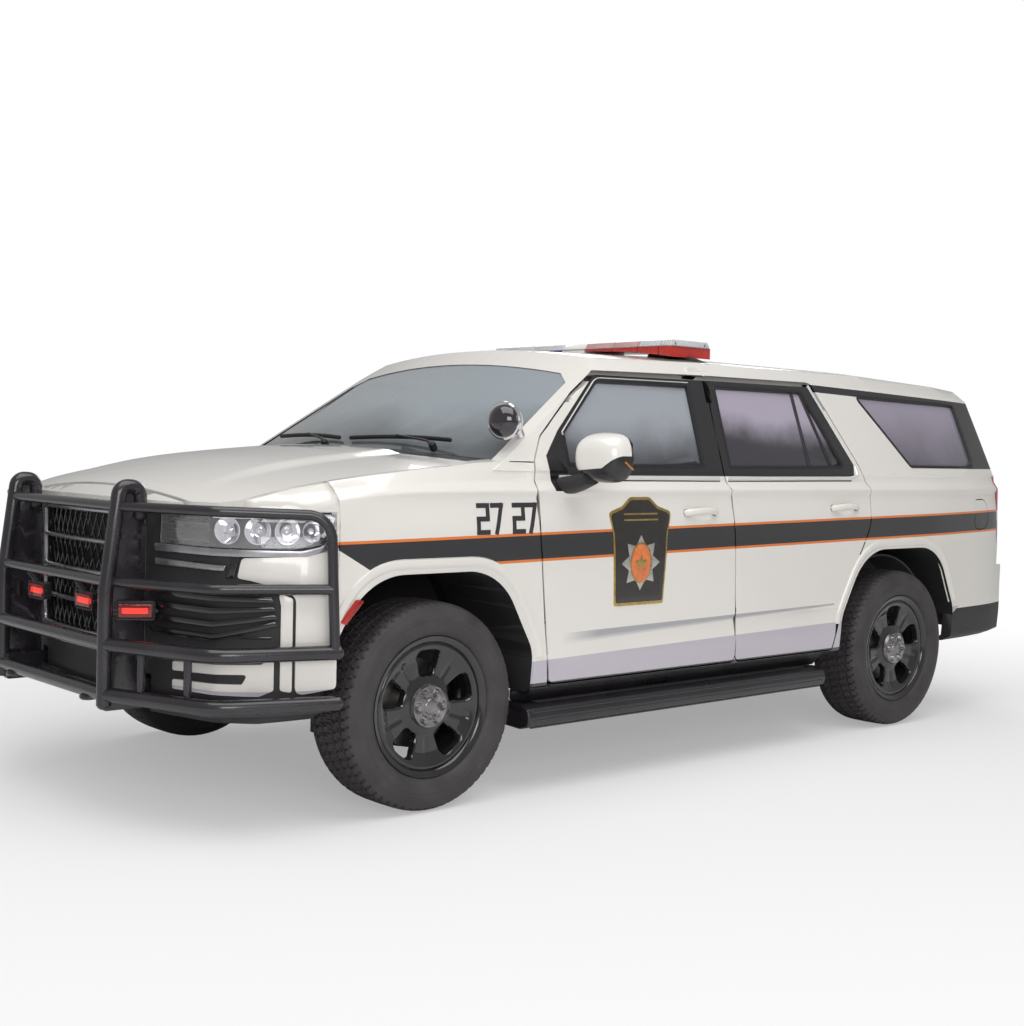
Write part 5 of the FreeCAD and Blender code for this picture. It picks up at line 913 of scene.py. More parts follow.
# place, outward direction, sideways direction
warning_lamps = [(at(0.985, 0.5, 0.775), Vector((0.55, 0.83, 0)), Vector((-0.83, 0.55, 0))),
                 (at(0.985, -0.5, 0.775), Vector((0.55, -0.83, 0)), Vector((0.83, 0.55, 0))),
                 (at(1.050, 0.21, 0.790), Vector((1, 0, 0)), Vector((0, 1, 0))),
                 (at(1.050, -0.21, 0.790), Vector((1, 0, 0)), Vector((0, 1, 0)))]
cases, lenses, strips = bmesh.new(), bmesh.new(), bmesh.new()
up_way = Vector((0, 0, 1))
case_line = oblong(-0.068, -0.032, 0.068, 0.032, 0.008)
for place, out_way, side_way in warning_lamps:
    def spot(a, b, d):
        return place + side_way * a + up_way * b + out_way * d

    slab(cases, case_line, lambda a, b, d: spot(a, b, d - 0.040), 0.030, 0.003)
    flat_tube(cases, [spot(a, b, -0.008) for a, b in case_line + case_line[:1]], 0.0045, sides=8)
    slab(lenses, oblong(-0.060, -0.024, 0.060, 0.024, 0.006), lambda a, b, d: spot(a, b, d - 0.0105), 0.010,
         0.003)
    slab(strips, oblong(-0.046, -0.010, 0.046, 0.010, 0.004), lambda a, b, d: spot(a, b, d - 0.0110), 0.0035,
         0.001)
    for a in (-0.074, 0.074):
        bolt(cases, spot(a, 0, -0.014), out_way.to_track_quat("Z", "Y").to_matrix().to_4x4(), 0.008, 0.007, 0.014)
    inner = Vector(spot(0, 0, -0.040))
    target = at(guard_face_x, inner.y, wing_middle_z)
    if abs(inner.y) > 0.4:
        target = at(guard_face_x - 0.02, math.copysign(guard_y, inner.y), 0.775)
    flat_tube(cases, [inner, inner.lerp(target, 0.5), target], 0.012, sides=10)
    flat_tube(cases, [inner + up_way * -0.015, inner.lerp(target, 0.5) + up_way * -0.012, target + up_way
                      * -0.015], 0.009, sides=10)
show(cases, "warning_lamp_cases", "body", "black_plastic", lamp_case)
show(lenses, "warning_lamp_lenses", "body", "lamp_red", red_lens)
show(strips, "warning_lamp_strips", "body", "lamp_red", red_glow)


# ---------------------------------------------------------------- front bumper cover
# Moulded plastic nose: a painted cap under the bonnet edge, painted lamp shelves and corner posts, dark
# air intakes with swept blades, and a bare black apron.  Clipped to the steel bumper beam.
face_centre_x, face_radius, face_half = -1.7635, 2.7035, 0.790
corner_x, corner_y, corner_radius = 0.3730, 0.4590, 0.5579
face_run = face_radius * math.asin(face_half / face_radius)
corner_start = math.atan2(0.790 - corner_y, 0.822 - corner_x)
nose_run = 1.236


def nose_spot(run, z, lift):
    """A point on the bowed nose: run is measured round it from the middle, lift stands out from it."""
    if run <= face_run:
        angle = run / face_radius
        return at(face_centre_x + (face_radius + lift) * math.cos(angle), (face_radius + lift) * math.sin(angle),
                  z)
    angle = corner_start + (run - face_run) / corner_radius
    reach = corner_radius + lift
    return at(corner_x + reach * math.cos(angle), corner_y + reach * math.sin(angle), z)


def pour(loose, work):
    """Adds one loose mesh to another and lets it go."""
    part = bpy.data.meshes.new("part")
    loose.to_mesh(part)
    loose.free()
    work.from_mesh(part)
    bpy.data.meshes.remove(part)


def nose_piece(work, outline, low, high, bevel=0.002):
    """A plate wrapped round the nose, from (run, z) corners, between two lifts; made on both sides."""
    for s in (1, -1):
        flat = bmesh.new()
        slab(flat, outline, lambda a, b, d: Vector((a, b, low + d)), high - low, bevel)
        left, right = min(a for a, b in outline), max(a for a, b in outline)
        for cut in np.arange(left + 0.02, right, 0.02):
            cut_at(flat, (cut, 0, 0), (1, 0, 0))
        for vert in flat.verts:
            run, z, lift = vert.co
            spot_at = nose_spot(abs(run), z, lift)
            side = s if run >= 0 else -s
            vert.co = Vector((spot_at.x, side * spot_at.y, spot_at.z))
        if s < 0:
            bmesh.ops.reverse_faces(flat, faces=flat.faces)
        pour(flat, work)


def parted(mesh, name, planes):
    """A copy of a construction mesh, cut along planes so that each face lies in one colour zone."""
    work = bmesh.new()
    work.from_mesh(mesh)
    bmesh.ops.remove_doubles(work, verts=work.verts, dist=0.00004)
    for place, normal in planes:
        cut_at(work, place, normal)
    return finished(work, name)


cap_z = 1.148
front_cover = parted(frame["nodes"]["front_bumper"].data, "front_bumper",
                     [level(cap_z), upright(0.475), level(0.50)])
zoned(front_cover, lambda x, y, z, n: 0 if (z > cap_z and n.z > -0.5 and n.x > -0.3) or (x < 0.475 and y > 0.95)
      else 1)
show(front_cover, "front_cover", "front_bumper", "body_paint", body_paint, grained_black,
     stands_for="front_bumper")
panels = bmesh.new()
nose_piece(panels, [(0.450, 1.140), (nose_run - 0.004, 1.150), (nose_run - 0.004, cap_z + 0.012),
                    (0.450, cap_z + 0.004)], -0.004, 0.007)
nose_piece(panels, rounded([(0.878, 0.914), (0.893, 0.986), (1.12, 0.996), (nose_run - 0.004, 1.022),
                            (nose_run - 0.004, 0.520), (1.082, 0.500), (1.082, 0.850), (1.03, 0.880),
                            (0.93, 0.905)], (0.012, 0.02, 0.05, 0.004, 0.02, 0.03, 0.04, 0.02, 0.02)), -0.006,
           0.013, 0.004)
nose_piece(panels, rounded([(1.020, 0.868), (1.072, 0.846), (1.072, 0.510), (1.030, 0.520), (1.030, 0.820)],
                           0.012), -0.006, 0.016, 0.004)
nose_piece(panels, rounded([(0.600, 0.600), (0.965, 0.612), (1.010, 0.640), (1.010, 0.520), (0.960, 0.498),
                            (0.600, 0.500), (0.600, 0.535), (0.90, 0.540), (0.92, 0.575), (0.600, 0.566)], 0.010),
           -0.006, 0.014, 0.003)
nose_piece(panels, rounded([(1.150, 1.006), (nose_run, 1.016), (nose_run, 1.152), (1.226, 1.152), (1.226, 1.080),
                            (1.197, 1.034)], (0.01, 0, 0, 0, 0.03, 0.03)), -0.030, 0.004, 0.002)
show(panels, "nose_panels", "body", "body_paint", body_paint)

black_trim = bmesh.new()
nose_piece(black_trim, rounded([(0.835, 0.914), (0.868, 0.914), (0.884, 0.990), (0.862, 0.990)], 0.004), -0.004,
           0.012)
for low_z, high_z, tip in ((0.845, 0.832, 1.00), (0.800, 0.803, 1.005), (0.752, 0.776, 1.01),
                           (0.706, 0.752, 1.01)):
    nose_piece(black_trim, [(0.500, low_z - 0.010), (0.500, low_z + 0.010), (0.80, low_z + 0.008),
                            (tip, high_z + 0.014), (tip + 0.012, high_z), (0.80, low_z - 0.012)], 0.000, 0.026,
               0.003)
for z in (0.705, 0.845):
    nose_piece(black_trim, [(0.455, z - 0.004), (0.455, z + 0.004), (1.0, z + 0.004), (1.0, z - 0.004)], -0.002,
               0.006)
nose_piece(black_trim, rounded([(0.0, 0.412), (0.0, 0.470), (0.80, 0.480), (1.21, 0.478), (1.215, 0.440),
                                (0.80, 0.418)], 0.01), -0.004, 0.020, 0.006)
show(black_trim, "nose_black_trim", "body", "black_plastic", gloss_black)

bright_bar = finish("bright_bar", (0.42, 0.41, 0.43), 0.28, metallic=0.85, mottle=0.2, mottle_size=0.1,
                    grain=0.05, rough_spread=0.08)
bars = bmesh.new()
nose_piece(bars, rounded([(0.500, 0.992), (0.500, 1.020), (1.10, 1.014), (1.17, 1.030), (1.215, 1.070),
                          (1.228, 1.068), (1.195, 1.018), (1.12, 0.994), (0.90, 0.990)],
                         (0, 0, 0.05, 0.05, 0, 0, 0.04, 0.04, 0.02)), 0.000, 0.019, 0.004)
nose_piece(bars, rounded([(0.500, 0.942), (0.500, 0.966), (0.840, 0.958), (0.832, 0.938)], 0.004), 0.000, 0.016,
           0.004)
show(bars, "nose_bright_bars", "body", "bright_trim", bright_bar)


# ---------------------------------------------------------------- headlamps
# Clear moulded lenses bonded over black bezels, with four chromed reflector bowls and a thin light guide
# in each, bolted behind the bumper cover.
def turned(work, profile, steps=120):
    """Spins (radius, out) points about the y axis into a closed or open skin."""
    rings = []
    for radius, out in profile:
        rings.append([work.verts.new((radius * math.sin(2 * math.pi * k / steps), out,
                                      radius * math.cos(2 * math.pi * k / steps))) for k in range(steps)])
    join_rings(work, rings, flip=True)


chrome = finish("chrome", (0.78, 0.78, 0.80), 0.08, metallic=1.0, mottle=0.05, rough_spread=0.03)
clear_lens = lamp_glass("clear_lens", (0.97, 0.97, 0.99), rough=0.02, clear=0.94)
bezel_black = finish("bezel_black", (0.018, 0.018, 0.020), 0.3, coat=0.3, mottle=0.1, grain=0.15,
                     grain_size=0.0012)
lens_line = rounded([(0.520, 1.020), (0.525, 1.132), (0.82, 1.140), (1.224, 1.143), (1.226, 1.084),
                     (1.172, 1.034), (1.08, 1.018)], (0.004, 0.004, 0.02, 0.01, 0.02, 0.03, 0.03))
lenses, housings, bowls, guides = bmesh.new(), bmesh.new(), bmesh.new(), bmesh.new()
nose_piece(lenses, lens_line, 0.004, 0.009, 0.0015)
nose_piece(housings, lens_line, -0.060, -0.052, 0.0)
for run_a, run_b in ((0.520, 0.526), (0.760, 0.768)):
    nose_piece(housings, [(run_a, 1.022), (run_a, 1.132), (run_b, 1.132), (run_b, 1.022)], -0.056, 0.002, 0.0)
for z in (1.040, 1.068, 1.096, 1.122):
    nose_piece(housings, [(0.530, z - 0.004), (0.530, z + 0.004), (0.760, z + 0.006), (0.760, z - 0.002)], -0.050,
               -0.006, 0.0015)
nose_piece(guides, rounded([(0.775, 1.128), (1.215, 1.133), (1.215, 1.126), (0.775, 1.121)], 0.002), -0.030,
           -0.004, 0.001)
nose_piece(guides, [(1.180, 1.060), (1.205, 1.085), (1.222, 1.128), (1.212, 1.128), (1.195, 1.090),
                    (1.172, 1.066)], -0.020, -0.002, 0.001)
for run, size in ((0.835, 0.044), (0.945, 0.044), (1.050, 0.042), (1.140, 0.034)):
    for s in (1, -1):
        bowl = bmesh.new()
        turned(bowl, [(0.006, 0.004), (0.010, 0.012), (0.0, 0.018)], 24)
        turned(bowl, [(size * t, 0.040 * t * t) for t in (0.06, 0.2, 0.4, 0.6, 0.8, 0.95, 1.0)]
               + [(size * 1.06, 0.040)], 36)
        middle = nose_spot(run, 1.080, -0.050)
        out = nose_spot(run, 1.080, 0.0) - middle
        middle.y, out.y = s * middle.y, s * out.y
        turn = out.to_track_quat("Y", "Z").to_matrix().to_4x4()
        bowl.transform(Matrix.Translation(middle) @ turn)
        pour(bowl, bowls)
guide_glow = glowing("guide_glow", (0.95, 0.95, 1.0), 0.25)
show(lenses, "headlamp_lenses", "body", "lamp_clear", clear_lens, stands_for="headlamps")
show(housings, "headlamp_housings", "body", "black_plastic", bezel_black)
show(bowls, "headlamp_bowls", "body", "bright_trim", chrome)
show(guides, "headlamp_light_guides", "body", "lamp_clear", guide_glow)


# ---------------------------------------------------------------- grille
# Gloss black moulded lattice of crossing bars in a rounded frame, with three heavier rails across it,
# clipped into the opening of the bumper cover.
lattice, rails = bmesh.new(), bmesh.new()
grille_half, grille_low, grille_high = 0.418, 0.642, 1.118
for s in (1, -1):
    for k in range(-14, 22):
        low_run, high_run = k * 0.052, k * 0.052 + 0.238
        a, b = max(low_run, 0.0), min(high_run, grille_half)
        if b - a < 0.01:
            continue
        za = grille_low + (a - low_run) * 2.0
        zb = min(grille_low + (b - low_run) * 2.0, grille_high)
        b = low_run + (zb - grille_low) / 2.0
        for flip in (False, True):
            z1, z2 = (za, zb) if not flip else (grille_low + grille_high - za, grille_low + grille_high - zb)
            p, q = nose_spot(a, z1, -0.012), nose_spot(b, z2, -0.012)
            mid = nose_spot((a + b) / 2, (z1 + z2) / 2, -0.012)
            flat_tube(lattice, [Vector((v.x, s * v.y, v.z)) for v in (p, mid, q)], 0.0042, sides=6)
    for z in (0.760, 0.880, 1.000):
        line = [nose_spot(t, z, 0.004) for t in np.linspace(0.0, grille_half, 8)]
        flat_tube(rails, [Vector((v.x, s * v.y, v.z)) for v in line], 0.011, sides=12, squash=(1.0, 0.8))
edge_line = oblong(-grille_half, grille_low, grille_half, grille_high, 0.03)
edge_points = []
for (a0, b0), (a1, b1) in zip(edge_line, edge_line[1:] + edge_line[:1]):
    count = max(1, int(math.hypot(a1 - a0, b1 - b0) / 0.05))
    for j in range(count):
        run, z = a0 + (a1 - a0) * j / count, b0 + (b1 - b0) * j / count
        spot_at = nose_spot(abs(run), z, 0.004)
        edge_points.append(Vector((spot_at.x, math.copysign(spot_at.y, run), spot_at.z)))
flat_tube(rails, edge_points + edge_points[:1], 0.010, sides=10)
shield = bmesh.new()
nose_piece(shield, [(0.0, 0.60), (0.0, 1.14), (0.45, 1.14), (0.45, 0.60)], -0.070, -0.062, 0.0)
show(lattice, "grille_lattice", "body", "black_plastic", gloss_black, stands_for="grille")
show(rails, "grille_rails", "body", "bright_trim", bright_bar)
show(shield, "grille_air_shield", "body", "black_plastic", lamp_case)


# ---------------------------------------------------------------- wheels
# Pressed steel wheels enamelled gloss black: five rounded openings, a stepped rim and a satin silver centre
# cap over six lug nuts, with the plain steel brake disc behind.
wheel_black = finish("wheel_black", (0.014, 0.014, 0.016), 0.16, coat=0.7, mottle=0.25, mottle_size=0.08,
                     grain=0.03, grain_size=0.003, rough_spread=0.05)
cap_satin = finish("cap_satin", (0.25, 0.235, 0.245), 0.26, metallic=0.8, coat=0.6, mottle=0.3, mottle_size=0.04)
disc_steel = finish("disc_steel", (0.30, 0.29, 0.28), 0.42, metallic=1.0, mottle=0.2, mottle_size=0.03)
opening_count, lug_count = 5, 6


def dished(radius):
    """How far the wheel face stands out from the wheel's middle at a radius."""
    return float(np.interp(radius, [0.0, 0.07, 0.098, 0.120, 0.185, 0.222, 0.236, 0.245],
                           [0.094, 0.094, 0.086, 0.080, 0.084, 0.100, 0.104, 0.098]))


def wheel_face(work):
    """The pressed disc, with five rounded openings folded in and a shallow groove along each spoke."""
    steps, rings = 240, 34
    inner, outer = 0.058, 0.245
    opening = rounded([(-0.060, 0.214), (0.060, 0.214), (0.030, 0.116), (-0.030, 0.116)],
                      (0.030, 0.030, 0.016, 0.016), 6)

    def nearest(px, pz):
        best = (9.0, 0.0, 0.0)
        for (ax, az), (bx, bz) in zip(opening, opening[1:] + opening[:1]):
            dx, dz = bx - ax, bz - az
            t = min(max(((px - ax) * dx + (pz - az) * dz) / (dx * dx + dz * dz), 0), 1)
            qx, qz = ax + dx * t, az + dz * t
            gap = math.hypot(px - qx, pz - qz)
            if gap < best[0]:
                best = (gap, qx, qz)
        return best

    sector = 2 * math.pi / opening_count
    grid = []
    for i in range(rings + 1):
        radius = inner + (outer - inner) * i / rings
        row = []
        for k in range(steps):
            angle = 2 * math.pi * k / steps
            turn = round(angle / sector) * sector
            local = angle - turn
            px, pz = radius * math.sin(local), radius * math.cos(local)
            gap, qx, qz = nearest(px, pz)
            deep = 0.0
            if within(opening, px, pz):
                if gap > 0.0075:
                    row.append(None)
                    continue
                px, pz = qx, qz
                deep = -0.030
            elif gap < 0.011:
                deep = -0.006 * (1 - gap / 0.011) ** 2
            spoke = abs(abs(local) - sector / 2) * radius
            groove = -0.0035 * math.exp(-(spoke / 0.010) ** 2) * ramp_between(radius, 0.11, 0.13) * (
                1 - ramp_between(radius, 0.200, 0.215))
            real = math.hypot(px, pz)
            whole = math.atan2(px, pz) + turn
            row.append(work.verts.new((real * math.sin(whole), dished(real) + deep + groove,
                                       real * math.cos(whole))))
        grid.append(row)
    for i in range(rings):
        for k in range(steps):
            corners = [grid[i][k], grid[i + 1][k], grid[i + 1][(k + 1) % steps], grid[i][(k + 1) % steps]]
            if all(corners):
                work.faces.new(corners)


def wheel_mesh():
    work = bmesh.new()
    wheel_face(work)
    turned(work, [(0.2445, 0.098), (0.247, 0.106), (0.2545, 0.112), (0.266, 0.116), (0.2705, 0.117),
                  (0.271, 0.112), (0.2705, 0.108), (0.256, 0.103), (0.254, 0.094), (0.245, 0.060), (0.236, 0.020),
                  (0.236, -0.06), (0.254, -0.10), (0.271, -0.112), (0.271, -0.118), (0.246, -0.118),
                  (0.240, -0.10), (0.226, -0.05), (0.226, 0.03), (0.238, 0.060), (0.243, 0.090)])
    # Centre cap: a cupped moulding with a bump over each nut and a small plain boss.
    cap_steps, cap_radius, cap_flat = 120, 0.086, 0.080
    cap = []
    for i in range(26):
        radius = cap_radius * (i / 25) ** 0.9
        ring = []
        for k in range(cap_steps):
            angle = 2 * math.pi * k / cap_steps
            height = 0.106 - 0.012 * ((radius - cap_flat) / 0.006)
            if radius < cap_flat:
                height = 0.116 - 0.010 * (radius / cap_radius) ** 2
            height -= 0.006 * ramp_between(radius, 0.026, 0.030) * (1 - ramp_between(radius, 0.042, 0.050))
            for lug in range(lug_count):
                lug_angle = 2 * math.pi * (lug + 0.5) / lug_count
                gap = math.hypot(radius * math.sin(angle) - 0.058 * math.sin(lug_angle),
                                 radius * math.cos(angle) - 0.058 * math.cos(lug_angle))
                height += 0.011 * (1 - ramp_between(gap, 0.0105, 0.0155))
                height -= 0.003 * (ramp_between(gap, 0.0150, 0.0165) * (1 - ramp_between(gap, 0.0175, 0.0205)))
            ring.append(work.verts.new((radius * math.sin(angle), height, radius * math.cos(angle))))
        cap.append(ring)
    join_rings(work, cap, flip=True)
    bmesh.ops.remove_doubles(work, verts=work.verts, dist=0.00005)
    for face in work.faces:
        middle = face.calc_center_median()
        if math.hypot(middle.x, middle.z) < 0.0855 and middle.y > 0.09:
            face.material_index = 1
    return finished(work, "wheel")


def brake_mesh():
    work = bmesh.new()
    turned(work, [(0.172, 0.0), (0.172, -0.030), (0.088, -0.030), (0.064, -0.034), (0.031, -0.034),
                  (0.031, 0.080), (0.088, 0.070), (0.088, 0.004), (0.100, 0.0), (0.172, 0.0)], 72)
    bmesh.ops.remove_doubles(work, verts=work.verts, dist=0.00005)
    return finished(work, "brake_disc")


def placed(mesh, name, corner):
    """A copy of a wheel-side mesh, moved to its corner of the car and mirrored on the right."""
    x = 0.0 if "front" in corner else rear_axle_x
    sign = 1 if "left" in corner else -1
    low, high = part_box("wheel_" + corner)
    made = mesh.copy()
    made.name = name
    made.transform(Matrix.Translation(Vector((front_axle_x + x, sign * 0.870, (low.z + high.z) / 2)))
                   @ Matrix.Diagonal((1, sign, 1, 1)))
    if sign < 0:
        made.flip_normals()
    return made


wheel, brake = wheel_mesh(), brake_mesh()
for corner in ("front_left", "front_right", "rear_left", "rear_right"):
    holder = "wheel_" + corner
    show(placed(wheel, "wheel_" + corner, corner), "road_wheel_" + corner, holder, "wheel_black", wheel_black,
         cap_satin, crisp=40, stands_for="wheel_" + corner)
    show(placed(brake, "brake_" + corner, corner), "brake_disc_" + corner, holder, "steel", disc_steel)


# ---------------------------------------------------------------- tyres
# Black rubber radial tyres: a bulged plain sidewall with fine ribs, a rounded shoulder and a tread cut
# into five rows of siped blocks.
tyre_rubber = finish("tyre_rubber", (0.050, 0.044, 0.048), 0.62, mottle=0.25, mottle_size=0.1, grain=0.35,
                     grain_size=0.002, rough_spread=0.12)
# radius, half width: bead to tread edge
tyre_section = [(0.2543, 0.104), (0.2710, 0.1060), (0.2745, 0.1165), (0.2800, 0.1240), (0.2900, 0.1305),
                (0.3050, 0.1352), (0.3230, 0.1372), (0.3270, 0.1374), (0.3282, 0.1362), (0.3330, 0.1360),
                (0.3342, 0.1368), (0.3500, 0.1350), (0.3630, 0.1312), (0.3645, 0.1296), (0.3740, 0.1268),
                (0.3830, 0.1220)]


def tread_depth(row, angle):
    """Depth of the cuts across a tread row at an angle; neighbouring rows are staggered."""
    blocks = 66
    phase = (angle * blocks / (2 * math.pi) + row * 0.37) % 1.0
    return 0.0085 if phase < 0.22 else 0.0


def tyre_mesh():
    work = bmesh.new()
    steps = 66 * 9
    # tread: half width, radius, cut row (None is a full groove)
    tread = [(0.1180, 0.3895, 0), (0.1080, 0.3955, 0), (0.0960, 0.3990, 0), (0.0860, 0.4002, 0),
             (0.0850, 0.3905, None), (0.0770, 0.3905, None), (0.0760, 0.4008, 1), (0.0560, 0.4014, 1),
             (0.0360, 0.4016, 1), (0.0350, 0.3915, None), (0.0270, 0.3915, None), (0.0260, 0.4018, 2),
             (0.0, 0.4020, 2)]
    right_tread = [(-y, r, None if row is None else 4 - row) for y, r, row in reversed(tread[:-1])]
    rings = []
    for y, r, row in tread + right_tread:
        ring = []
        for k in range(steps):
            angle = 2 * math.pi * k / steps
            skew = angle + y * 1.4
            depth = 0.0 if row is None else tread_depth(row, skew)
            radius = r - depth * (1.0 if abs(y) < 0.110 else 0.6)
            ring.append(work.verts.new((radius * math.sin(angle), y, radius * math.cos(angle))))
        rings.append(ring)
    join_rings(work, rings)
    wall_steps = steps // 3
    for sign in (1, -1):
        walls = []
        for r, y in tyre_section:
            walls.append([work.verts.new((r * math.sin(2 * math.pi * k / wall_steps), sign * y,
                                          r * math.cos(2 * math.pi * k / wall_steps)))
                          for k in range(wall_steps)])
        join_rings(work, walls)
        edge, outer = walls[-1], rings[0] if sign > 0 else rings[-1]
        for k in range(wall_steps):
            near = [outer[(3 * k + j) % steps] for j in range(4)]
            work.faces.new((edge[k], edge[(k + 1) % wall_steps], near[3], near[2], near[1], near[0]))
    beads = [v for v in work.verts if abs(v.co.y) < 0.1045 and math.hypot(v.co.x, v.co.z) < 0.26]
    rows = {sign: [v for v in beads if v.co.y * sign > 0] for sign in (1, -1)}
    for k in range(wall_steps):
        a, b = rows[1][k], rows[1][(k + 1) % wall_steps]
        c, d = rows[-1][(k + 1) % wall_steps], rows[-1][k]
        work.faces.new((a, b, c, d))
    return finished(work, "tyre")


tyre = tyre_mesh()
for corner in ("front_left", "front_right", "rear_left", "rear_right"):
    show(placed(tyre, "tyre_" + corner, corner), "road_tyre_" + corner, "tyre_" + corner, "tyre", tyre_rubber,
         crisp=32, stands_for="tyre_" + corner)
# ---------------------------------------------------------------- window glass
# Toughened glass set 10 mm back from the body: blue-grey in front, dark violet privacy glass behind, and
# a laminated windscreen bonded to its frame.  Each pane carries a painted sky reflection, lighter towards the
# roof.
def tint_with_painted_sky(name, high, low, low_z, high_z, clear):
    """Tinted float glass with a painted sky reflection: lighter towards the roof, with a wavy line where it turns
    dark.
    """
    made, tree = new_material(name)
    place = put(tree, "TexCoord").outputs["Object"]
    sky_line_wobble = put(tree, "TexNoise", Scale=3.0, Detail=6.0, Vector=place).outputs["Fac"]
    lifted = calc(tree, "MULTIPLY_ADD", sky_line_wobble, 0.22, put(tree, "SeparateXYZ", Vector=place).outputs["Z"])
    fade = put(tree, "MapRange", Value=lifted, From_Min=low_z + 0.11, From_Max=high_z + 0.11)
    fade.interpolation_type = "SMOOTHSTEP"
    skin = put(tree, "BsdfPrincipled", Base_Color=over(tree, fade.outputs["Result"], low, high), Roughness=0.03,
               IOR=1.5, Transmission_Weight=clear, Coat_Weight=0.7, Coat_Roughness=0.02)
    put(tree, "OutputMaterial", Surface=skin.outputs[0])
    return made


# Each tint runs from a painted sky reflection at the top to the glass's own dark colour below.
front_tint = tint_with_painted_sky("front_tint", (0.56, 0.59, 0.65), (0.14, 0.15, 0.17), 1.34, 1.56, 0.45)
rear_tint = tint_with_painted_sky("rear_tint", (0.46, 0.41, 0.51), (0.040, 0.036, 0.046), 1.40, 1.56, 0.10)
quarter_tint = tint_with_painted_sky("quarter_tint", (0.36, 0.325, 0.41), (0.14, 0.125, 0.16), 1.30, 1.70, 0.06)
screen_tint = tint_with_painted_sky("screen_tint", (0.46, 0.52, 0.56), (0.15, 0.17, 0.185), 1.36, 1.60, 0.42)
for part, tint in (("glass_front_left", front_tint), ("glass_front_right", front_tint),
                   ("glass_rear_left", rear_tint), ("glass_rear_right", rear_tint),
                   ("quarter_glass", quarter_tint), ("tailgate_glass", quarter_tint),
                   ("windscreen", screen_tint)):
    slot = "glass_blue" if tint in (front_tint, screen_tint) else "glass_dark"
    show(parted(frame["nodes"][part].data, part, []), part + "_pane", part, slot, tint, stands_for=part)


# ---------------------------------------------------------------- window seals and mouldings
# Extruded rubber channels round each window, satin-bright mouldings along the belt and up the rear door,
# a slim drip moulding under the roof rail, and black division bars in the rear doors.
def spaced(points, closed=False):
    """Extra points along a line of (x, z) corners, so that a strip can follow the body's curve."""
    ends = points[1:] + (points[:1] if closed else [])
    made = []
    for (ax, az), (bx, bz) in zip(points, ends):
        count = max(1, int(math.hypot(bx - ax, bz - az) / 0.045))
        made += [(ax + (bx - ax) * k / count, az + (bz - az) * k / count) for k in range(count)]
    return made if closed else made + [points[-1]]


def trim_strip(work, points, half, height, side, low=-0.004, closed=False, profile=None):
    """Lays a moulding with a rounded back on the body side along (x, z) points."""
    line = spaced(points, closed)
    shape = profile or [(-1.0, 0.0), (-0.92, 0.55), (-0.55, 0.94), (0.0, 1.0), (0.55, 0.94), (0.92, 0.55),
                        (1.0, 0.0)]
    rings = []
    for k, (x, z) in enumerate(line):
        if closed:
            back, ahead = line[k - 1], line[(k + 1) % len(line)]
        else:
            back, ahead = line[max(k - 1, 0)], line[min(k + 1, len(line) - 1)]
        run = Vector((ahead[0] - back[0], 0, ahead[1] - back[1])).normalized()
        out = side_normal(x, z, side)
        across = out.cross(run).normalized()
        foot = at(x, side * (side_y(x, z, z < 1.28) + side_relief(x, z)), z)
        rings.append([work.verts.new(foot + across * half * a + out * (low + (height - low) * b))
                      for a, b in shape])
    pairs = list(zip(rings, rings[1:])) + ([(rings[-1], rings[0])] if closed else [])
    for first, second in pairs:
        for k in range(len(shape) - 1):
            work.faces.new((first[k], first[k + 1], second[k + 1], second[k]))
        work.faces.new((first[-1], first[0], second[0], second[-1]))
    if not closed:
        work.faces.new(rings[0])
        work.faces.new(list(reversed(rings[-1])))


seal_rubber = finish("seal_rubber", (0.014, 0.013, 0.015), 0.42, mottle=0.15, grain=0.3, grain_size=0.0015)
bright_strip = finish("bright_strip", (0.86, 0.85, 0.83), 0.22, metallic=0.35, coat=0.4, mottle=0.05,
                      rough_spread=0.04)
front_window = [(-0.720, 1.330), (-0.720, 1.461), (-0.975, 1.690), (-1.560, 1.695), (-1.560, 1.326)]
rear_window = [(-1.740, 1.326), (-1.740, 1.697), (-2.395, 1.700), (-2.620, 1.334)]
quarter_window = [(-2.840, 1.698), (-3.210, 1.342), (-3.880, 1.342), (-3.800, 1.684)]
seal_runs = {"door_front": rounded(front_window, (0.012, 0.02, 0.06, 0.014, 0.012)),
             "door_rear": rounded(rear_window, (0.012, 0.014, 0.030, 0.020)),
             "side": rounded(quarter_window, (0.020, 0.040, 0.040, 0.030))}
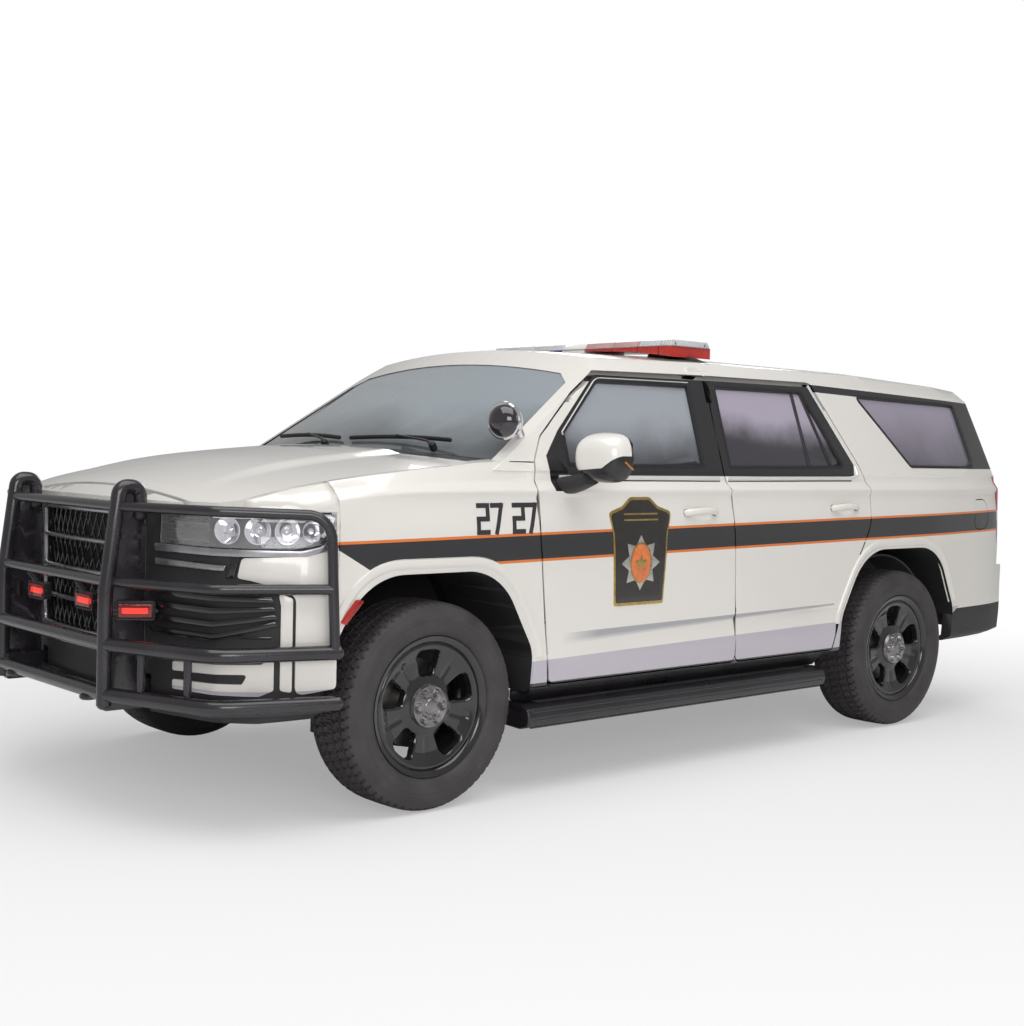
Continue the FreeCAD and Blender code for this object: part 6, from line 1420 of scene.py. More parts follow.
for side, s in (("left", 1), ("right", -1)):
    for part, ring in seal_runs.items():
        seals = bmesh.new()
        trim_strip(seals, ring, 0.0105, 0.0035, s, -0.012, closed=True)
        if part == "door_rear":
            for head_x, foot_x, half in ((-2.325, -2.345, 0.010), (-2.392, -2.520, 0.010)):
                trim_strip(seals, [(head_x, 1.695), (foot_x, 1.336)], half, -0.003, s, -0.012)
        holder = f"{part}_{side}"
        show(seals, f"{part}_seal_{side}", holder, "black_plastic", seal_rubber)
    belt = {"door_front": [(-0.655, 1.279), (-1.655, 1.277)], "door_rear": [(-1.710, 1.277), (-2.655, 1.281)]}
    for part, run in belt.items():
        moulding = bmesh.new()
        trim_strip(moulding, run, 0.0085, 0.0050, s)
        if part == "door_rear":
            trim_strip(moulding, rounded([(-2.648, 1.281), (-2.722, 1.292), (-2.704, 1.352), (-2.462, 1.733)],
                                         (0, 0.05, 0.06, 0))[:-1] + [(-2.462, 1.733)], 0.0085, 0.0045, s)
        else:
            trim_strip(moulding, rounded([(-0.716, 1.450), (-0.714, 1.464), (-0.972, 1.700), (-1.560, 1.706)],
                                         (0, 0.01, 0.08, 0)), 0.0028, 0.0050, s)
        show(moulding, f"{part}_moulding_{side}", f"{part}_{side}", "body_paint", bright_strip)
        # Painted shadow: a thin dark rubber strip laid just under each belt moulding stands in for the moulding's
        # shadow.
        shadow = bmesh.new()
        trim_strip(shadow, [(x, z - 0.0135) for x, z in run], 0.0045, 0.0010, s)
        show(shadow, f"{part}_belt_gasket_{side}", f"{part}_{side}", "black_plastic", seal_rubber)


# ---------------------------------------------------------------- wheel arch lips
# The rolled edges of the wheel openings: a soft flare pressed into the wing and the rear side, and
# painted with them.
def opening_line(axle_x, out):
    """The wheel opening's outline grown by out, from the front foot over the top to the rear foot."""
    radius = 0.520 + out
    half = radius - 0.012
    corners = [(axle_x + half, 0.50), (axle_x + half, 0.402 + radius * 0.36),
               (axle_x + radius * 0.62, 0.402 + radius), (axle_x - radius * 0.62, 0.402 + radius),
               (axle_x - half, 0.402 + radius * 0.36), (axle_x - half, 0.50)]
    return rounded(corners, (0, radius * 0.30, radius * 0.55, radius * 0.55, radius * 0.30, 0), 10)[1:-1]


lip_shape = [(-1.0, 0.0), (-0.86, 0.26), (-0.55, 0.62), (-0.15, 0.88), (0.35, 1.0), (0.80, 0.92), (1.0, 0.55),
             (1.0, 0.0)]
for side, s in (("left", 1), ("right", -1)):
    for axle_x, holder, low_front, low_rear in ((0.0, "fenders", 0.62, 0.47),
                                                (rear_axle_x, "side_" + side, 0.56, 0.62)):
        lips = bmesh.new()
        line = opening_line(axle_x, 0.024)
        line = [(x, z) for x, z in line if z > (low_front if x > axle_x else low_rear)]
        trim_strip(lips, line if s > 0 else list(reversed(line)), 0.027, 0.011, s, -0.020, profile=lip_shape)
        end = "front" if axle_x == 0.0 else "rear"
        show(lips, f"arch_lip_{end}_{side}", holder, "body_paint", plain_paint, crisp=50)


# ---------------------------------------------------------------- door mirrors
# Moulded housings on a black foot bolted to the door's front corner: painted cap, black lower shell and
# bezel, silvered glass behind and a thin amber repeater.
def mirror_shell(work, s):
    """The mirror head as a row of rounded sections from the door outwards."""
    low_z, high_z = 1.259, 1.462
    rings = []
    count = 13
    for k in range(count):
        t = k / (count - 1)
        end = 1.0 - abs(2 * t - 1) ** 4.5
        swell = max(end, 0.0) ** 0.30 if 0 < k < count - 1 else 0.22
        y = 1.038 + 0.213 * t
        rear_x = -0.795 + 0.004 * t
        front_x = -0.640 - 0.050 * t ** 1.6
        middle_z = (low_z + high_z) / 2 + 0.004 * (1 - t)
        tall = (high_z - low_z) / 2 * (0.90 + 0.10 * math.sin(math.pi * min(t * 1.1, 1.0))) * swell
        middle_x = rear_x + 0.030
        ring = []
        for j in range(32):
            angle = 2 * math.pi * j / 32
            c, d = math.cos(angle), math.sin(angle)
            if c >= 0:
                x = middle_x + (front_x - middle_x) * abs(c) ** 0.85 * (0.35 + 0.65 * swell)
            else:
                x = middle_x - (middle_x - rear_x) * abs(c) ** 0.45
            z = middle_z + math.copysign(abs(d) ** 0.72, d) * tall
            ring.append(work.verts.new(at(x, s * y, z)))
        rings.append(ring)
    join_rings(work, rings)
    work.faces.new(rings[0])
    work.faces.new(list(reversed(rings[-1])))


mirror_glass = finish("mirror_glass", (0.72, 0.75, 0.78), 0.03, metallic=1.0, mottle=0.02, rough_spread=0.01)
amber_lens = lamp_glass("amber_lens", (0.85, 0.28, 0.03), clear=0.4, ribs=0.3)
for side, s in (("left", 1), ("right", -1)):
    shell = bmesh.new()
    mirror_shell(shell, s)
    bmesh.ops.recalc_face_normals(shell, faces=shell.faces)
    bmesh.ops.subdivide_edges(shell, edges=shell.edges, cuts=1, smooth=0.6, use_grid_fill=True)
    cap_low = (at(-0.70, s * 1.160, 1.318), Vector((0, s * -0.10, 1)))
    cap_sweep = (at(-0.70, s * 1.185, 1.318), Vector((0, s * -0.62, 0.78)))
    cap_planes = (cap_low, cap_sweep, upright(-0.778))
    for place, normal in cap_planes:
        cut_at(shell, place, normal)
    head = finished(shell, "mirror_head")
    for polygon in head.polygons:
        painted = all((polygon.center - place).dot(normal) > 0 for place, normal in cap_planes)
        polygon.material_index = 0 if painted else 1
    show(head, f"mirror_head_{side}", "mirror_" + side, "body_paint", plain_paint, bezel_black, crisp=40,
         stands_for="mirror_" + side)
    foot = bmesh.new()
    rings = []
    for t in np.linspace(0, 1, 9):
        middle = at(-0.690 - 0.020 * t, s * (0.945 + 0.150 * t), 1.240 + 0.042 * t ** 1.5)
        wide, tall = 0.062 - 0.014 * t, 0.040 - 0.010 * t
        ring = []
        for j in range(20):
            c, d = math.cos(2 * math.pi * j / 20), math.sin(2 * math.pi * j / 20)
            ring.append(foot.verts.new(middle + Vector((math.copysign(abs(c) ** 0.7, c) * wide, 0,
                                                        math.copysign(abs(d) ** 0.7, d) * tall))))
        rings.append(ring)
    join_rings(foot, rings)
    foot.faces.new(rings[0])
    foot.faces.new(list(reversed(rings[-1])))
    show(foot, f"mirror_foot_{side}", "mirror_" + side, "black_plastic", grained_black, crisp=40)
    glass, rim, lamp = bmesh.new(), bmesh.new(), bmesh.new()
    pane = rounded([(1.058, 1.285), (1.232, 1.290), (1.236, 1.420), (1.215, 1.440), (1.070, 1.438),
                    (1.056, 1.42)], (0.03, 0.03, 0.02, 0.02, 0.02, 0.02))
    slab(glass, pane, lambda a, b, d: at(-0.7955 - d, s * a, b), 0.0012, 0.0004)
    ring = [at(-0.7955, s * a, b) for a, b in pane]
    flat_tube(rim, ring + ring[:1], 0.0032, sides=8)
    repeater = [at(-0.792 + 0.052 * t, s * (1.2500 - 0.004 * math.cos(math.pi * t)), 1.318 + 0.028 * t)
                for t in np.linspace(0, 1, 8)]
    sweep_tube(lamp, repeater, 0.0042, sides=10)
    show(glass, f"mirror_pane_{side}", "mirror_" + side, "bright_trim", mirror_glass)
    show(rim, f"mirror_rim_{side}", "mirror_" + side, "black_plastic", bezel_black)
    show(lamp, f"mirror_lamp_{side}", "mirror_" + side, "black_plastic", amber_lens)


# ---------------------------------------------------------------- pillar spotlight
# A chromed bowl with a smoked lens cover, on a chromed swivel bracket that is bolted through the driver's
# windscreen pillar.
smoked_cover = finish("smoked_cover", (0.020, 0.015, 0.022), 0.07, coat=1.0, mottle=0.2, mottle_size=0.05)
spot_middle = at(-0.410, 0.905, 1.500)
spot_turn = Matrix.Translation(spot_middle) @ Matrix.Rotation(math.radians(-72), 4, "Z")
bowl, cover, ring_work = bmesh.new(), bmesh.new(), bmesh.new()
turned(bowl, [(0.0001, -0.064), (0.020, -0.062), (0.042, -0.052), (0.060, -0.034), (0.069, -0.012),
              (0.0715, 0.004), (0.0715, 0.012)], 48)
turned(ring_work, [(0.0700, 0.008), (0.0755, 0.007), (0.0775, 0.012), (0.0760, 0.020), (0.0700, 0.023),
                   (0.0640, 0.022)], 48)
turned(cover, [(0.0665, 0.018), (0.0640, 0.030), (0.0560, 0.043), (0.0420, 0.054), (0.0240, 0.061),
               (0.0080, 0.0635), (0.0001, 0.0638)], 48)
for work, name, material in ((bowl, "spotlight_bowl", chrome), (ring_work, "spotlight_rim", chrome),
                             (cover, "spotlight_cover", smoked_cover)):
    bmesh.ops.transform(work, matrix=spot_turn, verts=work.verts)
    show(work, name, "spotlight", "bright_trim", material,
         stands_for="spotlight" if name == "spotlight_bowl" else None)
stem = bmesh.new()
sweep_tube(stem, bent([spot_middle + Vector((-0.035, -0.010, -0.030)), at(-0.500, 0.893, 1.447),
                       at(-0.560, 0.880, 1.425), at(-0.610, 0.868, 1.424)], (0.02, 0.03)), 0.0095, sides=16)
sweep_tube(stem, [at(-0.478, 0.900, 1.470), at(-0.500, 0.893, 1.445)], 0.019, sides=20)
sweep_tube(stem, [at(-0.560, 0.884, 1.426), at(-0.605, 0.868, 1.420)], 0.021, sides=20)
for k in range(4):
    bolt(stem, at(-0.555 - 0.014 * k, 0.904 - 0.004 * k, 1.434 - 0.002 * k), Matrix.Rotation(math.pi / 2, 4, "X"),
         0.006, 0.005, 0.010)
show(stem, "spotlight_stem", "spotlight", "bright_trim", chrome)


# ---------------------------------------------------------------- roof light bar
# A low aluminium tray under moulded lens modules: blue on the right, red on the left, clear at the ends
# and a white spine in the middle, on black feet clamped to the roof.
def roof_under(y):
    """Height of the roof's crown line under the bar."""
    return 1.866 - 0.055 * (y / 0.738) ** 2


def lower_lens(work, y0, y1, high_z):
    """The coloured foot of a lens module, cut below to the roof's curve."""
    line = [(y0 + (y1 - y0) * k / 4, roof_under(y0 + (y1 - y0) * k / 4) + 0.012) for k in range(5)]
    slab(work, line + [(y1, high_z), (y0, high_z)], facing_x(-1.944), 0.288, 0.0018)


def upper_lens(work, y0, y1, low_z, high_z):
    """The upper half of a lens module, an eased box leaning inwards to its top."""
    outline = [(-0.141, low_z), (0.141, low_z), (0.122, high_z), (-0.122, high_z)]
    slab(work, rounded(outline, (0.002, 0.002, 0.012, 0.012)), lambda a, b, d: at(-1.800 + a, y0 + d, b), y1 - y0,
         0.0018)


bar_blue = lamp_glass("bar_blue", (0.03, 0.07, 0.55), clear=0.35, ribs=0.4, rib_pitch=0.008)
bar_red = lamp_glass("bar_red", (0.72, 0.035, 0.02), clear=0.35, ribs=0.4, rib_pitch=0.008)
bar_pink = lamp_glass("bar_pink", (0.86, 0.50, 0.48), clear=0.45, ribs=0.4, rib_pitch=0.008)
bar_clear = lamp_glass("bar_clear", (0.90, 0.91, 0.93), clear=0.45, ribs=0.4, rib_pitch=0.008)
bar_white = finish("bar_white", (0.82, 0.80, 0.77), 0.35, coat=0.3, mottle=0.05, grain=0.1, grain_size=0.002)
tray_alloy = finish("tray_alloy", (0.42, 0.42, 0.44), 0.35, metallic=0.8, mottle=0.2, grain=0.15,
                    grain_size=0.002)
# from y, to y, lower band, upper band
bar_modules = [(-0.632, -0.560, bar_clear, bar_clear), (-0.556, -0.330, bar_blue, bar_clear),
               (-0.326, -0.110, bar_blue, bar_clear), (0.062, 0.250, bar_red, bar_pink),
               (0.254, 0.420, bar_red, bar_pink), (0.424, 0.560, bar_red, bar_clear),
               (0.564, 0.632, bar_red, bar_clear)]
by_lens = {}
for y0, y1, lower, upper in bar_modules:
    for material in (lower, upper):
        if material.name not in by_lens:
            by_lens[material.name] = (bmesh.new(), material)
    lower_lens(by_lens[lower.name][0], y0, y1, 1.8885)
    upper_lens(by_lens[upper.name][0], y0, y1, 1.8890, 1.9185)
for name, (work, material) in by_lens.items():
    show(work, name + "_modules", "light_bar_lenses", "lamp_red", material,
         stands_for="light_bar_lenses" if name == "bar_red" else None)
reflectors = bmesh.new()
for k in range(22):
    y = -0.61 + k * 0.058
    if -0.12 < y < 0.05:
        continue
    for s in (1, -1):
        slab(reflectors, oblong(-0.024, 1.8905, 0.024, 1.912, 0.004),
             lambda a, b, d: at(-1.800 + s * (0.098 + d), y + a, b), 0.010, 0.002)
show(reflectors, "bar_reflectors", "light_bar_lenses", "bright_trim", chrome)
tray, spine, feet = bmesh.new(), bmesh.new(), bmesh.new()
slab(tray, oblong(-1.948, -0.638, -1.652, 0.638, 0.03), lambda a, b, d: at(a, b, 1.8870 + d), 0.0030, 0.001)
for s in (1, -1):
    slab(feet, rounded([(0.415, 1.8600), (0.525, 1.8560), (0.540, 1.820), (0.400, 1.830)], 0.008),
         facing_x(-1.860, s), 0.120, 0.004)
    slab(feet, rounded([(0.500, 1.8735), (0.540, 1.8735), (0.745, 1.806), (0.752, 1.785), (0.735, 1.790),
                        (0.520, 1.850)], 0.005), facing_x(-1.820, s), 0.040, 0.002)
slab(spine, rounded([(-0.148, 1.868), (0.148, 1.868), (0.136, 1.904), (0.110, 1.9185), (-0.110, 1.9185),
                     (-0.136, 1.904)], 0.008), lambda a, b, d: at(-1.800 + a, -0.106 + d, b), 0.164, 0.004)
show(tray, "bar_tray", "light_bar", "black_plastic", tray_alloy, stands_for="light_bar")
show(spine, "bar_spine", "light_bar", "body_paint", bar_white)
show(feet, "bar_feet", "light_bar", "black_plastic", grained_black)


# ---------------------------------------------------------------- running boards
# Oval steel steps with three rolled ribs along the outer face and a grooved plastic tread, on brackets
# bolted up under the sill.
step_black = finish("step_black", (0.014, 0.012, 0.015), 0.30, coat=0.4, mottle=0.25, mottle_size=0.15,
                    grain=0.25, grain_size=0.002)
boards, treads = bmesh.new(), bmesh.new()
for s in (1, -1):
    outline = rounded([(0.850, 0.264), (0.958, 0.259), (1.014, 0.276), (1.0175, 0.312), (1.010, 0.345),
                       (0.962, 0.3605), (0.850, 0.3605)], (0.02, 0.05, 0.03, 0.03, 0.03, 0.05, 0.01), 6)
    slab(boards, outline, facing_x(-2.428, s), 1.956, 0.012, 3)
    for rib_y, rib_z in ((0.998, 0.270), (1.0125, 0.300), (1.0095, 0.334)):
        sweep_tube(boards, [at(-2.400, s * rib_y, rib_z), at(-0.500, s * rib_y, rib_z)], 0.0055, sides=10)
    for bracket_x in (-0.650, -1.420, -2.200):
        slab(boards, rounded([(0.860, 0.350), (0.940, 0.350), (0.905, 0.392), (0.900, 0.400), (0.850, 0.400)],
                             0.008), facing_x(bracket_x - 0.030, s), 0.060, 0.004)
    for k in range(7):
        groove_y = 0.868 + k * 0.0145
        sweep_tube(treads, [at(-2.330, s * groove_y, 0.3600), at(-0.570, s * groove_y, 0.3600)], 0.0042, sides=8)
    for k in range(44):
        x = -2.320 + k * 0.040
        flat_tube(treads, [at(x, s * 0.866, 0.3595), at(x, s * 0.956, 0.3595)], 0.0030, sides=6)
    slab(boards, rounded([(0.852, 0.3610), (0.925, 0.3610), (0.965, 0.400), (0.984, 0.4290), (0.930, 0.4320),
                          (0.852, 0.4050)], (0, 0.01, 0.02, 0.005, 0.005, 0)), facing_x(-2.440, s), 1.930, 0.003)
show(boards, "step_boards", "running_boards", "black_plastic", step_black, stands_for="running_boards")
show(treads, "step_treads", "running_boards", "black_plastic", grained_black)


# ---------------------------------------------------------------- door handles
# Painted strap handles over finger cups pressed in the door skins, each end seated on a rubber gasket and
# screwed on from inside the door.
grip_places = {"front": (-1.494, 1.126), "rear": (-2.563, 1.136)}
for side, s in (("left", 1), ("right", -1)):
    for end, (x, z) in grip_places.items():
        grips, gaskets = bmesh.new(), bmesh.new()

        def proud(along, up, out):
            return at(x + along, s * (side_y(x + along, z + up, True) + out), z + up)

        line = [proud(along, 0.008 - 0.010 * (along / 0.105) ** 2, 0.026 - 0.024 * abs(along / 0.105) ** 3.2)
                for along in np.linspace(-0.105, 0.105, 15)]
        sweep_tube(grips, line, 0.0145, sides=16, squash=(0.62, 1.0))
        for along in (-0.096, 0.096):
            slab(gaskets, oblong(along - 0.015, -0.016, along + 0.015, 0.014, 0.010),
                 lambda a, b, d: proud(a, b, -0.004 + d), 0.0050, 0.0015)
        holder = f"door_{end}_{side}"
        show(grips, f"handle_{end}_{side}", holder, "body_paint", plain_paint)
        show(gaskets, f"handle_gasket_{end}_{side}", holder, "black_plastic", seal_rubber)


# ---------------------------------------------------------------- door shield, fleet number and side markers
# A plain dark shield with a gold edge, an orange oval and a star, plain printed fleet digits, and
# red moulded side marker lamps clipped to the front wheel lips.
def on_flank(x, z, s, out):
    return at(x, s * (side_y(x, z, True) + side_relief(x, z)), z) + side_normal(x, z, s) * out


def decal(work, outline, s, low, high, bevel=0.0006):
    """A thin plate of (x, z) outline that follows the body side."""
    flat = bmesh.new()
    slab(flat, outline, lambda a, b, d: Vector((a, b, low + d)), high - low, bevel)
    for axis in (0, 1):
        first = min(point[axis] for point in outline)
        last = max(point[axis] for point in outline)
        way = Vector((1 - axis, axis, 0))
        for cut in np.arange(first + 0.03, last, 0.03):
            cut_at(flat, way * cut, way)
    for vert in flat.verts:
        vert.co = on_flank(vert.co.x, vert.co.y, s, vert.co.z)
    pour(flat, work)


shield_black = finish("shield_black", (0.020, 0.017, 0.014), 0.30, coat=0.6, mottle=0.2, mottle_size=0.05)
shield_gold = finish("shield_gold", (0.52, 0.36, 0.12), 0.28, metallic=0.85, mottle=0.2, mottle_size=0.03)
shield_orange = finish("shield_orange", (0.74, 0.20, 0.06), 0.35, coat=0.5, mottle=0.15, mottle_size=0.03)
shield_silver = finish("shield_silver", (0.58, 0.56, 0.54), 0.30, metallic=0.8, mottle=0.2, mottle_size=0.03)
digit_ink = finish("digit_ink", (0.030, 0.028, 0.032), 0.35, coat=0.3, mottle=0.1)
shield_x, shield_z = -1.106, 0.960
badge_z = shield_z - 0.045


def shield_line(scale):
    corners = [(-0.150, -0.225), (0.150, -0.225), (0.168, 0.080), (0.192, 0.172), (0.110, 0.196), (0.060, 0.236),
               (-0.060, 0.236), (-0.110, 0.196), (-0.192, 0.172), (-0.168, 0.080)]
    return [(shield_x + a * scale, shield_z + b * scale) for a, b in
            rounded(corners, (0.01, 0.01, 0.06, 0.02, 0.03, 0.05, 0.05, 0.03, 0.02, 0.06), 4)]


def star_line(outer, inner, points):
    made = []
    for k in range(points * 2):
        reach = outer if k % 2 == 0 else inner
        angle = math.pi * k / points
        made.append((shield_x + reach * math.sin(angle), badge_z + reach * math.cos(angle)))
    return made


def oval_line(half_x, half_z):
    turns = [k * math.pi / 18 for k in range(36)]
    return [(shield_x + half_x * math.cos(turn), badge_z + half_z * math.sin(turn)) for turn in turns]


for side, s in (("left", 1), ("right", -1)):
    gold, black, silver, orange = bmesh.new(), bmesh.new(), bmesh.new(), bmesh.new()
    decal(gold, shield_line(1.0), s, -0.004, 0.0030)
    decal(black, shield_line(0.945), s, 0.0010, 0.0042)
    decal(silver, star_line(0.118, 0.078, 8), s, 0.0030, 0.0056)
    decal(gold, oval_line(0.066, 0.088), s, 0.0040, 0.0066)
    decal(orange, oval_line(0.058, 0.080), s, 0.0050, 0.0076)
    decal(gold, star_line(0.040, 0.017, 5), s, 0.0060, 0.0086)
    for bar_z in (0.135, 0.160):
        decal(gold, [(shield_x - 0.105, shield_z + bar_z), (shield_x + 0.105, shield_z + bar_z),
                     (shield_x + 0.105, shield_z + bar_z + 0.007), (shield_x - 0.105, shield_z + bar_z + 0.007)],
              s, 0.0030, 0.0052)
    holder = f"door_front_{side}"
    for work, name, material in ((gold, "gold", shield_gold), (black, "field", shield_black),
                                 (silver, "star", shield_silver), (orange, "oval", shield_orange)):
        show(work, f"shield_{name}_{side}", holder, "black_plastic", material)
    digits = bmesh.new()
    # Strokes of plain printed digits: each is a row of (a, b) corners in a cell 0.10 wide and 0.104 tall.
    strokes = [[(0.010, 0.104), (0.058, 0.104), (0.058, 0.052), (0.010, 0.052), (0.010, 0.0), (0.060, 0.0)],
               [(0.0, 0.104), (0.048, 0.104), (0.022, 0.0)]]
    first_x = -0.190 if s > 0 else -0.480
    for digit, offset in ((0, 0.0), (1, 0.082), (0, 0.186), (1, 0.262)):
        row = [(a + offset, b) for a, b in strokes[digit]]
        for (a0, b0), (a1, b1) in zip(row, row[1:]):
            length = math.hypot(a1 - a0, b1 - b0)
            along = ((a1 - a0) / length * 0.0095, (b1 - b0) / length * 0.0095)
            across = (-along[1], along[0])
            corners = [(a0 - along[0] - across[0], b0 - along[1] - across[1]),
                       (a1 + along[0] - across[0], b1 + along[1] - across[1]),
                       (a1 + along[0] + across[0], b1 + along[1] + across[1]),
                       (a0 - along[0] + across[0], b0 - along[1] + across[1])]
            decal(digits, [(first_x - a if s > 0 else first_x + a, 1.063 + b) for a, b in corners], s, -0.002,
                  0.0016, 0.0)
    show(digits, f"fleet_digits_{side}", "fenders", "black_plastic", digit_ink)
    marker = bmesh.new()
    decal(marker, rounded([(0.414, 0.742), (0.439, 0.752), (0.374, 0.832), (0.338, 0.828)],
                          (0.005, 0.006, 0.006, 0.006)), s, -0.004, 0.0075, 0.0015)
    show(marker, f"side_marker_{side}", "fenders", "lamp_red", red_lens)


# ---------------------------------------------------------------- windscreen wipers
# Pressed steel arms in black on splined pivots in the cowl, with rubber blades parked along the foot of
# the glass.
def on_screen(y, up, out=0.0):
    """A point on the windscreen: up runs from its base to its head, out stands off the glass."""
    return at(-0.235 - 0.710 * up - y * y / 9.0 + 0.52 * out, y, 1.380 + 0.433 * up + 0.854 * out)


wipers = bmesh.new()
for inner_y, outer_y in ((0.02, 0.66), (-0.60, -0.06)):
    blade = [on_screen(inner_y + (outer_y - inner_y) * t, 0.070 + 0.02 * math.sin(math.pi * t), 0.010)
             for t in np.linspace(0, 1, 12)]
    sweep_tube(wipers, blade, 0.0065, sides=8, squash=(1.0, 1.4))
    hub_y = outer_y - 0.10
    arm = [on_screen(hub_y + 0.05, 0.005, 0.012), on_screen(hub_y, 0.035, 0.022),
           on_screen((inner_y + outer_y) / 2, 0.082, 0.022)]
    sweep_tube(wipers, bent(arm, (0.05,)), 0.0085, sides=10, squash=(1.0, 0.6))
    sweep_tube(wipers, [on_screen(hub_y + 0.05, 0.005, -0.004), on_screen(hub_y + 0.05, 0.005, 0.022)], 0.016,
               sides=16)
show(wipers, "wipers", "body", "black_plastic", seal_rubber)


# ---------------------------------------------------------------- tail lamps and tailgate furniture
# Ribbed red lamp blocks with a clear reversing band, a pull handle over a blank pale plate in a bolted
# frame, a rear wiper and small red bumper reflectors.
tail_red = lamp_glass("tail_red", (0.50, 0.020, 0.016), clear=0.15, ribs=0.35, rib_pitch=0.006)
tail_clear = lamp_glass("tail_clear", (0.80, 0.80, 0.82), clear=0.3, ribs=0.35, rib_pitch=0.006)
tail_mesh = parted(frame["nodes"]["tail_lamps"].data, "tail_lamps", [level(1.045), level(1.105), level(1.275)])
zoned(tail_mesh, lambda x, y, z, n: 1 if 1.045 < z < 1.105 else 0)
show(tail_mesh, "tail_lamp_lenses", "tail_lamps", "lamp_red", tail_red, tail_clear, stands_for="tail_lamps")


def skin_tree(node):
    """A construction node's skin, ready to be hit by rays."""
    mesh = frame["nodes"][node].data
    return BVHTree.FromPolygons([v.co for v in mesh.vertices], [tuple(p.vertices) for p in mesh.polygons])


gate_tree, glass_tree, rear_tree = (skin_tree(node) for node in ("tailgate", "tailgate_glass", "rear_bumper"))


def on_gate(y, z, out, tree=gate_tree):
    """A point on the tailgate's outer face, standing out to the rear."""
    hit = tree.ray_cast(Vector((-4.0, y, z)), Vector((1, 0, 0)))[0]
    return hit + Vector((-out, 0, 0))


def flat_on_gate(middle_z, start):
    """Lays an outline flat over the tailgate, level with its face at middle_z."""
    return lambda a, b, d: on_gate(0.0, middle_z, start + d) + Vector((0, a, b - middle_z))


plate, plate_frame, pull, rear_wiper = bmesh.new(), bmesh.new(), bmesh.new(), bmesh.new()
plate_z = 0.985
slab(plate, oblong(-0.150, 0.912, 0.150, 1.058, 0.012), flat_on_gate(plate_z, 0.0035), 0.002, 0.0005)
slab(plate_frame, oblong(-0.160, 0.902, 0.160, 1.068, 0.014), flat_on_gate(plate_z, -0.010), 0.0125, 0.002)
slab(pull, rounded([(-0.28, 1.100), (0.28, 1.100), (0.30, 1.150), (-0.30, 1.150)], 0.012),
     flat_on_gate(1.125, -0.010), 0.024, 0.006)
for bolt_y in (-0.0889, 0.0889):
    for bolt_z in (0.9247, 1.0453):
        bolt(plate_frame, flat_on_gate(plate_z, 0.006)(bolt_y, bolt_z, 0.0),
             Matrix.Rotation(-math.pi / 2, 4, "Y"), 0.006, 0.005, 0.006, 12)
blade = [on_gate(-0.05 + 0.42 * t, 1.375 + 0.03 * math.sin(math.pi * t), 0.010, glass_tree)
         for t in np.linspace(0, 1, 9)]
sweep_tube(rear_wiper, blade, 0.0065, sides=8)
sweep_tube(rear_wiper, [on_gate(-0.02, 1.325, 0.012), on_gate(0.10, 1.375, 0.018, glass_tree),
                        on_gate(0.20, 1.395, 0.014, glass_tree)], 0.008, sides=8)
for work, name, slot, material in ((plate, "blank_plate", "bright_trim", bar_white),
                                   (plate_frame, "plate_frame", "black_plastic", grained_black),
                                   (pull, "tailgate_pull", "body_paint", bright_bar),
                                   (rear_wiper, "rear_wiper", "black_plastic", seal_rubber)):
    show(work, name, "tailgate", slot, material)
marks = bmesh.new()
for s in (1, -1):
    slab(marks, oblong(-0.070, -0.018, 0.070, 0.018, 0.006),
         lambda a, b, d: on_gate(s * 0.66 + a, 0.50 + b, -0.004 + d, rear_tree), 0.008, 0.0015)
show(marks, "bumper_reflectors", "rear_bumper", "lamp_red", tail_red)
# ---------------------------------------------------------------- seats
# Foam cushions under dark grey woven cloth with sewn channels and piping, on plastic-clad bases: two
# bucket seats in front and a bench behind, with headrests on steel posts.
def seat_cloth(name, colour):
    """Woven cloth: a fine over-and-under weave, slightly faded in patches, with a soft sheen."""
    made = finish(name, colour, 0.92, mottle=0.18, mottle_size=0.12, rough_spread=0.06, specular=0.25)
    tree = made.node_tree
    tree.nodes["skin"].inputs["Sheen Weight"].default_value = 0.35
    tree.nodes["skin"].inputs["Sheen Roughness"].default_value = 0.5
    place = put(tree, "TexCoord").outputs["Object"]
    threads = []
    for way in ("X", "Y", "Z"):
        thread = put(tree, "TexWave", Scale=90.0, Distortion=0.8, Detail=1.0, Vector=place)
        thread.bands_direction = way
        threads.append(thread.outputs["Fac"])
    woven = calc(tree, "ADD", calc(tree, "MULTIPLY", threads[0], threads[1]), threads[2])
    bumpy(tree, woven, 0.35, 0.0015)
    return made


dark_cloth = seat_cloth("dark_cloth", (0.050, 0.048, 0.052))
piping_cloth = seat_cloth("piping_cloth", (0.030, 0.029, 0.031))


def pad_point(u, v, w, half):
    """Pushes a point of the unit cube out to a crowned pad whose sides pull in between its corners."""
    p = [u, v, w]
    soft = []
    for k in range(3):
        a, b = p[(k + 1) % 3], p[(k + 2) % 3]
        soft.append(p[k] * math.sqrt(max(1 - 0.5 * a ** 8 - 0.5 * b ** 8 + a ** 8 * b ** 8 / 3, 0.0)))
    waist = 1.0 - 0.05 * (1 - w * w) * (abs(u) ** 6 + abs(v) ** 6) * 0.5
    return Vector((soft[0] * half[0] * waist, soft[1] * half[1] * waist, soft[2] * half[2]))


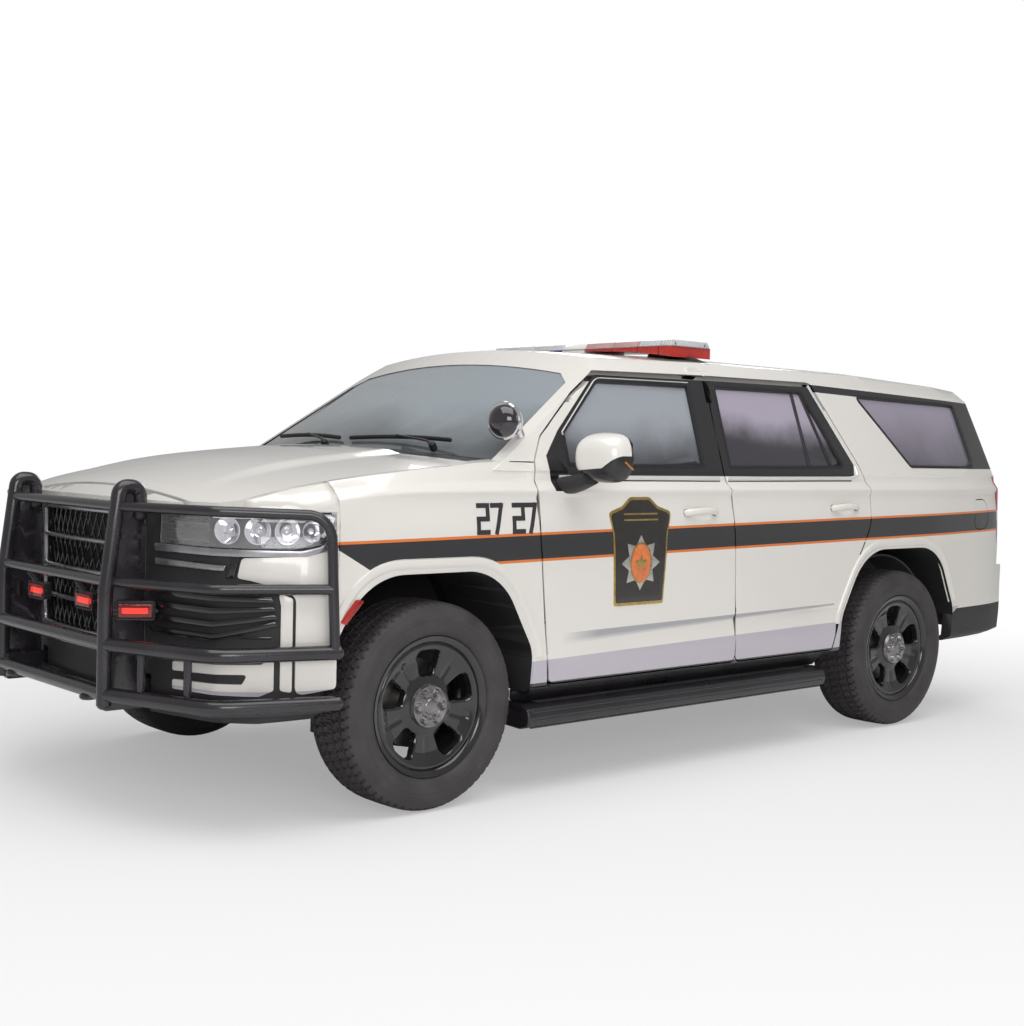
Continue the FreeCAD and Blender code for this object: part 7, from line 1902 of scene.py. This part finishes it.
def cushion(name, centre, lean, half, channels, crown, cells=22):
    """One padded piece with sewn channels over its face and a piped seam round its edge."""
    work = bmesh.new()
    grid = {}

    def corner(axis, sign, i, j):
        """The pad's point at step i, j of one face of the cube, made when it is first asked for."""
        p = [0, 0, 0]
        p[axis], p[(axis + 1) % 3], p[(axis + 2) % 3] = sign, 2 * i / cells - 1, 2 * j / cells - 1
        key = tuple(round(value * cells / 2, 2) for value in p)
        if key not in grid:
            u, v, w = p
            made = pad_point(u, v, w, half)
            if w > 0:
                rise = (1 - abs(u) ** 2.5) * (1 - abs(v) ** 2.5)
                groove = sum(math.exp(-((v - where) / 0.045) ** 2) for where in channels)
                edge = math.exp(-((max(abs(u), abs(v)) - 0.80) / 0.05) ** 2)
                made.z += w * (crown * rise - 0.009 * groove * (1 - abs(u) ** 6) - 0.004 * edge)
            grid[key] = work.verts.new(made)
        return grid[key]

    for axis in range(3):
        for sign in (-1, 1):
            for i in range(cells):
                for j in range(cells):
                    work.faces.new([corner(axis, sign, i + di, j + dj) for di, dj in ((0, 0), (1, 0), (1, 1),
                                                                                      (0, 1))])
    turn_pad = Matrix.Translation(centre) @ Matrix.Rotation(lean, 4, "Y")
    bmesh.ops.transform(work, matrix=turn_pad, verts=work.verts)
    pad = show(work, name, "seats", "seat_cloth", dark_cloth, crisp=180)
    soften = pad.modifiers.new("soften", "SUBSURF")
    soften.levels = soften.render_levels = 1
    piping = bmesh.new()
    line = []
    for k in range(73):
        c, d = math.cos(2 * math.pi * k / 72), math.sin(2 * math.pi * k / 72)
        u, v = math.copysign(abs(c) ** 0.28, c), math.copysign(abs(d) ** 0.28, d)
        line.append(turn_pad @ (pad_point(u, v, 0.80, half) * 1.004))
    flat_tube(piping, line, 0.0042, sides=8)
    show(piping, name + "_piping", "seats", "seat_cloth", piping_cloth)


bench_x, front_x, floor_top = -2.620, -1.700, 0.590
# name, rear x, middle y, half width, sewn channels, headrests
seat_places = [("driver", front_x, 0.410, 0.262, (-0.34, 0.34), {"": 0.410}),
               ("passenger", front_x, -0.410, 0.262, (-0.34, 0.34), {"": -0.410}),
               ("bench", bench_x, 0.0, 0.587, (-0.62, -0.33, 0.33, 0.62), {"_right": -0.410, "_left": 0.410})]
clad = bmesh.new()
for name, rear_x, middle_y, half_y, channels, headrests in seat_places:
    cushion(f"{name}_cushion", at(rear_x + 0.330, middle_y, floor_top + 0.222), math.radians(-2),
            (0.232, half_y, 0.062), channels, 0.016)
    cushion(f"{name}_back", at(rear_x + 0.052, middle_y, floor_top + 0.545), math.radians(90 - 14),
            (0.292, half_y, 0.054), channels, 0.014)
    for place, rest_y in headrests.items():
        cushion(f"{name}_headrest{place}", at(rear_x - 0.045, rest_y, floor_top + 0.922), math.radians(90 - 8),
                (0.072, 0.124, 0.044), (), 0.010, cells=14)
        for post in (-0.055, 0.055):
            sweep_tube(clad, [at(rear_x - 0.028, rest_y + post, floor_top + 0.780),
                              at(rear_x - 0.042, rest_y + post, floor_top + 0.880)], 0.006, sides=10)
    slab(clad, rounded([(rear_x + 0.120, floor_top + 0.001), (rear_x + 0.500, floor_top + 0.001),
                        (rear_x + 0.510, floor_top + 0.155), (rear_x + 0.100, floor_top + 0.150)],
                       (0, 0, 0.03, 0.03)), facing_y(middle_y - half_y + 0.060), 2 * half_y - 0.120, 0.010)
show(clad, "seat_bases", "seats", "dash_plastic", grained_black, stands_for="seats")


# ---------------------------------------------------------------- dashboard and steering wheel
# Soft-grained moulded dashboard and console with an instrument hood, a dark display, vents and a shifter;
# a leather-wrapped wheel with a padded hub.
dash_plastic = finish("dash_plastic", (0.034, 0.033, 0.036), 0.6, mottle=0.15, grain=0.5, grain_size=0.0018)
display_dark = finish("display_dark", (0.010, 0.011, 0.014), 0.08, coat=0.8, mottle=0.1)
wheel_leather = finish("wheel_leather", (0.026, 0.024, 0.025), 0.5, coat=0.15, mottle=0.2, grain=0.55,
                       grain_size=0.0012)
show(parted(frame["nodes"]["dashboard"].data, "dashboard", []), "dash_shell", "dashboard", "dash_plastic",
     dash_plastic, stands_for="dashboard")
hood_work, screens, trims = bmesh.new(), bmesh.new(), bmesh.new()
slab(hood_work, rounded([(-0.845, 1.262), (-0.690, 1.285), (-0.690, 1.296), (-0.855, 1.296)],
                        (0.01, 0.01, 0.004, 0.01)), facing_y(0.230), 0.360, 0.010)
slab(screens, oblong(0.255, 1.175, 0.565, 1.262, 0.02),
     lambda a, b, d: at(-0.846 - 0.10 * (1.262 - b) - d, a, b), 0.008, 0.002)
slab(screens, oblong(-0.150, 1.100, 0.150, 1.285, 0.012), lambda a, b, d: at(-0.868 - d, a, b), 0.012, 0.003)
for vent_y in (-0.760, -0.225, 0.205, 0.760):
    ring = [at(-0.858, a, b) for a, b in oblong(vent_y - 0.050, 1.175, vent_y + 0.050, 1.235, 0.008)]
    flat_tube(trims, ring + ring[:1], 0.004, sides=8)
    for k in range(4):
        slat_z = 1.187 + k * 0.012
        sweep_tube(hood_work, [at(-0.856, vent_y + end, slat_z) for end in (-0.046, 0.046)], 0.0032, sides=6)
sweep_tube(trims, [at(-0.862, -0.80, 1.150), at(-0.862, -0.20, 1.150)], 0.004, sides=8)
sweep_tube(hood_work, bent([at(-1.160, 0.0, 0.880), at(-1.165, 0.0, 0.960), at(-1.200, 0.0, 0.990)], (0.03,)),
           0.018, sides=16)
show(hood_work, "dash_hood", "dashboard", "dash_plastic", dash_plastic)
show(screens, "dash_screens", "dashboard", "dash_plastic", display_dark)
show(trims, "dash_trims", "dashboard", "bright_trim", bright_strip)
show(parted(frame["nodes"]["steering_wheel"].data, "steering_wheel", []), "steering_rim", "steering_wheel",
     "dash_plastic", wheel_leather, stands_for="steering_wheel")
tilt_way = Vector((-math.cos(math.radians(25)), 0, math.sin(math.radians(25))))
hub_work = bmesh.new()
hub_turn = tilt_way.to_track_quat("Y", "Z").to_matrix().to_4x4()
hub_turn = Matrix.Translation(at(-1.000, 0.410, 1.190) + tilt_way * 0.018) @ hub_turn
turned(hub_work, [(0.0001, 0.022), (0.030, 0.021), (0.056, 0.014), (0.066, 0.004), (0.067, 0.0)], 40)
bmesh.ops.transform(hub_work, matrix=hub_turn, verts=hub_work.verts)
show(hub_work, "steering_pad", "steering_wheel", "dash_plastic", dash_plastic)


# ---------------------------------------------------------------- engine and wheel housings
# A cast vee engine with slanted rocker covers, a ribbed moulded cover on top and a belt drive in front;
# felt-lined steel housings close the body off over each wheel.
block, covers, drive = bmesh.new(), bmesh.new(), bmesh.new()
slab(block, rounded([(-0.20, 0.521), (0.20, 0.521), (0.25, 0.60), (0.19, 0.80), (0.10, 0.94), (-0.10, 0.94),
                     (-0.19, 0.80), (-0.25, 0.60)], 0.02), facing_x(-0.430), 0.800, 0.012)
for s in (1, -1):
    slab(block, rounded([(0.10, 0.84), (0.23, 0.70), (0.315, 0.80), (0.19, 0.94)], 0.015),
         facing_x(-0.380, s), 0.700, 0.008)
    slab(covers, rounded([(0.185, 0.935), (0.305, 0.805), (0.329, 0.850), (0.225, 0.975)], 0.018),
         facing_x(-0.360, s), 0.660, 0.008)
    for k in range(9):
        slab(block, [(0.206, 0.952), (0.318, 0.822), (0.3285, 0.842), (0.222, 0.976)],
             facing_x(-0.330 + 0.075 * k, s), 0.012, 0.002)
slab(covers, rounded([(-0.150, 0.93), (0.150, 0.93), (0.190, 1.04), (0.160, 1.098), (-0.160, 1.098),
                      (-0.190, 1.04)], 0.03), facing_x(-0.380), 0.640, 0.018, 3)
for k in range(-3, 4):
    slab(covers, rounded([(-0.350, 1.094), (0.230, 1.094), (0.220, 1.110), (-0.330, 1.119)], (0, 0, 0.01, 0.01)),
         facing_y(k * 0.040 - 0.008), 0.016, 0.003)
pulleys = [(0.0, 0.640, 0.085), (0.155, 0.790, 0.060), (-0.155, 0.810, 0.055), (0.0, 0.930, 0.060)]
for y, z, radius in pulleys:
    wheel = bmesh.new()
    turned(wheel, [(0.012, 0.046), (0.016, 0.040), (radius * 0.4, 0.034), (radius * 0.8, 0.020), (radius, 0.044),
                   (radius, 0.022), (radius - 0.006, 0.018), (radius - 0.006, 0.0), (0.012, 0.0)], 40)
    bmesh.ops.transform(wheel, matrix=Matrix.Translation(at(0.372, y, z)) @ Matrix.Rotation(math.radians(-90), 4,
                                                                                            "Z"),
                        verts=wheel.verts)
    pour(wheel, drive)
belt_line = [(pulleys[k][0] + math.cos(a) * (pulleys[k][2] - 0.003), pulleys[k][1] + math.sin(a)
              * (pulleys[k][2] - 0.003)) for k, angles in ((0, (-2.6, -1.57, -0.5)), (1, (-0.5, 0.2, 0.9)),
                                                           (3, (0.9, 1.57, 2.2)), (2, (2.2, 2.9, 3.6)))
             for a in angles]
flat_tube(covers, [at(0.402, *spot) for spot in belt_line + belt_line[:1]], 0.007, sides=8)
show(block, "engine_block", "engine", "cast", bare_casting, stands_for="engine")
show(covers, "engine_cover", "engine", "black_plastic", grained_black)
show(drive, "belt_drive", "engine", "cast", iron_casting)
for end, axle_x, inner_y, foot_z in (("front", 0.0, 0.470, 0.600), ("rear", rear_axle_x, 0.610, 0.575)):
    for side, s in (("left", 1), ("right", -1)):
        housing = bmesh.new()
        arch = [[(x, z) for x, z in opening_line(axle_x, out) if z > foot_z] for out in (0.004, 0.010)]
        ring = [(line[0][0], foot_z) for line in arch], [(line[-1][0], foot_z) for line in arch]
        inner = [ring[0][0]] + arch[0] + [ring[1][0]]
        outer = [ring[0][1]] + arch[1] + [ring[1][1]]
        slab(housing, outer + inner[::-1], facing_y(inner_y, s), 0.915 - inner_y)
        slab(housing, outer, facing_y(inner_y, s), 0.006)
        show(housing, f"wheel_housing_{end}_{side}", "floor", "floor_pan", arch_liner, crisp=40)
